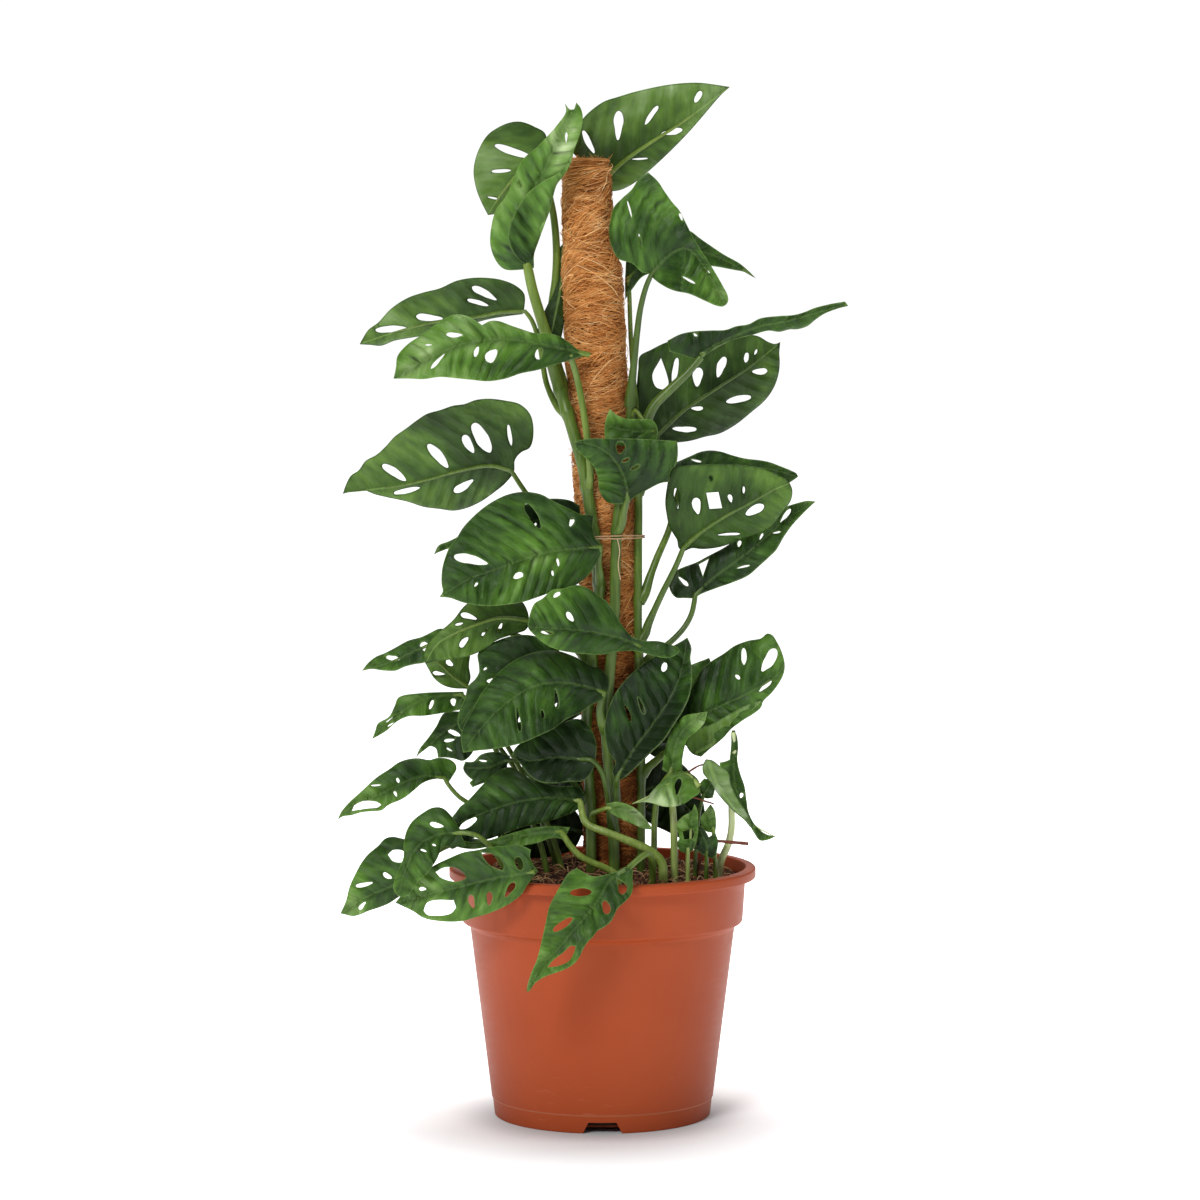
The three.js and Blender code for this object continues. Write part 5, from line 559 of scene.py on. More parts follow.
leaf("rear_inner", tone=0.16, front=(-24, -44, -4, 4, 0),
    edge=(28,226, 26,238, 30,252, 38,266, 50,277, 66,284, 70,272, 68,258, 62,244, 52,232, 42,225, 34,222),
    rib=(29,227, 42,246, 55,264, 66,282),
    stalk=dict(on="stem_back", at=228, via=[(12, 232, -29.5), (20, 230, -27.5)], size=(2, 1.6)))
leaf("rear_foot_left", tone=0.06, front=(-28, -42, -5, 5, 0),
    edge=(-14,171, -12,180, -18,190, -30,196, -44,194, -58,184, -66,170, -68,160, -56,160, -42,159, -28,161,
        -18,165),
    rib=(-14,176, -36,180, -56,172, -67,161),
    stalk=dict(on="stem_back", at=166, via=[(-6, 172, -31.5)], size=(2, 1.6)))
leaf("rear_foot_right", tone=0.04, front=(-24, -36, 5, -5, 0),
    edge=(20,190, 17,200, 22,212, 32,220, 44,221, 55,212, 62,196, 64,180, 62,166, 52,170, 40,176, 28,182),
    rib=(19,197, 36,204, 52,192, 62,168),
    stalk=dict(on="stem_back", at=192, via=[(9, 196, -31)], size=(2, 1.6)))


def paint(code):
    """A colour given as an sRGB hex code, in linear light."""
    parts = [int(code[i:i + 2], 16) / 255 for i in (1, 3, 5)]
    return tuple(c / 12.92 if c <= 0.04045 else ((c + 0.055) / 1.055) ** 2.4 for c in parts) + (1.0,)


def feed(tree, node, feeds):
    """Feeds a node's inputs, by name or in their order, with values, outputs or other nodes' first outputs."""
    for key, value in feeds.items() if isinstance(feeds, dict) else enumerate(feeds):
        if isinstance(value, bpy.types.Node):
            value = next(output for output in value.outputs if output.enabled)
        if isinstance(value, bpy.types.NodeSocket):
            tree.links.new(value, node.inputs[key])
        else:
            node.inputs[key].default_value = value


def add(tree, kind, feeds=(), stops=(), **settings):
    """Adds a node with its settings, and feeds its inputs; stops are a colour ramp's (position, hex code).
    A Map Range is fed with its value, the two ends that this comes from and the two that it goes to; a Mix
    takes its two colours at 6 and 7."""
    node = tree.nodes.new(kind)
    for key, value in settings.items():
        setattr(node, key, value)
    for i, (position, code) in enumerate(stops):
        stop = node.color_ramp.elements[i] if i < 2 else node.color_ramp.elements.new(position)
        stop.position, stop.color = position, paint(code)
    feed(tree, node, feeds)
    return node


def finish(name, **values):
    """A material with one shader, whose even values are set on its own sockets, and where a pattern reads
    its place: on the piece, in metres."""
    material = bpy.data.materials.new(name)
    material.use_nodes = True
    tree = material.node_tree
    tree.nodes.clear()
    shader = add(tree, "ShaderNodeBsdfPrincipled", {k.replace("_", " "): v for k, v in values.items()})
    add(tree, "ShaderNodeOutputMaterial", {"Surface": shader})
    return material, tree, shader, add(tree, "ShaderNodeTexCoord").outputs["Object"]


# Finishes. A pattern's scale is in cells to the metre: 1000 stands for cells 1 mm wide.

def leaf_finish(name, stops, vein_code, rim_code, shares, rough, pillow, **values):
    """Living leaf skin, waxy and half glossy: a green that varies over the blade and in streaks beside the
    side veins, pillowed between them, with a midrib, a margin line and a fine net of veins. The clouds are
    partly painted light and shade, the streaks are painted light and shade of the pillows, and the furrows
    and the rib's groove get painted shade."""
    material, tree, shader, spot = finish(name, IOR=1.45, Subsurface_Weight=0.1,
                                          Subsurface_Radius=(0.6, 1.0, 0.12), Subsurface_Scale=0.001, **values)
    tone, vein, across, margin, along = (
        add(tree, "ShaderNodeAttribute", attribute_name=key).outputs["Fac"]
        for key in ("tone", "vein", "across", "margin", "along"))
    # Clouds of lighter and darker green about 37 mm across: the leaf's own mottle, and painted light and shade
    clouds = add(tree, "ShaderNodeTexNoise", {"Vector": spot, "Scale": 27.0, "Detail": 3.0})
    # Streaks that run with the side veins, about 7 mm wide and 15 mm long, other ones on each leaf: painted
    # light and shade of the pillows between the veins
    outward = add(tree, "ShaderNodeMath", [across, 0.055], operation="MULTIPLY")
    beside = add(tree, "ShaderNodeCombineXYZ", [vein, outward, tone])
    own = add(tree, "ShaderNodeVectorMath", [spot, (8.0, 8.0, 8.0), beside], operation="MULTIPLY_ADD")
    streaks = add(tree, "ShaderNodeTexNoise", {"Vector": own, "Scale": 1.25, "Detail": 3.0, "Roughness": 0.55})
    # A blade is lighter towards its tip
    tipward = add(tree, "ShaderNodeMath", [along, 0.26, tone], operation="MULTIPLY_ADD")
    cloudy = add(tree, "ShaderNodeMath", [clouds, 1.3, tipward], operation="MULTIPLY_ADD")
    light = add(tree, "ShaderNodeMath", [streaks, shares["streak"], cloudy], operation="MULTIPLY_ADD")
    centred = add(tree, "ShaderNodeMath", [light, 0.77 + shares["streak"] / 2], operation="SUBTRACT")
    green = add(tree, "ShaderNodeValToRGB", [centred], stops)
    # Side veins, each with painted shade in its furrow, which comes and goes every 15 mm or so and fades near
    # the margin
    turn = add(tree, "ShaderNodeMath", [vein, 0.5], operation="PINGPONG")
    line = add(tree, "ShaderNodeMapRange", [turn, 0.015, 0.06, shares["vein"], 0.0],
               interpolation_type="SMOOTHSTEP")
    sunk = add(tree, "ShaderNodeMapRange", [turn, 0.0, 0.3, shares["furrow"], 0.0],
               interpolation_type="SMOOTHSTEP")
    inland = add(tree, "ShaderNodeMapRange", [margin, 1.0, 9.0, 0.1, 1.0])
    uneven = add(tree, "ShaderNodeTexNoise", {"Vector": spot, "Scale": 65.0, "Detail": 1.0})
    comes = add(tree, "ShaderNodeMapRange", [uneven, 0.35, 0.65, 0.15, 1.0])
    furrow = add(tree, "ShaderNodeMath", [sunk, inland], operation="MULTIPLY")
    painted_furrow_shade = add(tree, "ShaderNodeMath", [furrow, comes], operation="MULTIPLY")
    # The groove along the midrib gets painted shade too
    off = add(tree, "ShaderNodeMath", [across], operation="ABSOLUTE")
    painted_rib_groove_shade = add(tree, "ShaderNodeMapRange", [off, 0.5, 5.5, shares["painted_rib_groove_shade"], 0.0],
                 interpolation_type="SMOOTHSTEP")
    # Painted shade: the furrows and the rib's groove are mixed towards the darkest green
    dark = add(tree, "ShaderNodeMath", [painted_furrow_shade, painted_rib_groove_shade], operation="MAXIMUM")
    deep = add(tree, "ShaderNodeMix", {0: dark, 6: green, 7: paint(stops[0][1])}, data_type="RGBA")
    # Midrib, which narrows from 1.5 mm to 0.4 mm either way at the tip
    rib_width = add(tree, "ShaderNodeMapRange", [along, 0.0, 1.0, 1.5, 0.4])
    rib_share = add(tree, "ShaderNodeMath", [off, rib_width], operation="DIVIDE")
    rib = add(tree, "ShaderNodeMapRange", [rib_share, 0.45, 1.0, shares["rib"], 0.0],
              interpolation_type="SMOOTHSTEP")
    pale = add(tree, "ShaderNodeMath", [line, rib], operation="MAXIMUM")
    veined = add(tree, "ShaderNodeMix", {0: pale, 6: deep, 7: paint(vein_code)}, data_type="RGBA")
    # Margin, a thin edge of another tint, paler on the upper skin and darker on the underside
    rim = add(tree, "ShaderNodeMapRange", [margin, 0.15, 0.8, shares["rim"], 0.0],
              interpolation_type="SMOOTHSTEP")
    colour = add(tree, "ShaderNodeMix", {0: rim, 6: veined, 7: paint(rim_code)}, data_type="RGBA")
    # The pillows between side veins, up to two millimetres high
    swell = add(tree, "ShaderNodeMath", [turn, 0.6], operation="POWER")
    faded = add(tree, "ShaderNodeMath", [swell, comes], operation="MULTIPLY")
    bumpy = add(tree, "ShaderNodeMath", [streaks, 0.7, faded], operation="MULTIPLY_ADD")
    pillows = add(tree, "ShaderNodeBump", {"Height": bumpy, "Strength": abs(pillow), "Distance": 0.0022},
                  invert=pillow < 0)
    # The net of smallest veins, about 1.3 mm a mesh, in a mottle of 4 mm
    net = add(tree, "ShaderNodeTexVoronoi", {"Vector": spot, "Scale": 750.0}, feature="DISTANCE_TO_EDGE")
    mottle = add(tree, "ShaderNodeTexNoise", {"Vector": spot, "Scale": 260.0, "Detail": 2.0})
    height = add(tree, "ShaderNodeMath", [net, 0.5, mottle], operation="MULTIPLY_ADD")
    bump = add(tree, "ShaderNodeBump", {"Height": height, "Strength": 0.25, "Distance": 0.0005,
                                        "Normal": pillows})
    gloss = add(tree, "ShaderNodeMapRange", [mottle, 0.3, 0.7, rough - 0.06, rough + 0.08])
    feed(tree, shader, {"Base Color": colour, "Normal": bump, "Roughness": gloss})
    return material


def stalk_finish():
    """Juicy stalk skin: light green with faint streaks 23 mm long and 1.6 mm wide, and a soft shine."""
    material, tree, shader, spot = finish("stalk_skin", IOR=1.42, Subsurface_Weight=0.12,
                                          Subsurface_Radius=(0.5, 1.0, 0.2), Subsurface_Scale=0.0015)
    tone = add(tree, "ShaderNodeAttribute", attribute_name="tone").outputs["Fac"]
    drawn = add(tree, "ShaderNodeMapping", {"Vector": spot, "Scale": (1.0, 1.0, 0.07)})
    streaks = add(tree, "ShaderNodeTexNoise", {"Vector": drawn, "Scale": 620.0, "Detail": 3.0})
    clouds = add(tree, "ShaderNodeTexNoise", {"Vector": spot, "Scale": 45.0, "Detail": 2.0})
    both = add(tree, "ShaderNodeMath", [streaks, clouds], operation="ADD")
    light = add(tree, "ShaderNodeMath", [both, 0.4, tone], operation="MULTIPLY_ADD")
    centred = add(tree, "ShaderNodeMath", [light, 0.4], operation="SUBTRACT")
    green = add(tree, "ShaderNodeValToRGB", [centred], [(0.0, "#22350e"), (0.35, "#435b1a"), (0.65, "#6c8232"),
                                                        (0.85, "#95a65c"), (1.0, "#bcc794")])
    gloss = add(tree, "ShaderNodeMapRange", [streaks, 0.0, 1.0, 0.3, 0.44])
    bump = add(tree, "ShaderNodeBump", {"Height": streaks, "Strength": 0.2, "Distance": 0.0003})
    feed(tree, shader, {"Base Color": green, "Normal": bump, "Roughness": gloss})
    return material


def pot_finish():
    """Injection moulded polypropylene, terracotta tint: satin, evenly coloured, faint scuffs near the foot and
    a painted highlight along the step above it.
    """
    material, tree, shader, spot = finish("moulded_polypropylene", IOR=1.49, Specular_IOR_Level=0.15)
    clouds = add(tree, "ShaderNodeTexNoise", {"Vector": spot, "Scale": 9.0, "Detail": 4.0})
    tint = add(tree, "ShaderNodeValToRGB", [clouds], [(0.3, "#9b411e"), (0.7, "#a64a26")])
    # Scuffs: pale marks about 17 mm long and 3 mm high, stronger towards the foot
    drawn = add(tree, "ShaderNodeMapping", {"Vector": spot, "Scale": (1.0, 1.0, 5.0)})
    marks = add(tree, "ShaderNodeTexNoise", {"Vector": drawn, "Scale": 60.0, "Detail": 6.0, "Roughness": 0.7})
    sparse = add(tree, "ShaderNodeMapRange", [marks, 0.6, 0.75, 0.0, 1.0])
    height = add(tree, "ShaderNodeSeparateXYZ", [spot]).outputs["Z"]
    low = add(tree, "ShaderNodeMapRange", [height, 0.0, 0.05, 0.35, 0.04])
    scuffed = add(tree, "ShaderNodeMath", [sparse, low], operation="MULTIPLY")
    # A painted highlight: the edge of the step above the foot is painted lighter in a thin band
    above = add(tree, "ShaderNodeMath", [height, STEP_HEIGHT * MM], operation="SUBTRACT")
    away = add(tree, "ShaderNodeMath", [above], operation="ABSOLUTE")
    painted_step_highlight = add(tree, "ShaderNodeMapRange", [away, 0.0002, 0.0008, 0.4, 0.0],
                 interpolation_type="SMOOTHSTEP")
    # Scuffs and the painted highlight share one paler colour
    scuffs_and_highlight = add(tree, "ShaderNodeMath", [scuffed, painted_step_highlight], operation="MAXIMUM")
    colour = add(tree, "ShaderNodeMix", {0: scuffs_and_highlight, 6: tint, 7: paint("#c98a68")}, data_type="RGBA")
    gloss = add(tree, "ShaderNodeMapRange", [marks, 0.3, 0.8, 0.42, 0.55])
    # The mould's fine grain, 1.1 mm
    speck = add(tree, "ShaderNodeTexNoise", {"Vector": spot, "Scale": 900.0, "Detail": 2.0})
    bump = add(tree, "ShaderNodeBump", {"Height": speck, "Strength": 0.08, "Distance": 0.0002})
    feed(tree, shader, {"Base Color": colour, "Normal": bump, "Roughness": gloss})
    return material


def fibre_finish(name, stops, rough):
    """Dry plant matter: matt, each strand or grain its own brown, with 6 mm blotches and a 0.7 mm grain."""
    material, tree, shader, spot = finish(name, IOR=1.5, Specular_IOR_Level=0.25, Roughness=rough)
    tone = add(tree, "ShaderNodeAttribute", attribute_name="tone").outputs["Fac"]
    blotches = add(tree, "ShaderNodeTexNoise", {"Vector": spot, "Scale": 160.0, "Detail": 4.0})
    light = add(tree, "ShaderNodeMath", [blotches, 0.7, tone], operation="MULTIPLY_ADD")
    centred = add(tree, "ShaderNodeMath", [light, 0.35], operation="SUBTRACT")
    brown = add(tree, "ShaderNodeValToRGB", [centred], stops)
    grain = add(tree, "ShaderNodeTexNoise", {"Vector": spot, "Scale": 1400.0, "Detail": 2.0})
    bump = add(tree, "ShaderNodeBump", {"Height": grain, "Strength": 0.4, "Distance": 0.0003})
    feed(tree, shader, {"Base Color": brown, "Normal": bump})
    return material


# Shares set how strong each mark is; the furrow share and the rib groove share are painted shade
UPPER_SKIN = leaf_finish(
    "leaf_upper_skin", [(0.0, "#13240b"), (0.15, "#1d350f"), (0.38, "#335219"), (0.6, "#4f7527"),
                        (0.8, "#71914b"), (1.0, "#a6bb88")], "#6f9148", "#87a65a",
    {"streak": 0.72, "vein": 0.04, "furrow": 0.85, "painted_rib_groove_shade": 0.4, "rib": 0.16, "rim": 0.25}, 0.46, 1.0,
    Specular_IOR_Level=0.22)
UNDER_SKIN = leaf_finish(
    "leaf_underside_skin", [(0.0, "#203410"), (0.28, "#354f1d"), (0.55, "#53722c"), (0.82, "#728b57"),
                            (1.0, "#a2b490")], "#84a455", "#22331a",
    {"streak": 0.6, "vein": 0.04, "furrow": 0.4, "painted_rib_groove_shade": 0.25, "rib": 0.35, "rim": 0.55}, 0.52, -0.7,
    Specular_IOR_Level=0.2)
STALK_SKIN = stalk_finish()
POT_PLASTIC = pot_finish()
# Coconut fibre, dry and golden where it is wound; the mat below is painted darker, painted shade for the gaps
# between the strands
COIR = fibre_finish("coir_strand", [(0.0, "#8d5022"), (0.3, "#c7803f"), (0.62, "#e4a660"), (1.0, "#f5d096")],
                    0.85)
SHADED_COIR_MAT = fibre_finish("coir_mat_painted_shade", [(0.0, "#553015"), (0.5, "#8c552a"), (1.0, "#b47a46")], 0.95)
# Damp peat mix, dark and dull, with paler straw in it
SOIL = fibre_finish("damp_potting_soil", [(0.0, "#28160d"), (0.4, "#4b2d1c"), (0.75, "#714930"),
                                          (1.0, "#986b49")], 0.95)
STRAW = fibre_finish("soil_fibre", [(0.0, "#6c492e"), (0.5, "#a57d55"), (1.0, "#d8b68c")], 0.9)
# Reddish dry bark, pale twisted thread, and sawn softwood
BARK = fibre_finish("twig_bark", [(0.0, "#4a261b"), (0.5, "#73402f"), (1.0, "#9c6048")], 0.75)
THREAD = fibre_finish("tie_thread", [(0.0, "#7a5a40"), (0.5, "#a58564"), (1.0, "#cbb092")], 0.8)
WOOD = fibre_finish("stake_wood", [(0.0, "#9c7a4e"), (0.5, "#c2a072"), (1.0, "#dcc096")], 0.8)


# Paths and outlines

def place(x, z, front):
    """A point read from the front, slid towards the eye along its line of sight."""
    k = (EYE_DISTANCE - front) / EYE_DISTANCE
    return Vector((EYE_SIDE + (x - EYE_SIDE) * k, -front, EYE_HEIGHT + (z - EYE_HEIGHT) * k))


def pairs(flat):
    return [Vector(flat[i:i + 2]) for i in range(0, len(flat), 2)]


def between(p0, p1, p2, p3, share):
    """A point on the even curve from p1 to p2."""
    k1 = max((p1 - p0).length, 1e-6) ** 0.5
    k2 = k1 + max((p2 - p1).length, 1e-6) ** 0.5
    k3 = k2 + max((p3 - p2).length, 1e-6) ** 0.5
    t = k1 + (k2 - k1) * share
    a1 = p0 * ((k1 - t) / k1) + p1 * (t / k1)
    a2 = p1 * ((k2 - t) / (k2 - k1)) + p2 * ((t - k1) / (k2 - k1))
    a3 = p2 * ((k3 - t) / (k3 - k2)) + p3 * ((t - k2) / (k3 - k2))
    b1 = a1 * ((k2 - t) / k2) + a2 * (t / k2)
    b2 = a2 * ((k3 - t) / (k3 - k1)) + a3 * ((t - k1) / (k3 - k1))
    return b1 * ((k2 - t) / (k2 - k1)) + b2 * ((t - k1) / (k2 - k1))


def curve(points, step):
    """An open smooth path through points, with a point about every step."""
    path = []
    for i in range(len(points) - 1):
        p1, p2 = points[i], points[i + 1]
        p0 = points[i - 1] if i else p1 * 2 - p2
        p3 = points[i + 2] if i + 2 < len(points) else p2 * 2 - p1
        count = max(1, round((p2 - p1).length / step))
        path += [between(p0, p1, p2, p3, k / count) for k in range(count)]
    return path + [points[-1]]


def outline(points, step):
    """A closed smooth outline that keeps its sharp corners."""
    count = len(points)
    ways = [points[(i + 1) % count] - points[i] for i in range(count)]
    sharp = [ways[i - 1].angle(ways[i], 0) > CORNER for i in range(count)]
    ring = []
    for i in range(count):
        p1, p2 = points[i], points[(i + 1) % count]
        p0 = p1 * 2 - p2 if sharp[i] else points[i - 1]
        p3 = p2 * 2 - p1 if sharp[(i + 1) % count] else points[(i + 2) % count]
        steps = max(1, round((p2 - p1).length / step))
        ring += [between(p0, p1, p2, p3, k / steps) for k in range(steps)]
    return ring


def hole_outline(hole):
    """A hole in a blade: an uneven drop that is narrow towards the rib, or an outline of its own."""
    if len(hole) > 5:
        return outline(pairs(hole), EDGE_STEP)
    start, end = Vector(hole[0:2]), Vector(hole[2:4])
    along = end - start
    across = Vector((-along.y, along.x)).normalized() * (hole[4] / 2)
    count = max(9, round(along.length * 2.2 / EDGE_STEP))
    ring = []
    for k in range(count):
        turn = 2 * math.pi * k / count
        share = (1 - math.cos(turn)) / 2
        wide = 0.66 + 0.46 * share + 0.14 * noise.noise(Vector((start.x, start.y, 2 * math.cos(turn))))
        skew = 0.14 * math.sin(2 * turn + start.x) * math.sin(turn) ** 2
        ring.append(start + along * (share + 0.02 * math.sin(3 * turn + start.y) * math.sin(turn) ** 2)
                    - across * (math.sin(turn) * wide + skew))
    return ring


# Blades

def spline(points, count):
    """Points at even shares of a plain smooth curve through points."""
    last = len(points) - 1
    result = []
    for k in range(count + 1):
        at = last * k / count
        i = min(int(at), last - 1)
        t = at - i
        p0, p1, p2, p3 = (points[min(max(n, 0), last)] for n in (i - 1, i, i + 1, i + 2))
        v0, v1 = (p2 - p0) * 0.5, (p3 - p1) * 0.5
        result.append((p1 * 2 - p2 * 2 + v0 + v1) * t ** 3 + (p2 * 3 - p1 * 3 - v0 * 2 - v1) * t ** 2
                      + v0 * t + p1)
    return result


def nearest(points, starts, ends):
    """For each point: distance to the nearest of the segments, which one it is, and the share along it."""
    along = ends - starts
    away = points[:, None, :] - starts[None, :, :]
    share = np.clip((away * along).sum(2) / np.maximum((along ** 2).sum(1), 1e-9), 0, 1)
    gap = np.linalg.norm(away - along * share[:, :, None], axis=2)
    which = gap.argmin(1)
    rows = np.arange(len(points))
    return gap[rows, which], which, share[rows, which]


class Panel:
    """One smooth panel of a blade: where its points lie along and across the rib, and how far they slide."""

    def __init__(self, data, seed):
        self.seed = seed
        self.edge = pairs(data["edge"])
        self.holes = data.get("holes", [])
        self.rib = spline(pairs(data["rib"]), 24)
        self.front = data["front"]
        ribs = np.array(self.rib)
        self.starts, self.ends = ribs[:-1], ribs[1:]
        steps = np.linalg.norm(self.ends - self.starts, axis=1)
        self.length = steps.sum()
        self.sums = np.concatenate([[0], np.cumsum(steps)])
        side = self.coordinates(np.array(self.edge))[1]
        self.left = max(side.max(), 1)
        self.right = max(-side.min(), 1)

    def coordinates(self, points):
        """Millimetres along the rib, to its left along its normal, and to its left by the shortest way."""
        gap, which, share = nearest(points, self.starts, self.ends)
        way = (self.ends - self.starts)[which]
        away = points - (self.starts[which] + way * share[:, None])
        sign = np.sign(way[:, 0] * away[:, 1] - way[:, 1] * away[:, 0])
        unit = way / np.maximum(np.linalg.norm(way, axis=1), 1e-9)[:, None]
        side = unit[:, 0] * away[:, 1] - unit[:, 1] * away[:, 0]
        return self.sums[which] + (self.sums[which + 1] - self.sums[which]) * share, side, gap * sign

    def slide(self, points):
        """How far points slide towards the eye."""
        along, side, _ = self.coordinates(points)
        share = along / self.length
        base, tip, left, right, bow = self.front
        across = np.minimum(1, np.where(side > 0, side / self.left, -side / self.right))
        wave = WAVE * np.sin(2 * math.pi * (WAVES_ALONG * share + self.seed)) * across ** 2
        return (base + (tip - base) * share + bow * 4 * share * (1 - share)
                + np.where(side > 0, left, right) * np.abs(across) ** 1.6 + wave)

    def veins(self, points):
        """Phase of the side veins, whole numbers on a vein."""
        along, _, gap = self.coordinates(points)
        off = np.abs(gap)
        shift = np.where(gap > 0, 0.0, RIGHT_VEINS_SHIFT)
        return (along - VEIN_SLANT * off - VEIN_CURVE * off ** 2) / VEIN_SPACING + shift


def inside(points, ring):
    """Which points lie inside a ring."""
    x, y = points[:, 0], points[:, 1]
    result = np.zeros(len(points), bool)
    for i in range(len(ring)):
        (x0, y0), (x1, y1) = ring[i - 1], ring[i]
        if y0 != y1:
            result ^= ((y0 > y) != (y1 > y)) & (x < x0 + (y - y0) / (y1 - y0) * (x1 - x0))
    return result


def within(points, rings):
    """Which points lie inside the first ring and in none of the others, the holes."""
    keep = inside(points, rings[0])
    for ring in rings[1:]:
        keep &= ~inside(points, ring)
    return keep


def distance(points, rings):
    """How far points are from the nearest of the rings."""
    ends = [np.roll(ring, -1, axis=0) for ring in rings]
    return nearest(points, np.concatenate(rings), np.concatenate(ends))[0]


def cut_flat(panel):
    """A panel in the flat: its points, its triangles, and the rings of its outline and holes."""
    drawn = [outline(panel.edge, EDGE_STEP)] + [hole_outline(hole) for hole in panel.holes]
    rings = [np.array(ring) for ring in drawn]
    drawn_points = np.concatenate(rings)
    low, high = drawn_points.min(0), drawn_points.max(0)
    grid = np.array([(low[0] + MESH_STEP * (column + (row % 2) / 2), low[1] + MESH_STEP * ROW_SHARE * row)
                     for row in range(int((high[1] - low[1]) / MESH_STEP / ROW_SHARE) + 2)
                     for column in range(int((high[0] - low[0]) / MESH_STEP) + 2)])
    clear_of_rib = nearest(grid, panel.starts, panel.ends)[0] > MESH_STEP * 0.6
    inner = np.concatenate([grid[clear_of_rib], np.array(curve(panel.rib, MESH_STEP))])
    inner = inner[within(inner, rings) & (distance(inner, rings) > EDGE_STEP * 0.55)]
    edges, first = [], 0
    for ring in rings:
        edges += [(first + i, first + (i + 1) % len(ring)) for i in range(len(ring))]
        first += len(ring)
    flat = [Vector(p) for p in np.concatenate([drawn_points, inner])]
    points, _, faces, _, _, _ = delaunay_2d_cdt(flat, edges, [], 0, 1e-5)
    points = np.array([tuple(p) for p in points])
    faces = np.array([f for f in faces if len(f) == 3])
    faces = faces[within(points[faces].mean(1), rings)]
    a, b, c = (points[faces[:, i]] for i in range(3))
    area = (b[:, 0] - a[:, 0]) * (c[:, 1] - a[:, 1]) - (b[:, 1] - a[:, 1]) * (c[:, 0] - a[:, 0])
    faces = np.where((area > 0)[:, None], faces, faces[:, [0, 2, 1]])[np.abs(area) > 1e-4]
    used, faces = np.unique(faces, return_inverse=True)
    return points[used], faces.reshape(-1, 3), rings


def noise_at(points):
    return np.array([noise.noise(Vector(p)) for p in points])


def blade(panel, shows_underside, tone):
    """The two skins of a panel and the wall between them, as points, faces and point values."""
    points, faces, rings = cut_flat(panel)
    along, _, gap = panel.coordinates(points)
    off = np.abs(gap)
    vein = panel.veins(points)
    margin, outer = distance(points, rings), distance(points, rings[:1])
    up = -1.0 if shows_underside else 1.0
    seed = panel.seed * 40
    puff = 0.9 + noise_at((math.floor(v) * 3.7, s, seed) for v, s in zip(vein, np.sign(gap)))
    quilt = (puff * np.abs(np.sin(math.pi * vein)) ** 0.7 * np.clip(off / 4, 0, 1)
             * np.clip(outer / 9, 0.15, 1))
    groove = GROOVE * np.exp(-(off / GROOVE_WIDTH) ** 2)
    crease = noise_at((x / SWELL_WIDTH, z / SWELL_WIDTH, seed) for x, z in points)
    ripple = noise_at((x / RIPPLE_WIDTH, z / RIPPLE_WIDTH, seed + 9) for x, z in points)
    front = (panel.slide(points) + up * (QUILTING * quilt - groove) + SWELLS * crease * np.clip(off / 6, 0.3, 1)
             + RIPPLE * ripple * np.clip(1 - outer / RIPPLE_WIDTH, 0, 1))
    solid = np.array([tuple(place(x, z, f)) for (x, z), f in zip(points, front)])
    corners = solid[faces]
    face_normal = np.cross(corners[:, 1] - corners[:, 0], corners[:, 2] - corners[:, 0])
    normal = np.zeros_like(solid)
    for i in range(3):
        np.add.at(normal, faces[:, i], face_normal)
    normal /= np.maximum(np.linalg.norm(normal, axis=1), 1e-9)[:, None]
    half = (MARGIN_BLADE + (BLADE - MARGIN_BLADE) * np.clip(margin / 3, 0, 1))[:, None] / 2
    count = len(points)
    directed = {(int(f[i]), int(f[(i + 1) % 3])) for f in faces for i in range(3)}
    walls = [(a, a + count, b + count, b) for a, b in sorted(directed) if (b, a) not in directed]
    triangles = [tuple(int(v) for v in f) for f in faces]
    front_skin = 1 if shows_underside else 0
    return {
        "points": np.concatenate([solid + normal * half, solid - normal * half]),
        "faces": triangles + [(a + count, c + count, b + count) for a, b, c in triangles] + walls,
        "skins": [front_skin] * len(triangles) + [1 - front_skin] * len(triangles) + [0] * len(walls),
        "values": {"tone": np.full(2 * count, tone), "vein": np.tile(vein, 2), "across": np.tile(gap, 2),
                   "margin": np.tile(margin, 2), "along": np.tile(along / panel.length, 2)},
    }


# Meshes

def linked(name, data):
    """A new object in the scene."""
    thing = bpy.data.objects.new(name, data)
    bpy.context.collection.objects.link(thing)
    return thing


def new_piece(name, points, edges, faces, values=()):
    """A piece of points in metres, with values that belong to the points."""
    mesh = bpy.data.meshes.new(name)
    mesh.from_pydata(points, edges, faces)
    for key, numbers in dict(values).items():
        mesh.attributes.new(key, "FLOAT", "POINT").data.foreach_set("value", [float(v) for v in numbers])
    return linked(name, mesh)


def new_solid(name, points, faces, materials, skins=(), values=()):
    """A smooth piece of points in millimetres; skins says which of the materials each face bears."""
    piece = new_piece(name, [tuple(v * MM for v in p) for p in points], [], faces, values)
    for material in materials:
        piece.data.materials.append(material)
    if skins:
        piece.data.polygons.foreach_set("material_index", skins)
    piece.data.shade_smooth()
    return piece


def made_plain(piece):
    """Keeps what a piece's modifiers make of it as a plain mesh."""
    shaped = piece.evaluated_get(bpy.context.evaluated_depsgraph_get())
    mesh = bpy.data.meshes.new_from_object(shaped)
    piece.modifiers.clear()
    piece.data = mesh
    mesh.name = piece.name
    return piece


def shaped_by(piece, tree, **inputs):
    """Runs a node tree on a piece and keeps the result as a plain mesh."""
    modifier = piece.modifiers.new("shape", "NODES")
    modifier.node_group = tree
    for item in tree.interface.items_tree:
        if item.in_out == "INPUT" and item.name in inputs:
            modifier[item.identifier] = inputs[item.name]
    return made_plain(piece)


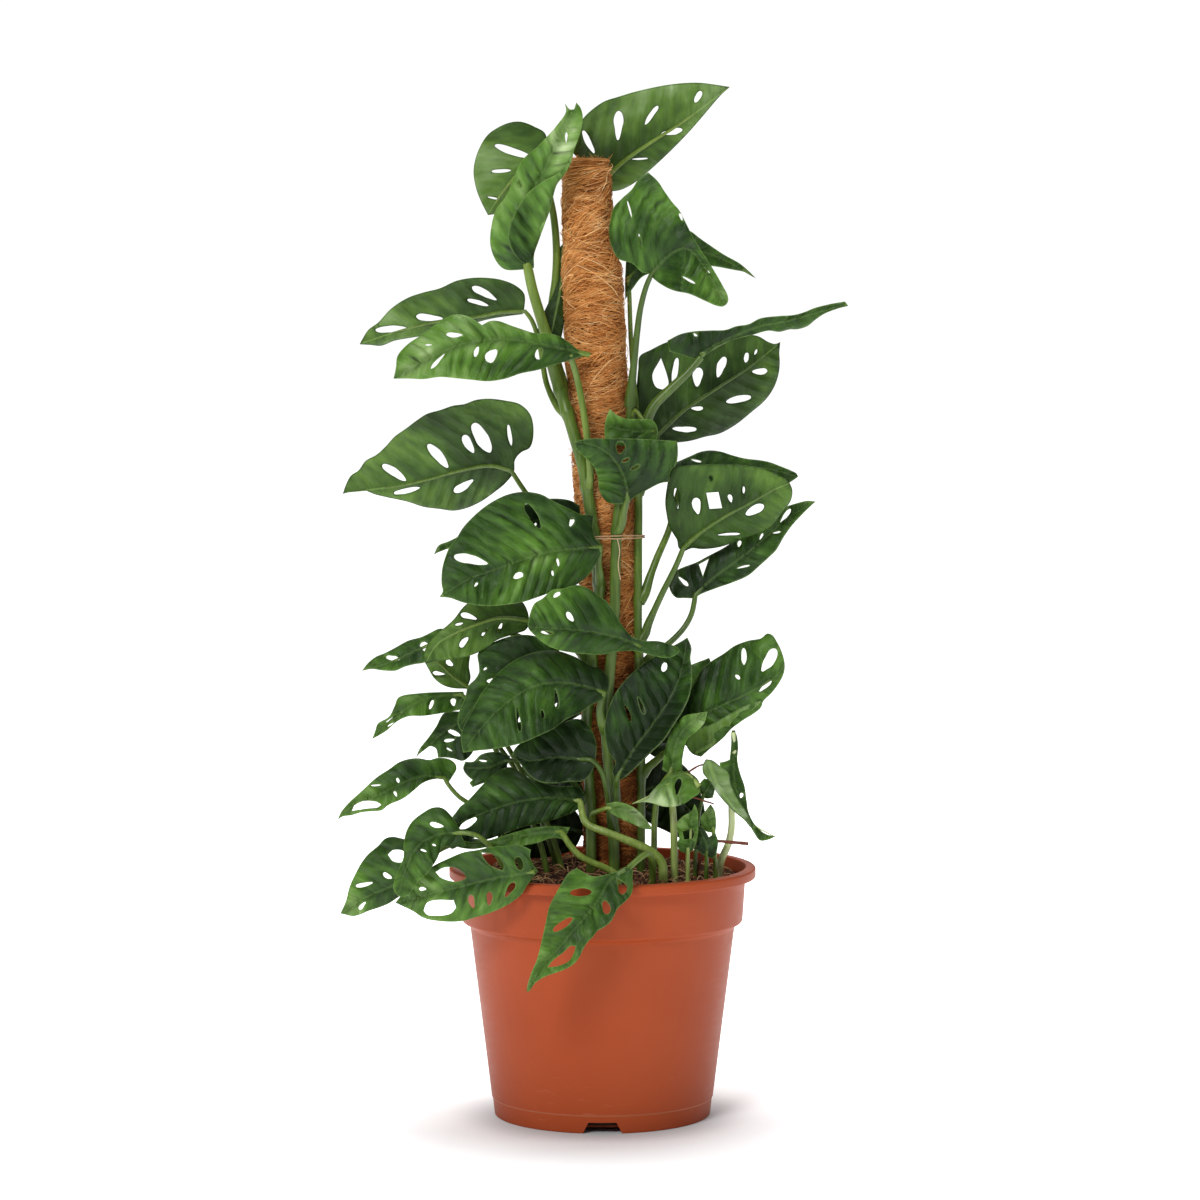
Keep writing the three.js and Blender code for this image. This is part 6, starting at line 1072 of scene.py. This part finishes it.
def tree_with(name, **sockets):
    """An empty geometry tree with named inputs of the types given, and those inputs."""
    tree = bpy.data.node_groups.new(name, "GeometryNodeTree")
    for label, kind in {"Geometry": "Geometry", **sockets}.items():
        tree.interface.new_socket(name=label, in_out="INPUT", socket_type="NodeSocket" + kind)
    tree.interface.new_socket(name="Geometry", in_out="OUTPUT", socket_type="NodeSocketGeometry")
    return tree, add(tree, "NodeGroupInput").outputs


def ended(tree, geometry, material):
    """Ends a tree: what it made becomes real geometry with its finish."""
    real = add(tree, "GeometryNodeRealizeInstances", [geometry])
    done = add(tree, "GeometryNodeSetMaterial", {"Geometry": real, "Material": material})
    add(tree, "NodeGroupOutput", [done])
    return tree


def rod_tree():
    """Turns every path of edges into a round rod as thick as its points say."""
    tree, given = tree_with("rod_along_path", Sides="Int", Finish="Material")
    path = add(tree, "GeometryNodeMeshToCurve", [given["Geometry"]])
    thick = add(tree, "GeometryNodeInputNamedAttribute", {"Name": "thick"}, data_type="FLOAT")
    ring = add(tree, "GeometryNodeCurvePrimitiveCircle", {"Resolution": given["Sides"], "Radius": 1.0})
    rod = add(tree, "GeometryNodeCurveToMesh", {"Curve": path, "Profile Curve": ring, "Scale": thick,
                                                "Fill Caps": True})
    return ended(tree, add(tree, "GeometryNodeSetShadeSmooth", {"Geometry": rod}), given["Finish"])


def crumb_tree():
    """Scatters rough lumps over a surface, each with its own size and turn."""
    tree, given = tree_with("lumps_on_surface", Density="Float", Smallest="Float", Largest="Float", Seed="Int",
                            Finish="Material")
    spots = add(tree, "GeometryNodeDistributePointsOnFaces",
                {"Mesh": given["Geometry"], "Density": given["Density"], "Seed": given["Seed"]})
    lump = add(tree, "GeometryNodeMeshIcoSphere", {"Radius": 1.0, "Subdivisions": 1})
    size = add(tree, "FunctionNodeRandomValue",
               {2: given["Smallest"], 3: given["Largest"], "Seed": given["Seed"]}, data_type="FLOAT")
    squash = add(tree, "FunctionNodeRandomValue", [(0.6, 0.5, 0.4), (1.4, 1.1, 1.0)],
                 data_type="FLOAT_VECTOR")
    scale = add(tree, "ShaderNodeVectorMath", [squash, size], operation="MULTIPLY")
    turn = add(tree, "FunctionNodeRandomValue", [(0, 0, 0), (ALL_ROUND, ALL_ROUND, ALL_ROUND)],
               data_type="FLOAT_VECTOR")
    lumps = add(tree, "GeometryNodeInstanceOnPoints", {"Points": spots, "Instance": lump, "Rotation": turn,
                                                       "Scale": scale})
    shade = add(tree, "FunctionNodeRandomValue", {2: 0.0, 3: 0.8}, data_type="FLOAT")
    toned = add(tree, "GeometryNodeStoreNamedAttribute", {"Geometry": lumps, "Name": "tone", "Value": shade},
                data_type="FLOAT", domain="INSTANCE")
    return ended(tree, toned, given["Finish"])


ROD = rod_tree()
CRUMBS = crumb_tree()


def rods(name, paths, sides, material):
    """Round rods along paths; a path is (points, radii, tone)."""
    points, edges, thick, tones = [], [], [], []
    for path, radii, tone in paths:
        first = len(points)
        points += [p * MM for p in path]
        edges += [(first + i, first + i + 1) for i in range(len(path) - 1)]
        thick += [radius * MM for radius in radii]
        tones += [tone] * len(path)
    piece = new_piece(name, points, edges, [], {"thick": thick, "tone": tones})
    return shaped_by(piece, ROD, Sides=sides, Finish=material)


def settled(piece, slot, *nodes):
    """Lets a finished piece ride on the plant and stand for its solids."""
    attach(piece, "root")
    if nodes:
        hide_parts(*nodes)


# Stems and stalks

STEM_PATHS = {name: curve([place(*p) for p in stem["path"]], PATH_STEP) for name, stem in STEMS.items()}


def stem_radius(name, share):
    first, last = STEMS[name]["radii"]
    return first + (last - first) * share


def seat(stalk, toward):
    """Where a stalk leaves its stem: a point within the stem, and one above it clear of the stem's skin."""
    name = stalk.get("on") or stalk.get("tip")
    path = STEM_PATHS[name]
    if "tip" in stalk:
        along = (path[-1] - path[-2]).normalized()
        return [path[-1] - along, path[-1] + along * 2.8]
    i = next(i for i, p in enumerate(path) if p.z >= stalk["at"])
    along = (path[i + 1] - path[i - 1]).normalized()
    outward = toward - path[i]
    outward = (outward - along * outward.dot(along)).normalized()
    radius = stem_radius(name, i / len(path))
    return [path[i] + outward * (radius * 0.4) - along * 3, path[i] + outward * (radius + 2.2) + along * 2.5]


def stalk_rods(stalk, panel, shows_underside, tone):
    """The stalk and the midrib that runs on from it along the lower side of the blade."""
    via = [place(*p) for p in stalk["via"]]
    lead = seat(stalk, via[0]) if "on" in stalk or "tip" in stalk else []
    below = 1.0 if shows_underside else -1.0
    first, last = stalk["size"]
    ribs = curve(panel.rib, STALK_STEP)
    fronts = panel.slide(np.array(ribs))
    rib, rib_radii = [], []
    for i, (p, front) in enumerate(zip(ribs, fronts)):
        share = i / (len(ribs) - 1)
        radius = last * 0.8 * (1 - share) ** 0.8 + 0.22
        sink = min(1.0, i / 3) * (radius * 0.55 - 0.1 if shows_underside else radius + 0.9) + 0.25
        rib.append(place(p.x, p.y, front + below * sink))
        rib_radii.append(radius)
    end = rib[0]
    if "meets" in stalk:
        joint = Vector(stalk["meets"])
        end = place(joint.x, joint.y, panel.slide(np.array([tuple(joint)]))[0] + below * 0.5)
    path = curve(lead + via + [end], STALK_STEP)
    radii = [first + (last - first) * i / (len(path) - 1) for i in range(len(path))]
    if "meets" in stalk:
        return [(path, radii, tone), (rib, rib_radii, tone)]
    if lead:
        for i, flare in enumerate(FLARE[:len(radii)]):
            radii[i] *= flare
    return [(path[:-1] + rib, radii[:-1] + rib_radii, tone)]


def make_leaf(name, traits, seed):
    panel, stalk = Panel(traits, seed), traits["stalk"]
    underside = traits.get("underside", False)
    tone = traits.get("tone", ORDINARY_TONE) + 0.05 * math.sin(seed * 40)
    parts = [blade(panel, underside, tone)]
    for part in (traits[key] for key in ("fold", "wings") if key in traits):
        parts.append(blade(Panel(part, seed), part.get("underside", False), part["tone"]))
    pieces = [new_solid(f"blade_{name}_{i}" if i else f"plant_leaf_{name}", part["points"], part["faces"],
                        [UPPER_SKIN, UNDER_SKIN], part["skins"], part["values"])
              for i, part in enumerate(parts)]
    paths = stalk_rods(stalk, panel, underside, stalk.get("tone", 0.22 + tone * 0.6))
    pieces.append(rods(f"stalk_{name}", paths, STALK_SIDES, STALK_SKIN))
    with bpy.context.temp_override(active_object=pieces[0], selected_editable_objects=pieces):
        bpy.ops.object.join()
    settled(pieces[0], "leaf_green", f"leaf_{name}")


def make_stem(name):
    """A stem with a swelling where each stalk leaves it."""
    path = STEM_PATHS[name]
    scars = [traits["stalk"]["at"] for traits in LEAVES.values() if traits["stalk"].get("on") == name]
    radii = []
    for i, p in enumerate(path):
        swell = sum(0.2 * math.exp(-((p.z - z + 1.5) / 3) ** 2) for z in scars)
        radii.append(stem_radius(name, i / len(path)) * (1 + min(swell, 0.25)))
    stem = rods(f"plant_{name}", [(path, radii, STEM_TONE)], STEM_SIDES, STALK_SKIN)
    settled(stem, "stem_green", name)


for index, (leaf_name, leaf_traits) in enumerate(LEAVES.items()):
    make_leaf(leaf_name, leaf_traits, (index * 0.37) % 1)
for stem_name in STEMS:
    make_stem(stem_name)


# Pot

def rounded(profile):
    """A profile of (radius, height, softening) with its corners rounded."""
    result = []
    for i, (r, z, soft) in enumerate(profile):
        here = Vector((r, z))
        if soft == 0 or i in (0, len(profile) - 1):
            result.append(here)
            continue
        before, after = Vector(profile[i - 1][:2]) - here, Vector(profile[i + 1][:2]) - here
        reach = min(soft, before.length * 0.45, after.length * 0.45)
        a, b = here + before.normalized() * reach, here + after.normalized() * reach
        for t in (0, 0.25, 0.5, 0.75, 1):
            result.append(a * (1 - t) ** 2 + here * (2 * t * (1 - t)) + b * t ** 2)
    return result


def ring_walls(first, last, turns):
    """Faces between rings of so many points, from a first ring's first point to a last ring's."""
    return [(a + k, a + (k + 1) % turns, a + turns + (k + 1) % turns, a + turns + k)
            for a in range(first, last, turns) for k in range(turns)]


def turned(name, profile, turns, materials):
    """A closed body turned about the upright axis; the profile starts and ends on the axis."""
    points = [(0, 0, profile[0].y)]
    for p in profile[1:-1]:
        points += [(p.x * math.cos(2 * math.pi * k / turns), p.x * math.sin(2 * math.pi * k / turns), p.y)
                   for k in range(turns)]
    last, top = len(points) - turns, len(points)
    points.append((0, 0, profile[-1].y))
    faces = [(0, 1 + (k + 1) % turns, 1 + k) for k in range(turns)] + ring_walls(1, last, turns)
    faces += [(last + k, last + (k + 1) % turns, top) for k in range(turns)]
    return new_solid(name, points, faces, materials)


def make_pot():
    pot = turned("nursery_pot", rounded(POT_OUTSIDE + POT_INSIDE), POT_TURNS, [POT_PLASTIC])
    cutters = []
    for i in range(NOTCH_COUNT):
        turn = 2 * math.pi * i / NOTCH_COUNT
        points = [(x * math.cos(turn) + depth * math.sin(turn), x * math.sin(turn) - depth * math.cos(turn), z)
                  for depth in NOTCH_DEPTHS for x, z in NOTCH_OUTLINE]
        faces = [(3, 2, 1, 0), (4, 5, 6, 7)] + ring_walls(0, 4, 4)
        cutters.append(new_solid(f"notch_{i}", points, faces, [POT_PLASTIC]))
        cut = pot.modifiers.new("notch", "BOOLEAN")
        cut.operation, cut.solver, cut.object = "DIFFERENCE", "EXACT", cutters[-1]
    made_plain(pot)
    for cutter in cutters:
        bpy.data.objects.remove(cutter)
    pot.data.set_sharp_from_angle(angle=SHARP_EDGE)
    settled(pot, "pot_plastic", "pot")


make_pot()


# Soil

def soil_height(x, y):
    radius = math.hypot(x, y)
    for (r1, z1), (r0, z0) in zip(SOIL_HEAP, SOIL_HEAP[1:]):
        if radius >= r0:
            share = min(1, (radius - r0) / (r1 - r0))
            return z0 + (z1 - z0) * share
    return SOIL_HEAP[-1][1]


def straw():
    """One bent straw that lies on the soil or sticks out of it a little."""
    turn, radius = random.uniform(0, ALL_ROUND), STRAW_SPREAD * math.sqrt(random.random())
    x, y = radius * math.cos(turn), radius * math.sin(turn)
    way, length = random.uniform(0, ALL_ROUND), random.uniform(*STRAW_LENGTHS)
    lift, bend = random.uniform(*STRAW_LIFTS), random.uniform(-0.5, 0.5)
    path = []
    for k in range(6):
        share = k / 5
        px = x + math.cos(way + bend * share) * length * (share - 0.5)
        py = y + math.sin(way + bend * share) * length * (share - 0.5)
        if math.hypot(px, py) > STRAW_REACH:
            px, py = px * STRAW_REACH / math.hypot(px, py), py * STRAW_REACH / math.hypot(px, py)
        path.append(Vector((px, py, soil_height(px, py) + 0.8 + lift * math.sin(math.pi * share))))
    thin = random.uniform(*STRAW_RADII)
    return path, [thin * (0.6 + 0.4 * math.sin(math.pi * k / 5)) for k in range(6)], random.random() * 0.9


def make_soil():
    profile = [Vector(p) for p in SOIL_WALL]
    for k in range(1, SOIL_TOP_ROWS + 1):
        radius = SOIL_TOP_RADIUS * (1 - k / SOIL_TOP_ROWS) ** 0.9
        profile.append(Vector((radius, soil_height(radius, 0))))
    soil = turned("soil_body", profile, SOIL_TURNS, [SOIL])
    for vertex in soil.data.vertices:
        x, y, z = vertex.co / MM
        if z > SOIL_TOP_FROM:
            lumps = 1.6 * noise.noise(Vector((x, y, 3)) / 9) + 0.9 * noise.noise(Vector((x, y, 7)) / 3.5)
            vertex.co.z += MM * lumps
    settled(soil, "potting_soil", "soil")
    points = [tuple(v.co / MM) for v in soil.data.vertices]
    top = [tuple(p.vertices) for p in soil.data.polygons if p.center.z > SOIL_TOP_FROM * MM]
    crumbs = shaped_by(new_solid("soil_crumbs", points, top, [SOIL]), CRUMBS, Finish=SOIL, Seed=4,
                       Density=CRUMBS_PER_SQUARE_METRE, Smallest=CRUMB_SIZES[0] * MM,
                       Largest=CRUMB_SIZES[1] * MM)
    settled(crumbs, "potting_soil")
    settled(rods("soil_straws", [straw() for _ in range(STRAW_COUNT)], STRAW_SIDES, STRAW), "potting_soil")


make_soil()


# Pole

def pole_at(z):
    """Centre x and radius of the pole at a height."""
    z = min(max(z, POLE[0][1]), POLE[-1][1])
    for (x0, z0, r0), (x1, z1, r1) in zip(POLE, POLE[1:]):
        if z <= z1:
            share = (z - z0) / (z1 - z0)
            return x0 + (x1 - x0) * share, r0 + (r1 - r0) * share


def on_pole(turn, z, lift):
    """A point on the pole's skin: turn 0 faces the eye and grows to the right."""
    x, radius = pole_at(z)
    bulge = 0.8 * noise.noise(Vector((math.cos(turn) * 1.3, math.sin(turn) * 1.3, z / 16)))
    reach = radius - 1.2 + lift + bulge
    return Vector((x + reach * math.sin(turn), -reach * math.cos(turn), z))


def painted_low_shade(z):
    """How much painted shade darkens the coir low down, where the leaves shade the pole."""
    return LOW_SHADE_SHARE * min(1, max(0, (LOW_SHADE_UP_TO - z) / LOW_SHADE_FADE))


def make_core():
    """The matted coir below the winding, in a darker finish that is painted shade for the gaps between the
    strands.
    """
    points = []
    for row in range(CORE_ROWS + 1):
        z = CORE_FOOT + (CORE_TOP - CORE_FOOT) * row / CORE_ROWS
        for k in range(CORE_SIDES):
            turn = 2 * math.pi * k / CORE_SIDES
            grain = 0.7 * noise.noise(Vector((math.cos(turn) * 5, math.sin(turn) * 5, z / 2.5)))
            points.append(on_pole(turn, z, grain - 0.4))
    last, top, foot = len(points) - CORE_SIDES, len(points), len(points) + 1
    points.append(Vector((pole_at(CORE_TOP)[0], 0, CORE_TOP + 0.5)))
    points.append(Vector((pole_at(CORE_FOOT)[0], 0, CORE_FOOT)))
    faces = ring_walls(0, last, CORE_SIDES)
    faces += [(last + k, last + (k + 1) % CORE_SIDES, top) for k in range(CORE_SIDES)]
    faces += [((k + 1) % CORE_SIDES, k, foot) for k in range(CORE_SIDES)]
    # Tones vary at random and are lowered low down by painted shade
    tones = [0.3 + 0.3 * noise.noise(p / 20) - painted_low_shade(p.z) for p in points]
    settled(new_solid("coir_core", points, faces, [SHADED_COIR_MAT], values={"tone": tones}), "coir", "pole_coir")


def strand(z, turn, length, lift, thin):
    """One strand of the winding, which leans as its neighbours do. It is 0.2 to 0.4 mm thick on a real pole,
    and up to 0.5 mm here, so that it shows."""
    lean = 0.16 + 1.0 * noise.noise(Vector((math.sin(turn) * 0.9, math.cos(turn) * 0.9, z / 19)))
    lean += random.gauss(0, 0.26)
    arch = random.gauss(0, 0.1) * length
    # Near the top the winding runs level
    room = min(1, max(0.06, (POLE_TOP - z - 2) / 22))
    lean, arch = lean * room, arch * room
    brim = POLE_TOP - random.uniform(0.5, 2)
    steps = max(5, round(length / 5))
    path = []
    for k in range(steps + 1):
        share = k / steps
        way = (share - 0.5) * length
        height = (z + way * math.sin(lean) + arch * math.sin(math.pi * share)
                  + 0.9 * noise.noise(Vector((share * 3, z, turn))))
        around = turn + way * math.cos(lean) / POLE_RADIUS
        tuck = lift * math.sin(math.pi * share) ** 0.5
        path.append(on_pole(around, min(max(height, CORE_FOOT + 2), brim), tuck))
    bundle = 0.5 * noise.noise(Vector((math.sin(turn) * 2, math.cos(turn) * 2, z / 5)))
    # Each strand's brown varies at random and is lowered low down by painted shade
    return path, [thin] * len(path), random.gauss(0.46, 0.16) + bundle - painted_low_shade(z)


def tapering(start, way, length, bend, steps, radius):
    """A bent fibre that grows thinner, of a random brown."""
    path = [start + way * (length * k / steps) + bend * (k / steps) ** 2 for k in range(steps + 1)]
    return path, [radius - TAPER * k for k in range(steps + 1)], random.uniform(0.4, 1.0)


def hair():
    """A short fibre that stands off the winding."""
    z, turn = random.uniform(156, POLE_TOP), random.uniform(0, ALL_ROUND)
    out = Vector((math.sin(turn), -math.cos(turn), 0))
    side = Vector((math.cos(turn), math.sin(turn), 0)) * random.uniform(-1.6, 1.6)
    up = Vector((0, 0, random.uniform(-1.2, 1.2)))
    length = random.uniform(*HAIR_LENGTHS)
    bend = Vector((random.uniform(-1, 1), random.uniform(-1, 1), random.uniform(-1, 1))) * length * 0.35
    return tapering(on_pole(turn, z, 0.6), (out * 0.7 + side + up).normalized(), length, bend, 5, HAIR_RADIUS)


def loose_fibre():
    """A long fibre that lies on the winding."""
    z, turn = random.uniform(240, POLE_TOP - 8), random.uniform(0, ALL_ROUND)
    length, lean = random.uniform(*LOOSE_LENGTHS), random.uniform(-1.1, 1.1)
    path = []
    for k in range(13):
        way = (k / 12 - 0.5) * length
        height = min(z + way * math.sin(lean) + 2.5 * math.sin(math.pi * k / 12), POLE_TOP - 1)
        path.append(on_pole(turn + way * math.cos(lean) / POLE_RADIUS, height, 2.1 + 0.9 * math.sin(0.8 * k)))
    return path, [LOOSE_RADIUS] * len(path), random.uniform(0.7, 1.1)


def top_strand():
    """A strand that lies across the pole's top."""
    centre, brim = pole_at(POLE_TOP)
    brim -= 1.5
    turn, reach = random.uniform(0, ALL_ROUND), brim * random.random() ** 0.5
    way, half = random.uniform(0, ALL_ROUND / 2), random.uniform(*TOP_HALF_LENGTHS)
    depth = random.uniform(0.3, 1.6)
    path = []
    for k in range(9):
        x = reach * math.cos(turn) + half * (k / 4 - 1) * math.cos(way)
        y = reach * math.sin(turn) + half * (k / 4 - 1) * math.sin(way)
        short = min(1, brim / max(0.1, math.hypot(x, y)))
        path.append(Vector((centre + x * short, y * short,
                            POLE_TOP - depth - (x * x + y * y) * short * short / 300
                            + 0.7 * math.sin(math.pi * k / 8))))
    return path, [TOP_RADIUS] * len(path), random.gauss(0.4, 0.18)


def frayed_end():
    """A fibre's end that stands up from the pole's top."""
    turn = random.uniform(0, ALL_ROUND)
    start = on_pole(turn, POLE_TOP - 2, -random.uniform(0, 9))
    way = Vector((random.uniform(-0.8, 0.8), random.uniform(-0.8, 0.8), 1.0)).normalized()
    length = random.uniform(*FRAYED_LENGTHS)
    bend = Vector((random.uniform(-1, 1), random.uniform(-1, 1), -0.5)) * length * 0.4
    return tapering(start, way, length, bend, 6, FRAYED_RADIUS)


def make_winding():
    for part, (z0, z1) in enumerate(WINDING_PARTS):
        strands = [strand(random.uniform(z0, z1), random.uniform(0, ALL_ROUND),
                          random.uniform(*STRAND_LENGTHS), random.uniform(*STRAND_LIFTS),
                          random.uniform(*STRAND_RADII)) for _ in range(STRAND_COUNT)]
        settled(rods(f"coir_winding_{part}", strands, STRAND_SIDES, COIR), "coir")
    hairs = [make() for make, count in ((hair, HAIR_COUNT), (loose_fibre, LOOSE_COUNT),
                                        (top_strand, TOP_COUNT), (frayed_end, FRAYED_COUNT))
             for _ in range(count)]
    settled(rods("coir_hairs", hairs, STRAND_SIDES, COIR), "coir")


make_core()
make_winding()
for stake_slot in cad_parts["pole_stake"].material_slots:
    stake_slot.material = WOOD


# Tie, twig and aerial roots

def make_tie():
    """A thin pale thread round the stems and the pole, wound twice, with a short loose end."""
    first = curve([Vector((x, -front, TIE_HEIGHT)) for x, front in TIE], TIE_STEP)
    second = [p + Vector((0, 0, 1.3 + 0.5 * math.sin(i / 5))) for i, p in enumerate(first)]
    strands = [(path, [TIE_RADIUS] * len(path), 0.5) for path in (first, second)]
    tail = curve([Vector(p) for p in TIE_END], TIE_STEP)
    strands.append((tail, [TIE_END_RADIUS] * len(tail), 0.7))
    settled(rods("tie_thread", strands, TIE_SIDES, THREAD), "tie_fibre", "tie")


def make_twig():
    path = curve([place(*p) for p in TWIG], PATH_STEP)
    radii = [0.95 + 0.22 * noise.noise(p / 4) for p in path]
    settled(rods("dry_twig", [(path, radii, 0.4)], TWIG_SIDES, BARK), "twig_bark", "twig")
    roots = []
    for row in ROOTLETS:
        path = curve([place(*p) for p in row], PATH_STEP)
        radii = [0.75 - 0.3 * i / len(path) + 0.15 * noise.noise(p / 3) for i, p in enumerate(path)]
        roots.append((path, radii, 0.35))
    settled(rods("aerial_roots", roots, ROOT_SIDES, BARK), "twig_bark")


make_tie()
make_twig()


# Floor, light and eye

def make_floor():
    """White matt paper with a 2.5 mm mottle, a painted shadow round the pot and a painted glow away from it."""
    material, tree, shader, spot = finish("paper_with_painted_shadow", Roughness=0.9, Specular_IOR_Level=0.1,
                                          Emission_Color=(1, 1, 1, 1))
    mottle = add(tree, "ShaderNodeTexNoise", {"Vector": spot, "Scale": 400.0})
    paper = add(tree, "ShaderNodeValToRGB", [mottle], [(0.0, "#f4f6f7"), (1.0, "#fafcfd")])
    # Painted shadow: close to the pot the paper is painted a cool grey; away from it the paper glows a little,
    # a painted light as from a bright sweep
    far = add(tree, "ShaderNodeVectorMath", [spot], operation="LENGTH")
    near = add(tree, "ShaderNodeMapRange", [far, 0.062, 0.1, 0.45, 0.0], interpolation_type="SMOOTHSTEP")
    painted_shadow_paper = add(tree, "ShaderNodeMix", {0: near, 6: paper, 7: paint("#7e8488")}, data_type="RGBA")
    # The painted glow is centred ahead of the pot, so the painted shadow is deepest in front of it
    ahead = add(tree, "ShaderNodeVectorMath", [spot, (0.0, -0.05, 0.0)], operation="DISTANCE")
    lit = add(tree, "ShaderNodeMapRange", [ahead, 0.01, 0.35, 0.0, 1.0], interpolation_type="SMOOTHSTEP")
    feed(tree, shader, {"Base Color": painted_shadow_paper, "Emission Strength": lit})
    reach = 12
    corners = [(-reach, -reach, 0), (reach, -reach, 0), (reach, reach, 0), (-reach, reach, 0)]
    floor = new_piece("floor", corners, [], [(0, 1, 2, 3)])
    floor.data.materials.append(material)


def lamp(name, where, toward, width, height, power):
    """A soft box; sizes and places are in metres and its power in watts."""
    light = bpy.data.lights.new(name, "AREA")
    light.shape = "RECTANGLE"
    light.size, light.size_y = width, height
    light.energy = power
    box = linked(name, light)
    box.location = where
    box.rotation_euler = (Vector(toward) - Vector(where)).to_track_quat("-Z", "Y").to_euler()


make_floor()
lamp("key", (-0.95, -2.15, 1.9), (0, 0, 0.32), 0.9, 0.9, 48)
lamp("top", (0, 0.3, 2.3), (0, 0, 0.2), 1.2, 1.2, 27)
lamp("back", (0.3, 2.0, 1.4), (0, 0, 0.35), 1.6, 1.2, 9)

# The studio is white to look at, and its walls give about a fifth of that back as light
world = bpy.data.worlds.new("studio")
world.use_nodes = True
room = world.node_tree
room.nodes.clear()
seen = add(room, "ShaderNodeLightPath").outputs["Is Camera Ray"]
strength = add(room, "ShaderNodeMapRange", [seen, 0.0, 1.0, 0.22, 1.05])
glow = add(room, "ShaderNodeBackground", {"Color": (1, 1, 1, 1), "Strength": strength})
add(room, "ShaderNodeOutputWorld", {"Surface": glow})
bpy.context.scene.world = world
bpy.context.scene.view_settings.view_transform = "Standard"

camera = bpy.data.cameras.new("eye")
camera.sensor_width = SENSOR_WIDTH
camera.lens = LENS
eye = linked("eye", camera)
eye.location = (EYE_SIDE * MM, -EYE_DISTANCE * MM, EYE_HEIGHT * MM)
eye.rotation_euler = Euler((EYE_PITCH, 0, 0))
bpy.context.scene.camera = eye
